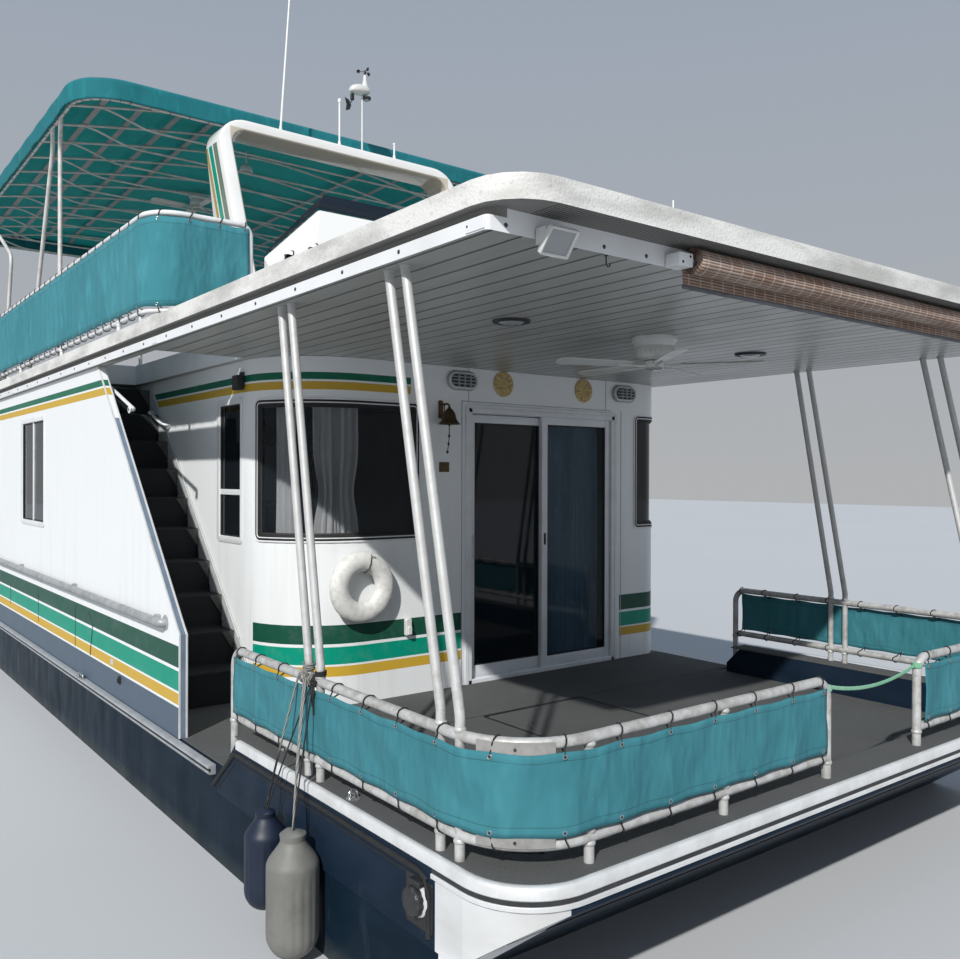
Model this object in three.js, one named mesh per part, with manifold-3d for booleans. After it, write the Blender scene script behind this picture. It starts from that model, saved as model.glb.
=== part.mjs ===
// A widebody houseboat with a full-beam cabin, a railed bow porch, an inside side
// stair to the upper deck, a radar arch and a framed fabric canopy.
// Units are millimetres, +Z is up, the bow points to -Y and starboard is -X.
// The origin is on the flat hull bottom, half-way along the boat.
import * as THREE from 'three';
import { ConvexGeometry } from 'three/addons/geometries/ConvexGeometry.js';
import { mergeVertices } from 'three/addons/utils/BufferGeometryUtils.js';
import Module from 'manifold-3d';

const wasm = await Module();
wasm.setup();

// Driving dimensions
const HALF_BEAM = 2120;        // outer face of the hull and of the cabin sides
const DECK = 1000;             // deck height above the flat hull bottom
const FRONT = -4800;           // outer face of the cabin's front wall
const BOW = FRONT - 3130;      // foremost edge of the hull
const REAR = FRONT + 10500;    // outer face of the cabin's rear wall
const TRANSOM = FRONT + 12100; // aft face of the hull
const CEILING = DECK + 2310;   // underside of the roof
const ROOF = DECK + 2475;      // top of the roof, which is the upper deck
const WALL = 45;               // thickness of the cabin walls
const STAIR_WALL = -1430;      // face of the cabin wall beside the stair
const STAIR_END = FRONT + 3100;
const CORNER = 600;            // radius of the cabin's round starboard corner
const BULWARK = 190;           // height of the raised edge around the bow
const RAIL_X = 2080;           // centre line of the deck rails
const RAIL_TUBE = 21;
const POST_TUBE = 18.5;
const RAIL_TOP = DECK + 625;
const RAIL_LOW = DECK + 285;
const DOOR_WIDTH = 1510;
const DOOR_HEIGHT = 2020;
const GAP = 0.3;               // clearance between pieces that rest on each other

const group = new THREE.Group();

// ---- small tools -------------------------------------------------------------------
const vec = (p) => new THREE.Vector3(p[0], p[1], p[2]);

// Turns a three.js geometry into a manifold solid with shared corners.
function solid(geometry) {
  const bare = geometry.clone();
  bare.deleteAttribute('normal');
  bare.deleteAttribute('uv');
  const merged = mergeVertices(bare, 1e-3);
  const index = new Uint32Array(merged.index.array);
  const make = () => new wasm.Manifold(new wasm.Mesh({
    numProp: 3,
    vertProperties: new Float32Array(merged.attributes.position.array),
    triVerts: index,
  }));
  let made = make();
  if (made.volume() < 0) {
    for (let i = 0; i < index.length; i += 3) [index[i], index[i + 1]] = [index[i + 1], index[i]];
    made = make();
  }
  return made;
}

// Adds up a list of solids.
const join = (solids) => solids.reduce((a, b) => a.add(b));

// One named sub-part with its own material.
function part(name, body, color, roughness, metalness) {
  const mesh = body.simplify(0.1).getMesh();
  const geometry = new THREE.BufferGeometry();
  geometry.setAttribute('position', new THREE.BufferAttribute(new Float32Array(mesh.vertProperties), 3));
  geometry.setIndex(new THREE.BufferAttribute(new Uint32Array(mesh.triVerts), 1));
  geometry.computeVertexNormals();
  const material = new THREE.MeshStandardMaterial({ color, roughness, metalness });
  const node = new THREE.Mesh(geometry, material);
  node.name = name;
  group.add(node);
}

// A box between two corners.
function box(x0, x1, y0, y1, z0, z1) {
  const geometry = new THREE.BoxGeometry(x1 - x0, y1 - y0, z1 - z0);
  geometry.translate((x0 + x1) / 2, (y0 + y1) / 2, (z0 + z1) / 2);
  return solid(geometry);
}

const shapeOf = (points) => new THREE.Shape(points.map((p) => new THREE.Vector2(p[0], p[1])));

// A plan outline of (x, y) points raised from z0 to z1.
function plate(points, z0, z1) {
  const geometry = new THREE.ExtrudeGeometry(shapeOf(points), { depth: z1 - z0, bevelEnabled: false });
  geometry.translate(0, 0, z0);
  return solid(geometry);
}

// A side profile of (y, z) points drawn across the boat from x0 to x1.
function across(points, x0, x1) {
  const geometry = new THREE.ExtrudeGeometry(shapeOf(points), { depth: x1 - x0, bevelEnabled: false });
  geometry.applyMatrix4(new THREE.Matrix4().makeBasis(vec([0, 1, 0]), vec([0, 0, 1]), vec([1, 0, 0])));
  geometry.translate(x0, 0, 0);
  return solid(geometry);
}

// A front profile of (x, z) points drawn along the boat from y0 to y1.
function along(points, y0, y1) {
  const geometry = new THREE.ExtrudeGeometry(shapeOf(points), { depth: y1 - y0, bevelEnabled: false });
  geometry.applyMatrix4(new THREE.Matrix4().makeBasis(vec([1, 0, 0]), vec([0, 0, 1]), vec([0, -1, 0])));
  geometry.translate(0, y1, 0);
  return solid(geometry);
}

// The smallest solid around a set of points.
const wrap = (points) => solid(new ConvexGeometry(points.map(vec)));

// Rounds one corner of a path with a true arc.
function fillet(before, corner, after, radius, steps) {
  const a = before.clone().sub(corner).normalize();
  const b = after.clone().sub(corner).normalize();
  const half = a.angleTo(b) / 2;
  const reach = radius / Math.tan(half);
  const middle = a.clone().add(b).normalize();
  const centre = corner.clone().addScaledVector(middle, radius / Math.sin(half));
  const start = corner.clone().addScaledVector(a, reach).sub(centre);
  const end = corner.clone().addScaledVector(b, reach).sub(centre);
  const sweep = start.angleTo(end);
  const points = [];
  for (let i = 0; i <= steps; i += 1) {
    const f = i / steps;
    points.push(centre.clone()
      .addScaledVector(start, Math.sin((1 - f) * sweep) / Math.sin(sweep))
      .addScaledVector(end, Math.sin(f * sweep) / Math.sin(sweep)));
  }
  return points;
}

// A closed plan outline from corners [x, y, radius].
function outline(corners, steps = 5) {
  const n = corners.length;
  const at = (i) => new THREE.Vector3(corners[(i + n) % n][0], corners[(i + n) % n][1], 0);
  return corners.flatMap((c, i) => (c[2] > 0
    ? fillet(at(i - 1), at(i), at(i + 1), c[2], steps).map((p) => [p.x, p.y])
    : [[c[0], c[1]]]));
}

// An open path from points [x, y, z, radius], with the radius on the inner ones.
function route(points, steps = 3) {
  return points.flatMap((p, i) => (i > 0 && i < points.length - 1 && p[3] > 0
    ? fillet(vec(points[i - 1]), vec(p), vec(points[i + 1]), p[3], steps)
    : [vec(p)]));
}

// A path that an extrusion follows from point to point.
class Route extends THREE.Curve {
  constructor(points) { super(); this.points = points; }
  getPoint(t) {
    const f = t * (this.points.length - 1);
    const i = Math.min(Math.floor(f), this.points.length - 2);
    return this.points[i].clone().lerp(this.points[i + 1], f - i);
  }
  getPointAt(t) { return this.getPoint(t); }
  getSpacedPoints() { return this.points; }
  getTangentAt(t) {
    const i = Math.round(t * (this.points.length - 1));
    const last = this.points.length - 1;
    const before = this.points[Math.max(i - 1, 0)];
    const here = this.points[i];
    const after = this.points[Math.min(i + 1, last)];
    const a = i > 0 ? here.clone().sub(before).normalize() : new THREE.Vector3();
    const b = i < last ? after.clone().sub(here).normalize() : new THREE.Vector3();
    return a.add(b).normalize();
  }
}

// A round tube along a path of vectors.
function tube(points, radius, sides = 8) {
  const ring = Array.from({ length: sides }, (_, i) => {
    const a = (i + 0.5) * 2 * Math.PI / sides;
    return [radius * Math.cos(a), radius * Math.sin(a)];
  });
  return solid(new THREE.ExtrudeGeometry(shapeOf(ring), {
    steps: points.length - 1, extrudePath: new Route(points), bevelEnabled: false,
  }));
}
const pipe = (a, b, radius, sides = 8) => tube([vec(a), vec(b)], radius, sides);

// A turned piece from (radius, height) points that start and end on the axis.
function turned(profile, segments, at, direction = 'z') {
  const points = profile.map((p) => new THREE.Vector2(p[0], p[1]));
  const geometry = new THREE.LatheGeometry(points, segments);
  if (direction === 'z') geometry.rotateX(Math.PI / 2);
  if (direction === 'x') geometry.rotateZ(-Math.PI / 2);
  geometry.translate(at[0], at[1], at[2]);
  return solid(geometry);
}

// A thin standing sheet that follows a plan path.
function sheet(path, half, z0, z1) {
  const side = (sign) => path.map((p, i) => {
    const before = path[Math.max(i - 1, 0)];
    const after = path[Math.min(i + 1, path.length - 1)];
    const direction = after.clone().sub(before).normalize();
    return [p.x - sign * half * direction.y, p.y + sign * half * direction.x];
  });
  return plate([...side(1), ...side(-1).reverse()], z0, z1);
}

// ---- hull and decks ----------------------------------------------------------------
// The plan of the hull, grown or shrunk by a distance.
const hullPlan = (grow) => outline([
  [-HALF_BEAM - grow, BOW - grow, 270 + grow], [HALF_BEAM + grow, BOW - grow, 270 + grow],
  [HALF_BEAM + grow, TRANSOM + grow, 80 + grow], [-HALF_BEAM - grow, TRANSOM + grow, 80 + grow]]);

// A decked scow hull: flat bottom, raked bow, well under the deck hatch, drive bracket.
function hull() {
  const profile = [[BOW + 112, DECK], [FRONT - 1700, 0], [TRANSOM, 0], [TRANSOM, DECK]];
  let body = across(profile, -HALF_BEAM, HALF_BEAM).intersect(plate(hullPlan(0), -1, DECK + 1));
  body = body.subtract(box(-425, 425, FRONT - 1505, FRONT - 765, DECK - 30, DECK + 10));
  body = body.subtract(box(-400, 400, FRONT - 1480, FRONT - 790, DECK - 420, DECK));
  return join([body,
    box(-150, 150, TRANSOM - 5, TRANSOM + 60, 440, 760),
    box(-36, 36, TRANSOM + 55, TRANSOM + 112, 737, 757),
    box(-36, 36, TRANSOM + 55, TRANSOM + 112, 443, 463)]);
}

// The raised edge around the bow, with an outer skin that laps down over the hull.
function bulwark() {
  const ring = plate(hullPlan(15), DECK - 132, DECK + BULWARK)
    .subtract(plate(hullPlan(GAP), DECK - 140, DECK + GAP))
    .subtract(plate(hullPlan(-195), DECK - 140, DECK + BULWARK + 10));
  const skin = [[BOW - 60, DECK + 131], [BOW + 296, DECK - 132], [FRONT - 648, DECK - 132],
    [FRONT - 972, DECK + 200], [BOW - 60, DECK + 200]];
  const shelf = box(-1990, 1990, FRONT - 845, FRONT + 50, DECK - 140, DECK + 300);
  const notch = [-1, 1].map((side) => box(
    Math.min(side * 2117, side * 1900), Math.max(side * 2117, side * 1900),
    FRONT - 845, FRONT + 50, DECK - 140, DECK + 300));
  return ring.intersect(across(skin, -2200, 2200)).subtract(shelf).subtract(notch[0]).subtract(notch[1]);
}

// The rub rail along both sides and around the stern.
function rubRail() {
  const ring = plate(hullPlan(45), DECK - 50, DECK).subtract(plate(hullPlan(GAP), DECK - 60, DECK + 10));
  return ring.subtract(box(-2300, 2300, BOW - 100, FRONT - 640, DECK - 60, DECK + 10));
}

// The swim platform on its two brackets.
function swimPlatform() {
  const y = TRANSOM + GAP;
  const slab = plate(outline([[-1500, y, 0], [1500, y, 0], [1500, y + 800, 120], [-1500, y + 800, 120]]),
    850, 900);
  const knee = [[y, 560], [y + 40, 560], [y + 560, 855], [y, 855]];
  return join([slab, across(knee, -1010, -960), across(knee, 960, 1010)]);
}

part('hull', hull(), 0x1d3350, 0.35, 0.1);
part('bow_bulwark', bulwark(), 0x2d4468, 0.4, 0.1);
part('rub_rail', rubRail(), 0xb9bdc0, 0.4, 0.8);
part('deck_hatch', box(-420, 420, FRONT - 1500, FRONT - 770, DECK - 28, DECK), 0x4b4c4f, 0.95, 0);
part('swim_platform', swimPlatform(), 0xc4c7c9, 0.5, 0.5);

// ---- cabin -------------------------------------------------------------------------
// The plan of the room inside the cabin walls, moved inwards by a distance.
const roomPlan = (d) => outline([
  [HALF_BEAM - d, FRONT + d, 200 - d], [HALF_BEAM - d, REAR - d, 0], [-HALF_BEAM + d, REAR - d, 0],
  [-HALF_BEAM + d, STAIR_END + d, 0], [STAIR_WALL + d, STAIR_END + d, 0],
  [STAIR_WALL + d, FRONT + d, CORNER - d]], 10);

// Large side windows: y from the front wall, length, and which sides have one there.
const SIDE_WINDOWS = [
  { y: 3280, length: 940, sides: [-1] },
  { y: 1900, length: 1200, sides: [1] },
  { y: 5300, length: 1200, sides: [-1, 1] },
  { y: 7600, length: 1200, sides: [-1, 1] },
];
const SILL = DECK + 1075;
const HEAD = DECK + 2035;

// A band of plan that follows the round corner, between two radii and two angles.
function cornerBand(cx, cy, inner, outer, side, flat, from, to, tail = 0) {
  const at = (radius, angle) => [cx + side * radius * Math.sin(angle), cy - radius * Math.cos(angle)];
  const steps = 10;
  const arc = (radius) => Array.from({ length: steps + 1 }, (_, i) => at(radius, from + (to - from) * i / steps));
  const start = (radius) => (flat > 0 ? [[cx - side * flat, cy - radius]] : []);
  const finish = (radius) => (tail > 0 ? [[cx + side * radius, cy + tail]] : []);
  return [...start(outer), ...arc(outer), ...finish(outer),
    ...finish(inner), ...arc(inner).reverse(), ...start(inner)];
}
const FRONT_CORNER = [STAIR_WALL + CORNER, FRONT + CORNER];
const PORT_CORNER = [HALF_BEAM - 200, FRONT + 200];
const WIDE = THREE.MathUtils.degToRad(75);
const QUARTER = Math.PI / 2;
const frontBand = (inner, outer, trim = 0) => cornerBand(...FRONT_CORNER, inner, outer, -1,
  420 - trim, 0, WIDE - trim / CORNER);
const portBand = (inner, outer, trim = 0) => cornerBand(...PORT_CORNER, inner, outer, 1,
  130 - trim, 0, QUARTER, 130 - trim);

function cabinWalls() {
  const low = DECK + GAP;
  const high = CEILING - GAP;
  let body = plate(roomPlan(0), low, high).subtract(plate(roomPlan(WALL), low - 5, high + 5));
  // The outer wall beside the stair, with its raked front edge.
  const raked = [[FRONT - 100, low], [FRONT - 100, DECK + 600], [FRONT - 45, DECK + 650],
    [FRONT + 1592, high], [STAIR_END + 20, high], [STAIR_END + 20, low]];
  body = body.add(across(raked, -HALF_BEAM, -HALF_BEAM + WALL));
  // Doors
  body = body.subtract(box(30, 30 + DOOR_WIDTH, FRONT - 10, FRONT + 60, DECK - 5, DECK + DOOR_HEIGHT));
  body = body.subtract(box(-DOOR_WIDTH / 2, DOOR_WIDTH / 2, REAR - 60, REAR + 10, DECK - 5, DECK + DOOR_HEIGHT));
  // Windows
  body = body.subtract(plate(frontBand(CORNER - 90, CORNER + 50), DECK + 1097, DECK + 2018));
  body = body.subtract(plate(portBand(110, 250), DECK + 1100, DECK + 2027));
  body = body.subtract(box(STAIR_WALL - 10, STAIR_WALL + 60, FRONT + 640, FRONT + 1070, DECK + 1060, DECK + 2050));
  for (const { y, length, sides } of SIDE_WINDOWS) {
    for (const side of sides) {
      const x = side * HALF_BEAM;
      body = body.subtract(box(x - 60, x + 60, FRONT + y, FRONT + y + length, SILL, HEAD));
    }
  }
  return body;
}

// The roof: a textured edge band, a shadow gap under it, and a lower trim band.
function roof() {
  const layer = (x, y0, y1, r, z0, z1) => plate(outline([
    [-x, FRONT + y0, r], [x, FRONT + y0, r], [x, FRONT + y1, r], [-x, FRONT + y1, r]]), z0, z1);
  const body = join([
    layer(2175, -3150, 12100, 200, DECK + 2390, ROOF),
    layer(2125, -3000, 12060, 60, DECK + 2355, DECK + 2395),
    layer(2150, -3000, 12075, 20, CEILING, DECK + 2360)]);
  return body.subtract(box(-2065, -1480, FRONT + 500, FRONT + 2830, CEILING - 5, ROOF + 5));
}

// Ten treads that climb aft inside the starboard side.
function stairs() {
  const rise = (ROOF - DECK) / 11;
  const run = 229;
  const points = [[FRONT + 520, DECK + GAP]];
  for (let i = 0; i < 10; i += 1) {
    points.push([FRONT + 520 + run * i, DECK + rise * (i + 1)]);
    points.push([FRONT + 520 + run * (i + 1), DECK + rise * (i + 1)]);
  }
  points.push([FRONT + 520 + run * 10, DECK + GAP]);
  return across(points, -2070, STAIR_WALL - 5);
}

// A framed pane that fills an opening in a side wall, with an upright in the middle.
function sideWindow(side, y, length) {
  const x = side * HALF_BEAM;
  const out = x + side * 6;
  const back = x - side * (WALL + 4);
  const [x0, x1] = [Math.min(out, back), Math.max(out, back)];
  const middle = x - side * 20;
  const [y0, y1, z0, z1] = [FRONT + y + GAP, FRONT + y + length - GAP, SILL + GAP, HEAD - GAP];
  const mid = (y0 + y1) / 2;
  return join([
    box(x0, x1, y0, y1, z0, z1).subtract(box(x0 - 5, x1 + 5, y0 + 32, y1 - 32, z0 + 32, z1 - 32)),
    box(middle - 4, middle + 4, y0 + 20, y1 - 20, z0 + 20, z1 - 20),
    box(middle - 16, middle + 16, mid - 22, mid + 22, z0 + 20, z1 - 20)]);
}

// A framed curved pane that follows one of the two round corners.
function curvedWindow(band, wall, z0, z1) {
  const ring = plate(band(wall - WALL - 4, wall + 6, 1), z0 + GAP, z1 - GAP)
    .subtract(plate(band(wall - 90, wall + 50, 34), z0 + 34, z1 - 34));
  return ring.add(plate(band(wall - 24, wall - 16, 20), z0 + 20, z1 - 20));
}

function stairWindow() {
  const [y0, y1, z0, z1] = [FRONT + 640 + GAP, FRONT + 1070 - GAP, DECK + 1060 + GAP, DECK + 2050 - GAP];
  const [x0, x1] = [STAIR_WALL - 6, STAIR_WALL + WALL + 4];
  return join([
    box(x0, x1, y0, y1, z0, z1).subtract(box(x0 - 5, x1 + 5, y0 + 30, y1 - 30, z0 + 30, z1 - 30)),
    box(STAIR_WALL + 16, STAIR_WALL + 24, y0 + 20, y1 - 20, z0 + 20, z1 - 20),
    box(STAIR_WALL + 4, STAIR_WALL + 36, y0 + 20, y1 - 20, DECK + 1385, DECK + 1425)]);
}

// A sliding door: the outer frame with the fixed leaf, and the leaf that slides.
// depth is measured into the cabin from the wall's outer face.
function doorFrame(x0, face, inward) {
  const x1 = x0 + DOOR_WIDTH;
  const y = (d) => face + inward * d;
  const slab = (a, b, d0, d1, z0, z1) => box(a, b, Math.min(y(d0), y(d1)), Math.max(y(d0), y(d1)), z0, z1);
  const low = DECK + GAP;
  const high = DECK + DOOR_HEIGHT - GAP;
  const frame = slab(x0 + GAP, x1 - GAP, -8, 92, low, high)
    .subtract(slab(x0 + 36, x1 - 36, -20, 110, DECK + 30, high - 36));
  const mid = (x0 + x1) / 2;
  const leaf = slab(mid - 30, x1 - 30, 12, 42, DECK + 25, high - 30)
    .subtract(slab(mid + 30, x1 - 92, 0, 60, DECK + 120, high - 125));
  return join([frame, leaf, slab(mid, x1 - 60, 24, 30, DECK + 100, high - 100)]);
}
function doorLeaf(x0, face, inward) {
  const y = (d) => face + inward * d;
  const slab = (a, b, d0, d1, z0, z1) => box(a, b, Math.min(y(d0), y(d1)), Math.max(y(d0), y(d1)), z0, z1);
  const mid = x0 + DOOR_WIDTH / 2;
  const [a, b, low, high] = [x0 + 41, mid + 30, DECK + 35, DECK + DOOR_HEIGHT - 42];
  const rim = slab(a, b, 50, 80, low, high).subtract(slab(a + 55, b - 55, 40, 90, low + 85, high - 85));
  const handle = join([slab(a + 18, a + 38, 28, 40, DECK + 900, DECK + 1110),
    slab(a + 18, a + 38, 38, 55, DECK + 905, DECK + 925), slab(a + 18, a + 38, 38, 55, DECK + 1085, DECK + 1105)]);
  return join([rim, slab(a + 40, b - 40, 62, 68, low + 70, high - 70), handle]);
}

part('cabin_walls', cabinWalls(), 0xeceef0, 0.35, 0.05);
part('roof', roof(), 0xdcdcd6, 0.6, 0);
part('stairs', stairs(), 0x2a2b2e, 0.95, 0);
part('window_front', curvedWindow(frontBand, CORNER, DECK + 1097, DECK + 2018), 0x39424a, 0.1, 0);
part('window_port_corner', curvedWindow(portBand, 200, DECK + 1100, DECK + 2027), 0x39424a, 0.1, 0);
part('window_stair', stairWindow(), 0x39424a, 0.1, 0);
for (const { y, length, sides } of SIDE_WINDOWS) {
  for (const side of sides) {
    const label = side < 0 ? 'stbd' : 'port';
    part(`window_${label}_${y}`, sideWindow(side, y, length), 0x39424a, 0.1, 0);
  }
}
part('front_door_frame', doorFrame(30, FRONT, 1), 0xd9dcdf, 0.35, 0.3);
part('front_door_leaf', doorLeaf(30, FRONT, 1), 0xd9dcdf, 0.35, 0.3);
part('rear_door_frame', doorFrame(-DOOR_WIDTH / 2, REAR, -1), 0xd9dcdf, 0.35, 0.3);
part('rear_door_leaf', doorLeaf(-DOOR_WIDTH / 2, REAR, -1), 0xd9dcdf, 0.35, 0.3);

// ---- bow porch ---------------------------------------------------------------------
const FEET = DECK + BULWARK + GAP;
const RAIL_Y = FRONT - 3050;

// The four slanted roof posts of a side: where the foot and the top stand.
const ROOF_POSTS = [
  { foot: -1640, top: -1355 }, { foot: -1750, top: -1457 },
  { foot: -2655, top: -2300 }, { foot: -2770, top: -2415 },
];

// The bow rail of one side, from its first post by the cabin to the gate post.
function bowRail(side, gate, stubs) {
  const x = side * RAIL_X;
  const top = route([[x, FRONT - 815, DECK + GAP], [x, FRONT - 815, RAIL_TOP, 90],
    [x, RAIL_Y, RAIL_TOP, 320], [gate, RAIL_Y, RAIL_TOP, 80], [gate, RAIL_Y, FEET]], 5);
  const low = route([[x, FRONT - 815, RAIL_LOW], [x, RAIL_Y, RAIL_LOW, 320], [gate, RAIL_Y, RAIL_LOW]], 5);
  const posts = ROOF_POSTS.map(({ foot, top: head }) => tube(route([
    [x, FRONT + foot, FEET], [x, FRONT + foot, DECK + 690, 160],
    [x, FRONT + head + 2, CEILING + 10]], 3), POST_TUBE));
  const uprights = stubs.map((s) => pipe([s, RAIL_Y, FEET], [s, RAIL_Y, RAIL_TOP], POST_TUBE));
  return join([tube(top, RAIL_TUBE), tube(low, RAIL_TUBE), ...posts, ...uprights])
    .subtract(box(x - 100, x + 100, FRONT - 3200, FRONT, CEILING - GAP, CEILING + 100));
}

// The fabric panel that hangs on the outside of a bow rail.
function bowPanel(side, gate) {
  const x = side * (RAIL_X + 26);
  const path = route([[x, FRONT - 855, 0], [x, RAIL_Y - 26, 0, 346],
    [gate + side * 36, RAIL_Y - 26, 0]], 6);
  return sheet(path, 1.5, RAIL_LOW + 27, RAIL_TOP - 27);
}

// A soft strap across the gate, hanging a little.
function gateStrap(x0, x1) {
  const points = Array.from({ length: 13 }, (_, i) => {
    const f = i / 12;
    return new THREE.Vector3(x0 + (x1 - x0) * f, RAIL_Y, DECK + 592 - 180 * f * (1 - f));
  });
  return tube(points, 6);
}

// A ceiling fan: a fixed motor, and a hub with blades that turns under it.
function fanMotor(x, y, ceiling, r = 90, depth = 98) {
  return turned([[0, ceiling - GAP], [r, ceiling - GAP], [r, ceiling - 18], [r - 12, ceiling - 30],
    [r - 8, ceiling - depth * 0.6], [r - 12, ceiling - depth + 3], [0, ceiling - depth]], 16, [x, y, 0]);
}
function fanBlades(x, y, ceiling, count, reach, depth = 98) {
  const top = ceiling - depth - 6;
  const hub = turned([[0, top], [58, top], [62, top - 12], [46, top - 46], [0, top - 52]], 16, [x, y, 0]);
  const blades = Array.from({ length: count }, (_, i) => {
    const geometry = new THREE.BoxGeometry(reach - 40, 118, 8);
    geometry.rotateX(THREE.MathUtils.degToRad(10));
    geometry.translate(40 + (reach - 40) / 2, 0, top - 20);
    geometry.rotateZ(i * 2 * Math.PI / count + 0.3);
    geometry.translate(x, y, 0);
    return solid(geometry);
  });
  return join([hub, ...blades]);
}

function lifeRing() {
  const geometry = new THREE.TorusGeometry(170, 70, 8, 24);
  geometry.scale(1, 1, 0.75);
  geometry.rotateX(Math.PI / 2);
  geometry.translate(-887, FRONT - 55, DECK + 785);
  return solid(geometry);
}

// A small bell on a wall bracket.
function bell() {
  const cup = turned([[0, DECK + 1970], [26, DECK + 1960], [34, DECK + 1928], [54, DECK + 1892],
    [62, DECK + 1887], [58, DECK + 1900], [40, DECK + 1930], [32, DECK + 1965], [16, DECK + 1990],
    [0, DECK + 1998]], 16, [-220, FRONT - 110, 0]);
  return join([cup, tube(route([[-220, FRONT - 8, DECK + 2030], [-220, FRONT - 110, DECK + 2030, 20],
    [-220, FRONT - 110, DECK + 1990]], 3), 7),
  box(-240, -200, FRONT - 12, FRONT - GAP, DECK + 2000, DECK + 2060)]);
}

// A rolled woven shade with its hanging hem, under the front edge of the roof.
function shadeRoll() {
  const y = FRONT - 3056;
  return join([pipe([-1205, y, DECK + 2333], [1205, y, DECK + 2333], 53, 12),
    box(-1200, 1200, y + 44, y + 50, DECK + 2240, DECK + 2330)]);
}

// An inflated fender on its rope, hanging outside the bulwark.
function fender(y, radius, top, low, knotY) {
  const x = -HALF_BEAM - 15 - radius - 4;
  const r = radius;
  const body = turned([[0, low], [r * 0.4, low + 8], [r * 0.8, low + r * 0.45], [r, low + r],
    [r, top - r * 1.3], [r * 0.75, top - r * 0.6], [r * 0.3, top - r * 0.2], [r * 0.28, top], [0, top]],
  14, [x, FRONT + y, 0]);
  const rope = pipe([x, FRONT + y, top - 10], [-RAIL_X - RAIL_TUBE - 9, FRONT + knotY, RAIL_TOP + 8], 6);
  return join([body, rope]);
}

// The round rub pipe along a cabin side, on small stand-offs.
function sidePipe(side) {
  const x = side * (HALF_BEAM + 36);
  const z = DECK + 645;
  const from = side < 0 ? FRONT + 120 : FRONT + 330;
  const feet = Array.from({ length: 6 }, (_, i) => {
    const y = from + 120 + i * 1950;
    return box(Math.min(side * (HALF_BEAM + GAP), x), Math.max(side * (HALF_BEAM + GAP), x),
      y - 20, y + 20, z - 24, z + 40);
  });
  return join([pipe([x, from, z], [x, REAR - 120, z], 29), ...feet]);
}

part('bow_rail_stbd', bowRail(-1, -280, [-1735, -1000]), 0xc9ccce, 0.3, 0.9);
part('bow_rail_port', bowRail(1, 520, [1735, 1080]), 0xc9ccce, 0.3, 0.9);
part('bow_panel_stbd', bowPanel(-1, -280), 0x2f8f93, 0.85, 0);
part('bow_panel_port', bowPanel(1, 520), 0x2f8f93, 0.85, 0);
part('gate_strap', gateStrap(-280 + RAIL_TUBE + 1, 520 - RAIL_TUBE - 1), 0x7fb38c, 0.8, 0);
part('porch_fan_motor', fanMotor(0, FRONT - 1800, CEILING, 128, 128), 0xe8e8e6, 0.4, 0);
part('porch_fan_blades', fanBlades(0, FRONT - 1800, CEILING, 5, 600, 128), 0xe8e8e6, 0.4, 0);
part('life_ring', lifeRing(), 0xf0f0ee, 0.6, 0);
part('bell', bell(), 0x6b4a22, 0.35, 0.9);
part('floodlight', box(-1950, -1824, FRONT - 3085, FRONT - 3000 - GAP, DECK + 2245, DECK + 2372), 0x55585c, 0.4, 0.5);
part('shade_roll', shadeRoll(), 0x8a7760, 0.9, 0);
part('fender_grey', fender(-1830, 110, DECK + 48, DECK - 480, -1700), 0x9a9c9a, 0.6, 0);
part('fender_navy', fender(-1520, 92, DECK + 44, DECK - 400, -1585), 0x27395c, 0.6, 0);
part('side_pipe_stbd', sidePipe(-1), 0x8e9296, 0.5, 0.7);
part('side_pipe_port', sidePipe(1), 0x8e9296, 0.5, 0.7);

// ---- upper deck --------------------------------------------------------------------
const UPPER_X = 2100;
const UPPER_TOP = DECK + 3185;
const UPPER_LOW = DECK + 2565;
const UPPER_FRONT = FRONT + 460;
const UPPER_AFT = FRONT + 11950;
const STANDING = ROOF + GAP;

// The rail around the upper deck and the guard beside the stair opening.
function upperRail() {
  const run = (z) => [[-UPPER_X, UPPER_FRONT, z, 200], [-UPPER_X, UPPER_AFT, z, 200],
    [UPPER_X, UPPER_AFT, z, 200], [UPPER_X, UPPER_FRONT, z, 200]];
  const top = route([[-1453, UPPER_FRONT, STANDING], [-1453, UPPER_FRONT, UPPER_TOP, 70], ...run(UPPER_TOP),
    [1230, UPPER_FRONT, UPPER_TOP, 70], [1230, UPPER_FRONT, STANDING]]);
  const low = route([[-1453, UPPER_FRONT, UPPER_LOW], ...run(UPPER_LOW), [1230, UPPER_FRONT, UPPER_LOW]]);
  const uprights = [1150, 2750, 4350, 5950, 7550, 9150, 10750].flatMap((y) => [-UPPER_X, UPPER_X].map(
    (x) => pipe([x, FRONT + y, STANDING], [x, FRONT + y, UPPER_TOP], 16)));
  const stern = [-700, 700].map((x) => pipe([x, UPPER_AFT, STANDING], [x, UPPER_AFT, UPPER_TOP], 16));
  const guard = [UPPER_TOP - 90, DECK + 2860].map((z, i) => tube(route(i === 0
    ? [[-1453, UPPER_FRONT, z], [-1453, FRONT + 2790, z, 80], [-1453, FRONT + 2790, STANDING]]
    : [[-1453, UPPER_FRONT, z], [-1453, FRONT + 2790, z]]), 16));
  return join([tube(top, 19), tube(low, 16), ...uprights, ...stern, ...guard,
    pipe([-1453, FRONT + 1650, STANDING], [-1453, FRONT + 1650, UPPER_TOP - 90], 16)]);
}

function upperPanel() {
  const x = UPPER_X + 24;
  const path = route([[-1470, UPPER_FRONT - 24, 0], [-x, UPPER_FRONT - 24, 0, 224],
    [-x, UPPER_AFT + 24, 0, 224], [x, UPPER_AFT + 24, 0, 224], [x, UPPER_FRONT - 24, 0, 224],
    [1250, UPPER_FRONT - 24, 0]], 5);
  return sheet(path, 1.5, UPPER_LOW + 22, UPPER_TOP - 24);
}

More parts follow.
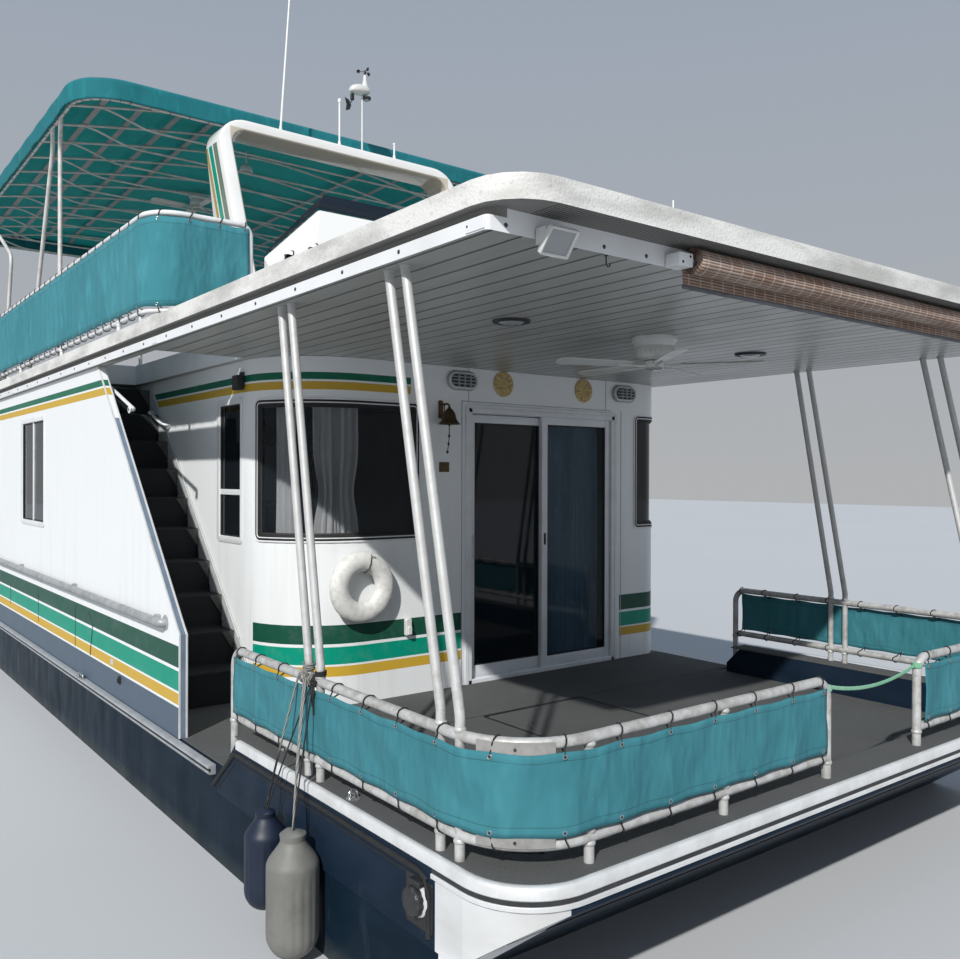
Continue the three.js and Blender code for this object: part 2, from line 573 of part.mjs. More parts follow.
// The radar arch with its light mast, short post and whip aerial.
function radarArch() {
  const ring = (x, top, r) => outline([[-x, ROOF - 400, 0], [x, ROOF - 400, 0], [x, top, r], [-x, top, r]]);
  const face = along(ring(1170, DECK + 4420, 220), FRONT + 900, FRONT + 2200)
    .subtract(along(ring(1060, DECK + 4325, 150), FRONT + 800, FRONT + 2300));
  const rake = [[FRONT + 1000, STANDING], [FRONT + 1720, DECK + 4240], [FRONT + 1745, DECK + 4430],
    [FRONT + 2050, DECK + 4430], [FRONT + 2040, DECK + 4300], [FRONT + 1850, DECK + 3590],
    [FRONT + 1620, STANDING]];
  const top = DECK + 4410;
  const whip = pipe([-613, FRONT + 1780, top], [-448, FRONT + 1780, top + 2400], 9, 6);
  return join([face.intersect(across(rake, -1300, 1300)), whip,
    pipe([-57, FRONT + 1780, top], [-57, FRONT + 1780, DECK + 4830], 9, 6),
    pipe([508, FRONT + 1780, top], [508, FRONT + 1780, DECK + 4570], 9, 6)]);
}

// The weather station on its mast, and the wind cups that turn above it.
function weatherStation() {
  const y = FRONT + 1780;
  return join([pipe([171, y, DECK + 4420 + GAP], [171, y, DECK + 4920], 9, 6),
    wrap([[40, y - 60, DECK + 4885], [40, y + 60, DECK + 4885], [250, y - 60, DECK + 4900],
      [250, y + 60, DECK + 4900], [70, y - 45, DECK + 4975], [70, y + 45, DECK + 4975],
      [232, y - 50, DECK + 5000], [232, y + 50, DECK + 5000]]),
    turned([[0, DECK + 4980], [34, DECK + 4980], [14, DECK + 5105], [0, DECK + 5105]], 10, [198, y, 0])]);
}
function windCups() {
  const y = FRONT + 1780;
  const z = DECK + 5135;
  const arms = [0, 1, 2].map((i) => {
    const a = i * 2 * Math.PI / 3 + 0.4;
    const [c, s] = [Math.cos(a), Math.sin(a)];
    const cup = new THREE.SphereGeometry(17, 8, 6);
    cup.translate(198 + 58 * c, y + 58 * s, z);
    return pipe([198, y, z], [198 + 52 * c, y + 52 * s, z], 4, 6).add(solid(cup));
  });
  return join([turned([[0, z - 22], [11, z - 22], [11, z + 12], [0, z + 16]], 8, [198, y, 0]), ...arms]);
}

// The helm fairing in front of the arch and its low smoked screen.
function helmCowl() {
  return wrap([[-1150, FRONT + 260, STANDING], [1150, FRONT + 260, STANDING], [-1030, FRONT + 1180, STANDING],
    [1030, FRONT + 1180, STANDING], [-1030, FRONT + 1180, DECK + 3180], [1030, FRONT + 1180, DECK + 3180],
    [-820, FRONT + 700, DECK + 3470], [820, FRONT + 700, DECK + 3470],
    [-700, FRONT + 1180, DECK + 3400], [700, FRONT + 1180, DECK + 3400]]);
}
function helmScreen() {
  const z = DECK + 3476;
  const front = wrap([[-824, FRONT + 702, z], [824, FRONT + 702, z], [-824, FRONT + 708, z],
    [824, FRONT + 708, z], [-760, FRONT + 745, z + 125], [760, FRONT + 745, z + 125],
    [-760, FRONT + 751, z + 125], [760, FRONT + 751, z + 125]]);
  const wings = [-1, 1].map((s) => wrap([[s * 826, FRONT + 702, z + 2], [s * 820, FRONT + 702, z + 4],
    [s * 760, FRONT + 745, z + 125], [s * 754, FRONT + 748, z + 125],
    [s * 1028, FRONT + 1160, DECK + 3200], [s * 1020, FRONT + 1160, DECK + 3204],
    [s * 1022, FRONT + 1160, DECK + 3225], [s * 1016, FRONT + 1160, DECK + 3225]]));
  return join([front, ...wings]);
}

// The helm wheel on its short shaft.
function helmWheel() {
  const at = [-420, FRONT + 1290, DECK + 3290];
  const rim = new THREE.TorusGeometry(180, 12, 8, 24);
  rim.rotateX(Math.PI / 2);
  rim.translate(...at);
  const spokes = [0, 1, 2].map((i) => {
    const a = i * 2 * Math.PI / 3 + Math.PI / 2;
    return pipe(at, [at[0] + 180 * Math.cos(a), at[1], at[2] + 180 * Math.sin(a)], 8, 6);
  });
  return join([solid(rim), ...spokes, pipe([at[0], FRONT + 1182, at[2]], [at[0], at[1] + 25, at[2]], 30, 12)]);
}

// ---- canopy ------------------------------------------------------------------------
const SHADE_X = 2150;            // half width of the fabric
const SHADE_FRONT = FRONT + 2070;
const SHADE_AFT = FRONT + 7750;
const SHADE_LOW = DECK + 4460;   // lower edge of the valance
const SHADE_EDGE = DECK + 4630;  // where the top turns down into the valance
const BOWS = Array.from({ length: 11 }, (_, i) => FRONT + 2430 + 495 * i);
// The sheet is level along its edge and rises to a low vault inside.
function sheetHeight(x, y) {
  const inside = Math.max(0, Math.min(y - SHADE_FRONT, SHADE_AFT - y) / 900);
  const vault = 1 - Math.min(Math.abs(x) / SHADE_X, 1) ** 1.4;
  return SHADE_EDGE + 145 * vault * Math.sin(Math.min(inside, 1) * Math.PI / 2);
}
function bowHeight(x, y) {
  const arch = DECK + 4465 + 285 * (1 - (Math.abs(x) / 2110) ** 1.4);
  return Math.min(arch, sheetHeight(x, y) - 28);
}

function canopyFrame() {
  const ringAt = (z, inset) => {
    const x = SHADE_X - inset;
    const plan = outline([[-x, SHADE_FRONT + inset, 380 - inset], [x, SHADE_FRONT + inset, 380 - inset],
      [x, SHADE_AFT - inset, 380 - inset], [-x, SHADE_AFT - inset, 380 - inset]], 4);
    const points = [...plan, plan[0]].map((p) => new THREE.Vector3(p[0], p[1], z));
    // Two overlapping halves close the ring without a seam.
    const cut = Math.floor(points.length / 2);
    return join([tube(points.slice(0, cut + 1), 12, 6), tube(points.slice(cut), 12, 6)]);
  };
  const bows = BOWS.flatMap((y) => {
    const arch = [-2110, -1650, -1100, -450, 450, 1100, 1650, 2110]
      .map((x) => new THREE.Vector3(x, y, bowHeight(x, y)));
    const chord = [[-1680, bowHeight(1680, y)], [-1540, DECK + 4400], [1540, DECK + 4400],
      [1680, bowHeight(1680, y)]].map(([x, z]) => new THREE.Vector3(x, y, z));
    return [tube(arch, 11, 6), tube(chord, 9, 6)];
  });
  const struts = BOWS.filter((_, i) => i % 2 === 1).flatMap((y) => [-2110, 2110].map(
    (x) => pipe([x, y + 120, DECK + 4470], [x, y + 120, DECK + 4600], 9, 6)));
  const legs = [-1, 1].flatMap((s) => {
    const leg = (rows) => tube(route(rows.map(([x, y, z, r]) => [s * x, FRONT + y, z, r]), 3), 18);
    const foot = ROOF - 15;
    return [
      leg([[2050, 3040, foot], [2050, 3040, DECK + 4340, 120], [2108, 2760, DECK + 4470]]),
      leg([[2050, 4256, foot], [2050, 3300, DECK + 4390, 150], [2108, 3060, DECK + 4470]]),
      leg([[2050, 6740, foot], [2050, 6740, DECK + 4340, 120], [2108, 7020, DECK + 4470]]),
      leg([[2050, 5484, foot], [2050, 5090, DECK + 3790, 140], [2060, 6200, DECK + 4370, 200],
        [2108, 6450, DECK + 4470]])];
  });
  const under = box(-2200, 2200, SHADE_FRONT, SHADE_AFT, ROOF - 80, STANDING);
  return join([ringAt(DECK + 4470, 40), ringAt(DECK + 4598, 40), ...bows, ...struts, ...legs]).subtract(under);
}

// One sheet of fabric: a low vault with a standing valance all around.
function canopyTop() {
  // The plan outline with extra points along its straight sides.
  const plan = (inset) => {
    const x = SHADE_X - inset;
    const corners = outline([[-x, SHADE_FRONT + inset, 400 - inset], [x, SHADE_FRONT + inset, 400 - inset],
      [x, SHADE_AFT - inset, 400 - inset], [-x, SHADE_AFT - inset, 400 - inset]], 3);
    return corners.flatMap((p, i) => {
      const q = corners[(i + 1) % corners.length];
      const length = Math.hypot(q[0] - p[0], q[1] - p[1]);
      const pieces = length < 500 ? 1 : 8;
      return Array.from({ length: pieces }, (_, k) => [
        p[0] + (q[0] - p[0]) * k / pieces, p[1] + (q[1] - p[1]) * k / pieces]);
    });
  };
  const [cx, cy] = [0, (SHADE_FRONT + SHADE_AFT) / 2];
  const scales = [0.25, 0.5, 0.7, 0.84, 0.93, 1];
  const shrink = (points, s) => points.map(([x, y]) => [cx + (x - cx) * s, cy + (y - cy) * s]);
  const outer = plan(0);
  const inner = plan(5);
  const rings = [
    ...scales.map((s) => shrink(outer, s).map(([x, y]) => [x, y, sheetHeight(x, y)])),
    outer.map(([x, y]) => [x, y, SHADE_LOW]),
    inner.map(([x, y]) => [x, y, SHADE_LOW]),
    ...[...scales].reverse().map((s) => shrink(inner, s).map(([x, y]) => [x, y, sheetHeight(x, y) - 5])),
  ];
  const n = outer.length;
  const positions = [cx, cy, sheetHeight(cx, cy), ...rings.flat(2), cx, cy, sheetHeight(cx, cy) - 5];
  const last = 1 + rings.length * n;
  const faces = [];
  for (let i = 0; i < n; i += 1) {
    const j = (i + 1) % n;
    faces.push(0, 1 + i, 1 + j);
    for (let r = 0; r < rings.length - 1; r += 1) {
      const [a, b, c, d] = [1 + r * n + i, 1 + r * n + j, 1 + (r + 1) * n + i, 1 + (r + 1) * n + j];
      faces.push(a, c, b, b, c, d);
    }
    faces.push(last, 1 + (rings.length - 1) * n + j, 1 + (rings.length - 1) * n + i);
  }
  const geometry = new THREE.BufferGeometry();
  geometry.setAttribute('position', new THREE.Float32BufferAttribute(positions, 3));
  geometry.setIndex(faces);
  return solid(geometry);
}

const FAN_TWO = [-170, FRONT + 4905, DECK + 4705];
part('upper_rail', upperRail(), 0xd4d6d8, 0.3, 0.8);
part('upper_panel', upperPanel(), 0x2f8084, 0.85, 0);
part('radar_arch', radarArch(), 0xf1f1ee, 0.3, 0);
part('weather_station', weatherStation(), 0xf0f0f0, 0.4, 0);
part('wind_cups', windCups(), 0x1c1c1e, 0.5, 0);
part('helm_cowl', helmCowl(), 0xf1f1ee, 0.3, 0);
part('helm_screen', helmScreen(), 0x1d2c3a, 0.1, 0);
part('helm_wheel', helmWheel(), 0x1b1b1c, 0.5, 0.1);
part('canopy_frame', canopyFrame(), 0xc2c4c6, 0.35, 0.8);
part('canopy_top', canopyTop(), 0x12a39a, 0.85, 0);
part('canopy_fan_motor', fanMotor(...FAN_TWO), 0xe8e8e6, 0.4, 0);
part('canopy_fan_blades', fanBlades(...FAN_TWO, 4, 520), 0xe8e8e6, 0.4, 0);

// ---- stern -------------------------------------------------------------------------
// The rail of one side of the aft deck, with the corner post that carries the roof.
function aftRail(side) {
  const x = side * RAIL_X;
  const y = TRANSOM - 55;
  const gate = side * 400;
  const path = (z, ends) => tube(route([...(ends ? [[x, REAR + 70, DECK + GAP], [x, REAR + 70, z, 90]]
    : [[x, REAR + 70, z]]), [x, y, z, 200], ...(ends ? [[gate, y, z, 80], [gate, y, DECK + GAP]]
    : [[gate, y, z]])]), RAIL_TUBE);
  return join([path(DECK + 840, true), path(DECK + 120, false),
    pipe([x, TRANSOM - 420, DECK + GAP], [x, TRANSOM - 420, CEILING - GAP], POST_TUBE),
    pipe([side * 1200, y, DECK + GAP], [side * 1200, y, DECK + 840], POST_TUBE)]);
}
function aftPanel(side) {
  const path = route([[side * (RAIL_X + 26), REAR + 110, 0], [side * (RAIL_X + 26), TRANSOM - 29, 0, 226],
    [side * 440, TRANSOM - 29, 0]], 5);
  return sheet(path, 1.5, DECK + 150, DECK + 812);
}

// The stern drive: a steering swivel, a tilting leg and the propeller.
const TILT_PIVOT = [TRANSOM + 160, 600];
const STOWED = THREE.MathUtils.degToRad(45);
function driveSwivel() {
  const y = TRANSOM + 95;
  return join([pipe([0, y, 470], [0, y, 730], 26, 16), box(-72, 72, TRANSOM + 100, TRANSOM + 125, 545, 655),
    box(-72, -54, TRANSOM + 120, TRANSOM + 200, 560, 640), box(54, 72, TRANSOM + 120, TRANSOM + 200, 560, 640)]);
}
// Turns a piece drawn in its lowered pose up about the tilt pivot.
function stow(body) {
  const [y, z] = TILT_PIVOT;
  return body.translate([0, -y, -z]).rotate([THREE.MathUtils.radToDeg(STOWED), 0, 0]).translate([0, y, z]);
}
function driveLeg() {
  const [y, z] = TILT_PIVOT;
  const at = (points) => points.map(([v, w]) => [y + v, z + w]);
  const torpedo = turned([[0, y + 50], [20, y + 62], [38, y + 110], [42, y + 180], [40, y + 330], [0, y + 330]],
    14, [0, 0, 0], 'y').translate([0, 0, z - 365]);
  return stow(join([
    across(at([[-22, 0], [0, 30], [110, 105], [220, 85], [245, 15], [215, -62], [95, -62], [0, -28]]), -44, 44),
    across(at([[100, -55], [215, -55], [240, -170], [225, -365], [120, -365], [95, -170]]), -26, 26),
    across(at([[60, -165], [60, -157], [345, -157], [345, -165]]), -100, 100),
    across(at([[120, -380], [235, -380], [215, -556], [180, -556]]), -6, 6), torpedo,
    pipe([-53, y, z], [53, y, z], 12, 10)]));
}
function propeller() {
  const [y, z] = TILT_PIVOT;
  const hub = turned([[0, y + 336], [38, y + 336], [34, y + 392], [16, y + 404], [0, y + 404]], 12, [0, 0, 0], 'y')
    .translate([0, 0, z - 365]);
  const blades = [0, 1, 2].map((i) => {
    const blade = new THREE.BoxGeometry(96, 7, 146);
    blade.translate(0, 0, 103);
    blade.rotateZ(THREE.MathUtils.degToRad(28));
    blade.rotateY(i * 2 * Math.PI / 3 + 0.2);
    blade.translate(0, y + 363, z - 365);
    return solid(blade);
  });
  return stow(join([hub, ...blades]));
}

part('aft_rail_stbd', aftRail(-1), 0xc9ccce, 0.3, 0.9);
part('aft_rail_port', aftRail(1), 0xc9ccce, 0.3, 0.9);
part('aft_panel_stbd', aftPanel(-1), 0x2f8f93, 0.85, 0);
part('aft_panel_port', aftPanel(1), 0x2f8f93, 0.85, 0);
part('drive_swivel', driveSwivel(), 0x2b2d30, 0.4, 0.4);
part('drive_leg', driveLeg(), 0x2b2d30, 0.4, 0.4);
part('propeller', propeller(), 0x9aa0a4, 0.3, 0.9);

export default group;
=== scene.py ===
# %% [markdown]
# # A widebody houseboat, dressed piece by piece
# The solids of the boat come in as a fixed frame: hull, cabin, stair, roof, rails, arch and canopy.
# Each cell below dresses one part of it. Thin tubes, window frames and fabric are worked out again as
# fine surfaces with numpy, and big flat solids are kept as smooth copies with a painted finish.
# Everything is in metres: +X is port, +Y is aft, +Z is up, and z = 0 is the flat bottom of the hull.

# %% Load the frame
import math
import bmesh
import bpy
import numpy as np
from mathutils import Matrix


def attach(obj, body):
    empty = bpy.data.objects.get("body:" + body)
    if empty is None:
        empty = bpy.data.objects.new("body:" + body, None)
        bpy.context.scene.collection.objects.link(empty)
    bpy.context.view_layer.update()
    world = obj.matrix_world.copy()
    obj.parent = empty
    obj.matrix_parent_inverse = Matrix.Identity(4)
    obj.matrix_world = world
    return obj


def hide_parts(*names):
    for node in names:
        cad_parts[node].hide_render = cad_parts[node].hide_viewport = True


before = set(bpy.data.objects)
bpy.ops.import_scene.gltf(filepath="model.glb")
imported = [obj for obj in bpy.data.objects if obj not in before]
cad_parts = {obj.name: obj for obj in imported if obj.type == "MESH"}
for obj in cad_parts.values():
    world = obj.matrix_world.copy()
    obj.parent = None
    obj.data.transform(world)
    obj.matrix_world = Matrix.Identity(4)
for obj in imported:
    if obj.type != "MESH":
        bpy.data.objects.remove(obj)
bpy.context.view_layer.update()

scene = bpy.context.scene
print("nodes in the frame:", len(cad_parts))

# %% [markdown]
# ## Main sizes
# These repeat the driving sizes of the solids, so that new pieces land on what carries them.
# Heights are above the hull bottom. Most places are read off from two datums, the cabin's front wall
# and the deck, so front, aft, above and spot turn such distances into the boat's own y and z.

# %% Main sizes
HALF_BEAM = 2.12
WALL_OUT = HALF_BEAM + 0.0005
DECK = 1.0
FRONT = -4.8
BOW = FRONT - 3.13
REAR = FRONT + 10.5
TRANSOM = FRONT + 12.1
CEILING = DECK + 2.31
ROOF = DECK + 2.475
WATERLINE = 0.5
STAIR_WALL = -1.43
CORNER = 0.6
BULWARK_TOP = DECK + 0.19
RAIL_X = 2.08
RAIL_Y = FRONT - 3.05
RAIL_TOP = DECK + 0.625
RAIL_LOW = DECK + 0.285


def front(y):
    """Distance aft of the cabin's front wall, turned into the boat's own y."""
    return FRONT + y


def aft(*distances):
    """Several distances aft of the front wall, each turned into the boat's own y."""
    return tuple(FRONT + y for y in distances)


def above(*heights):
    """Several heights above the deck, each turned into the boat's own z."""
    return tuple(DECK + z for z in heights)


def spot(x, y, z, *radius):
    """A point given by x, distance aft of the front wall and height above the deck, with a bend radius."""
    return (x, FRONT + y, DECK + z, *radius)


# %% [markdown]
# ## Camera
# The camera stands where the picture was taken: off the starboard bow, 1.5 m above the foredeck,
# looking level and 37.6 degrees to port. The turn is worked out as three rows, right, down and ahead,
# and then handed to Blender, whose cameras look along their own -Z.

# %% Camera
def camera_rows(yaw, pitch, roll):
    """Rows right, down and ahead of a camera: ahead from yaw and pitch, the other two turned by roll."""
    ahead = np.array([math.sin(yaw) * math.cos(pitch), math.cos(yaw) * math.cos(pitch), math.sin(pitch)])
    right = np.cross(ahead, [0, 0, 1.0])
    right /= np.linalg.norm(right)
    down = np.cross(ahead, right)
    c, s = math.cos(roll), math.sin(roll)
    return np.array([c * right + s * down, -s * right + c * down, ahead])


IMAGE_WIDTH, FOCAL_PIXELS, SENSOR = 960, 907.2, 36.0
CAMERA_AT = (-3.9338, -10.0853, 2.5178)
YAW, PITCH, ROLL = math.radians(37.606), math.radians(-0.1743), math.radians(-0.152)
rows = camera_rows(YAW, PITCH, ROLL)
eye = bpy.data.cameras.new("view")
eye.sensor_fit = "HORIZONTAL"
eye.sensor_width = SENSOR
eye.lens = FOCAL_PIXELS / IMAGE_WIDTH * SENSOR
eye.clip_start, eye.clip_end = 0.05, 300
camera = bpy.data.objects.new("view", eye)
scene.collection.objects.link(camera)
turn = np.eye(4)
turn[:3, 0], turn[:3, 1], turn[:3, 2] = rows[0], -rows[1], -rows[2]
turn[:3, 3] = CAMERA_AT
camera.matrix_world = Matrix(turn.tolist())
scene.camera = camera
print("lens in mm:", round(eye.lens, 2))

# %% [markdown]
# ## Meshes from whole arrays
# Every new piece is a set of patches. A patch is a grid of points, worked out at once as an array,
# and a few index sums turn the grid into four-sided faces. A patch may close on itself in either
# direction, and its ends may be capped. Several patches make one piece, which rides on one body.

# %% Grid to faces
def join(*parts):
    """Arrays of x, y and z, spread to one shape and joined into points."""
    return np.stack(np.broadcast_arrays(*parts), -1)


def circle(count):
    """Angles of evenly spaced points round a full turn."""
    return np.linspace(0, 2 * math.pi, count, endpoint=False)


def unit(vectors):
    """Rows of vectors scaled to length one."""
    return vectors / np.linalg.norm(vectors, axis=1, keepdims=True)


def running(path):
    """Distance run along a path at each of its points."""
    return np.concatenate([[0], np.cumsum(np.linalg.norm(np.diff(path, axis=0), axis=1))])


def ordered(a, b):
    """Two numbers, the lower one first."""
    return min(a, b), max(a, b)


def patch(points, wrap_u=False, wrap_v=False, cap=False, size=(1.0, 1.0), chart=None, finish=0):
    """Points in an (n, m, 3) grid as faces. Texture u and v run evenly to size, or follow a chart."""
    points = np.asarray(points, float)
    n, m = points.shape[:2]
    i = np.arange(n if wrap_u else n - 1)[:, None]
    j = np.arange(m if wrap_v else m - 1)[None, :]
    one = np.ones_like(i * j)
    a = join(i * one, i * one, (i + 1) * one, (i + 1) * one)
    b = join(j * one, (j + 1) * one, (j + 1) * one, j * one)
    quads = ((a % n) * m + b % m).reshape(-1, 4)
    if chart is None:
        uv = join(a / max(len(i), 1) * size[0], b / max(j.shape[1], 1) * size[1])
    else:
        uv = np.asarray(chart, float)[a % n, b % m]
    caps = [list(range(m)), list(range(n * m - 1, (n - 1) * m - 1, -1))] if cap else []
    return {"points": points.reshape(-1, 3), "quads": quads, "uv": uv.reshape(-1, 4, 2), "caps": caps,
            "finish": finish}


def piece(name, patches, body, finish, replaces=(), angle=38, mend=True):
    """One mesh object from its patches: smooth shaded, with edges sharper than the angle kept crisp."""
    patches = patches if isinstance(patches, list) else [patches]
    faces, uvs, marks, start = [], [], [], 0
    for p in patches:
        faces += (p["quads"] + start).tolist() + [[k + start for k in c] for c in p["caps"]]
        uvs.append(p["uv"].reshape(-1, 2))
        uvs.append(np.zeros((sum(len(c) for c in p["caps"]), 2)))
        marks += [p["finish"]] * (len(p["quads"]) + len(p["caps"]))
        start += len(p["points"])
    mesh = bpy.data.meshes.new(name)
    mesh.from_pydata(np.concatenate([p["points"] for p in patches]).tolist(), [], faces)
    mesh.uv_layers.new(name="UVMap").data.foreach_set("uv", np.concatenate(uvs).ravel())
    mesh.polygons.foreach_set("material_index", marks)
    for one in finish if isinstance(finish, (list, tuple)) else [finish]:
        mesh.materials.append(one)
    if mend:
        work = bmesh.new()
        work.from_mesh(mesh)
        bmesh.ops.remove_doubles(work, verts=work.verts, dist=1e-6)
        bmesh.ops.recalc_face_normals(work, faces=work.faces)
        work.to_mesh(mesh)
        work.free()
    mesh.polygons.foreach_set("use_smooth", [True] * len(mesh.polygons))
    mesh.set_sharp_from_angle(angle=math.radians(angle))
    made = bpy.data.objects.new(name, mesh)
    scene.collection.objects.link(made)
    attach(made, body)
    if replaces:
        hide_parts(*replaces)
    return made


# %% [markdown]
# ## Tubes, turned pieces and frames
# Rails, bows and ropes are round sections carried along a path. Bells, lamps and fenders are turned
# profiles. Window frames, edge strips and rub rails are a small profile carried round an outline.
# Blocks are outlines raised between two heights with a chamfer at each end, so no edge is knife sharp.

# %% Paths
def bend(points, steps=8):
    """An open path through points (x, y, z, radius): each corner with a radius becomes a true arc."""
    points = [np.array([*p, 0.0][:4]) for p in points]
    out = [points[0][None, :3]]
    for before, here, after in zip(points[:-2], points[1:-1], points[2:]):
        corner, radius = here[:3], here[3]
        a = (before[:3] - corner) / np.linalg.norm(before[:3] - corner)
        b = (after[:3] - corner) / np.linalg.norm(after[:3] - corner)
        half = math.acos(np.clip(a @ b, -1, 1)) / 2
        if radius <= 0 or half > 1.55:
            out.append(corner[None])
            continue
        middle = (a + b) / np.linalg.norm(a + b)
        centre = corner + middle * radius / math.sin(half)
        start = corner + a * radius / math.tan(half) - centre
        end = corner + b * radius / math.tan(half) - centre
        sweep = math.pi - 2 * half
        t = np.linspace(0, 1, steps + 1)[:, None]
        out.append(centre + start * np.sin((1 - t) * sweep) / math.sin(sweep)
                   + end * np.sin(t * sweep) / math.sin(sweep))
    return np.concatenate([*out, points[-1][None, :3]])


def evenly(path, gap):
    """The same path with points at even spacing, found by running length."""
    path = np.asarray(path, float)
    run = running(path)
    t = np.linspace(0, run[-1], max(int(run[-1] / gap), 2) + 1)
    return np.stack([np.interp(t, run, path[:, k]) for k in range(3)], -1)


def length_of(path):
    """The sum of the lengths of a path's steps."""
    return float(np.linalg.norm(np.diff(path, axis=0), axis=1).sum())


def tube(path, radius, sides=14, finish=0, closed=False):
    """A circle carried along a path: each point is the path point plus radius times two cross directions."""
    path = np.asarray(path, float)
    ahead = np.roll(path, -1, 0) if closed else np.concatenate([path[1:], path[-1:]])
    behind = np.roll(path, 1, 0) if closed else np.concatenate([path[:1], path[:-1]])
    tangent = (ahead - path) / (np.linalg.norm(ahead - path, axis=1, keepdims=True) + 1e-12)
    tangent = tangent + (path - behind) / (np.linalg.norm(path - behind, axis=1, keepdims=True) + 1e-12)
    tangent = unit(tangent)
    guide = np.array([0.36, 0.48, 0.8])
    if abs(tangent @ guide).max() >= 0.97:
        guide = np.array([0.6, -0.64, 0.48])
    side = unit(np.cross(tangent, guide))
    up = np.cross(side, tangent)
    a = circle(sides)
    radius = np.broadcast_to(np.asarray(radius, float), len(path))[:, None, None]
    ring = path[:, None] + radius * (np.cos(a)[None, :, None] * side[:, None]
                                     + np.sin(a)[None, :, None] * up[:, None])
    return patch(ring, wrap_u=closed, wrap_v=True, cap=not closed, size=(length_of(path), 1.0), finish=finish)


def pipe(a, b, radius, sides=14, finish=0):
    """A straight tube between two points."""
    return tube(np.array([a, b], float), radius, sides, finish=finish)


AXES = {"x": (1, 2, 0), "y": (0, 2, 1), "z": (0, 1, 2)}
UP = np.array([0, 0, 1.0])


def spoke(t):
    """Level directions of a spoke at an angle: out along it, and across it."""
    return np.array([math.cos(t), math.sin(t), 0]), np.array([-math.sin(t), math.cos(t), 0])


def lay(first, second, along, axis):
    """Puts two in-plane numbers and one along-axis number into x, y, z order for the named axis."""
    out = np.empty(np.broadcast(first, second, along).shape + (3,))
    out[..., AXES[axis][0]], out[..., AXES[axis][1]], out[..., AXES[axis][2]] = first, second, along
    return out


def turned(profile, at, axis="z", sides=32, finish=0):
    """A (radius, height) profile turned about an axis through at: two in-plane parts radius cos and sin."""
    r, h = np.asarray(profile, float).T
    a = circle(sides)
    grid = lay(r[:, None] * np.cos(a), r[:, None] * np.sin(a), h[:, None], axis) + np.asarray(at, float)
    return patch(grid, wrap_v=True, cap=True, finish=finish)


def rounded(u0, u1, v0, v1, r, steps=5):
    """A rounded rectangle, anticlockwise: four corner centres plus r times cos and sin, with its normals."""
    r = min(r, (u1 - u0) / 2 - 1e-6, (v1 - v0) / 2 - 1e-6)
    q = np.linspace(0, math.pi / 2, steps + 1)
    a = np.concatenate([q + k * math.pi / 2 for k in range(4)])
    cu = np.repeat([u1 - r, u0 + r, u0 + r, u1 - r], steps + 1)
    cv = np.repeat([v1 - r, v1 - r, v0 + r, v0 + r], steps + 1)
    normal = join(np.cos(a), np.sin(a))
    return join(cu, cv) + r * normal, normal


def raised(points, normals, low, high, chamfer, axis="z", finish=0):
    """An outline raised from low to high: its two ends are pulled in by the chamfer along the normals."""
    pull = np.array([chamfer, 0.0, 0.0, chamfer])[:, None, None]
    flat = points[None] - pull * normals[None]
    height = np.array([low, low + chamfer, high - chamfer, high])[:, None]
    return patch(lay(flat[..., 0], flat[..., 1], height, axis), wrap_v=True, cap=True, finish=finish)


def block(x, y, z, r=0.004, chamfer=0.002, axis="z", finish=0):
    """A rounded block between pairs x, y and z: a rounded rectangle raised along one axis."""
    spans = [x, y, z]
    u, v, w = (spans[k] for k in AXES[axis])
    return raised(*rounded(*u, *v, r, 3), *w, chamfer, axis, finish)


def framed(points, normals, profile, axis, finish=0, closed=True):
    """A closed (out, along) profile carried round an outline: outline plus out times its normal."""
    out, along = np.asarray(profile, float).T
    flat = points[:, None] + out[None, :, None] * normals[:, None]
    return patch(lay(flat[..., 0], flat[..., 1], along, axis),
                 wrap_u=closed, wrap_v=True, cap=not closed, finish=finish)


def fine(points, normals, gap, closed=True):
    """Adds points, with blended normals, along the long straight runs of an outline."""
    ends = (np.roll(points, -1, 0), np.roll(normals, -1, 0)) if closed else (points[1:], normals[1:])
    starts = (points, normals) if closed else (points[:-1], normals[:-1])
    both = []
    for start, end, last in zip(starts, ends, (points, normals)):
        count = np.maximum(np.ceil(np.linalg.norm(ends[0] - starts[0], axis=1) / gap), 1).astype(int)
        share = np.concatenate([np.arange(c) / c for c in count])[:, None]
        rows = np.repeat(np.arange(len(count)), count)
        grown = start[rows] * (1 - share) + end[rows] * share
        both.append(grown if closed else np.concatenate([grown, last[-1:]]))
    return both[0], unit(both[1])


def sideways(path):
    """The plan outline (x, y) of a path with its normals to the right of travel."""
    flat = np.asarray(path, float)[:, :2]
    ahead = unit(np.gradient(flat, axis=0))
    return flat, join(ahead[:, 1], -ahead[:, 0])


def moved(made, how):
    """The same patch with its points passed through a function of x, y and z arrays."""
    made["points"] = np.stack(how(*made["points"].T), -1)
    return made


FACET_ANGLE = math.radians(30)


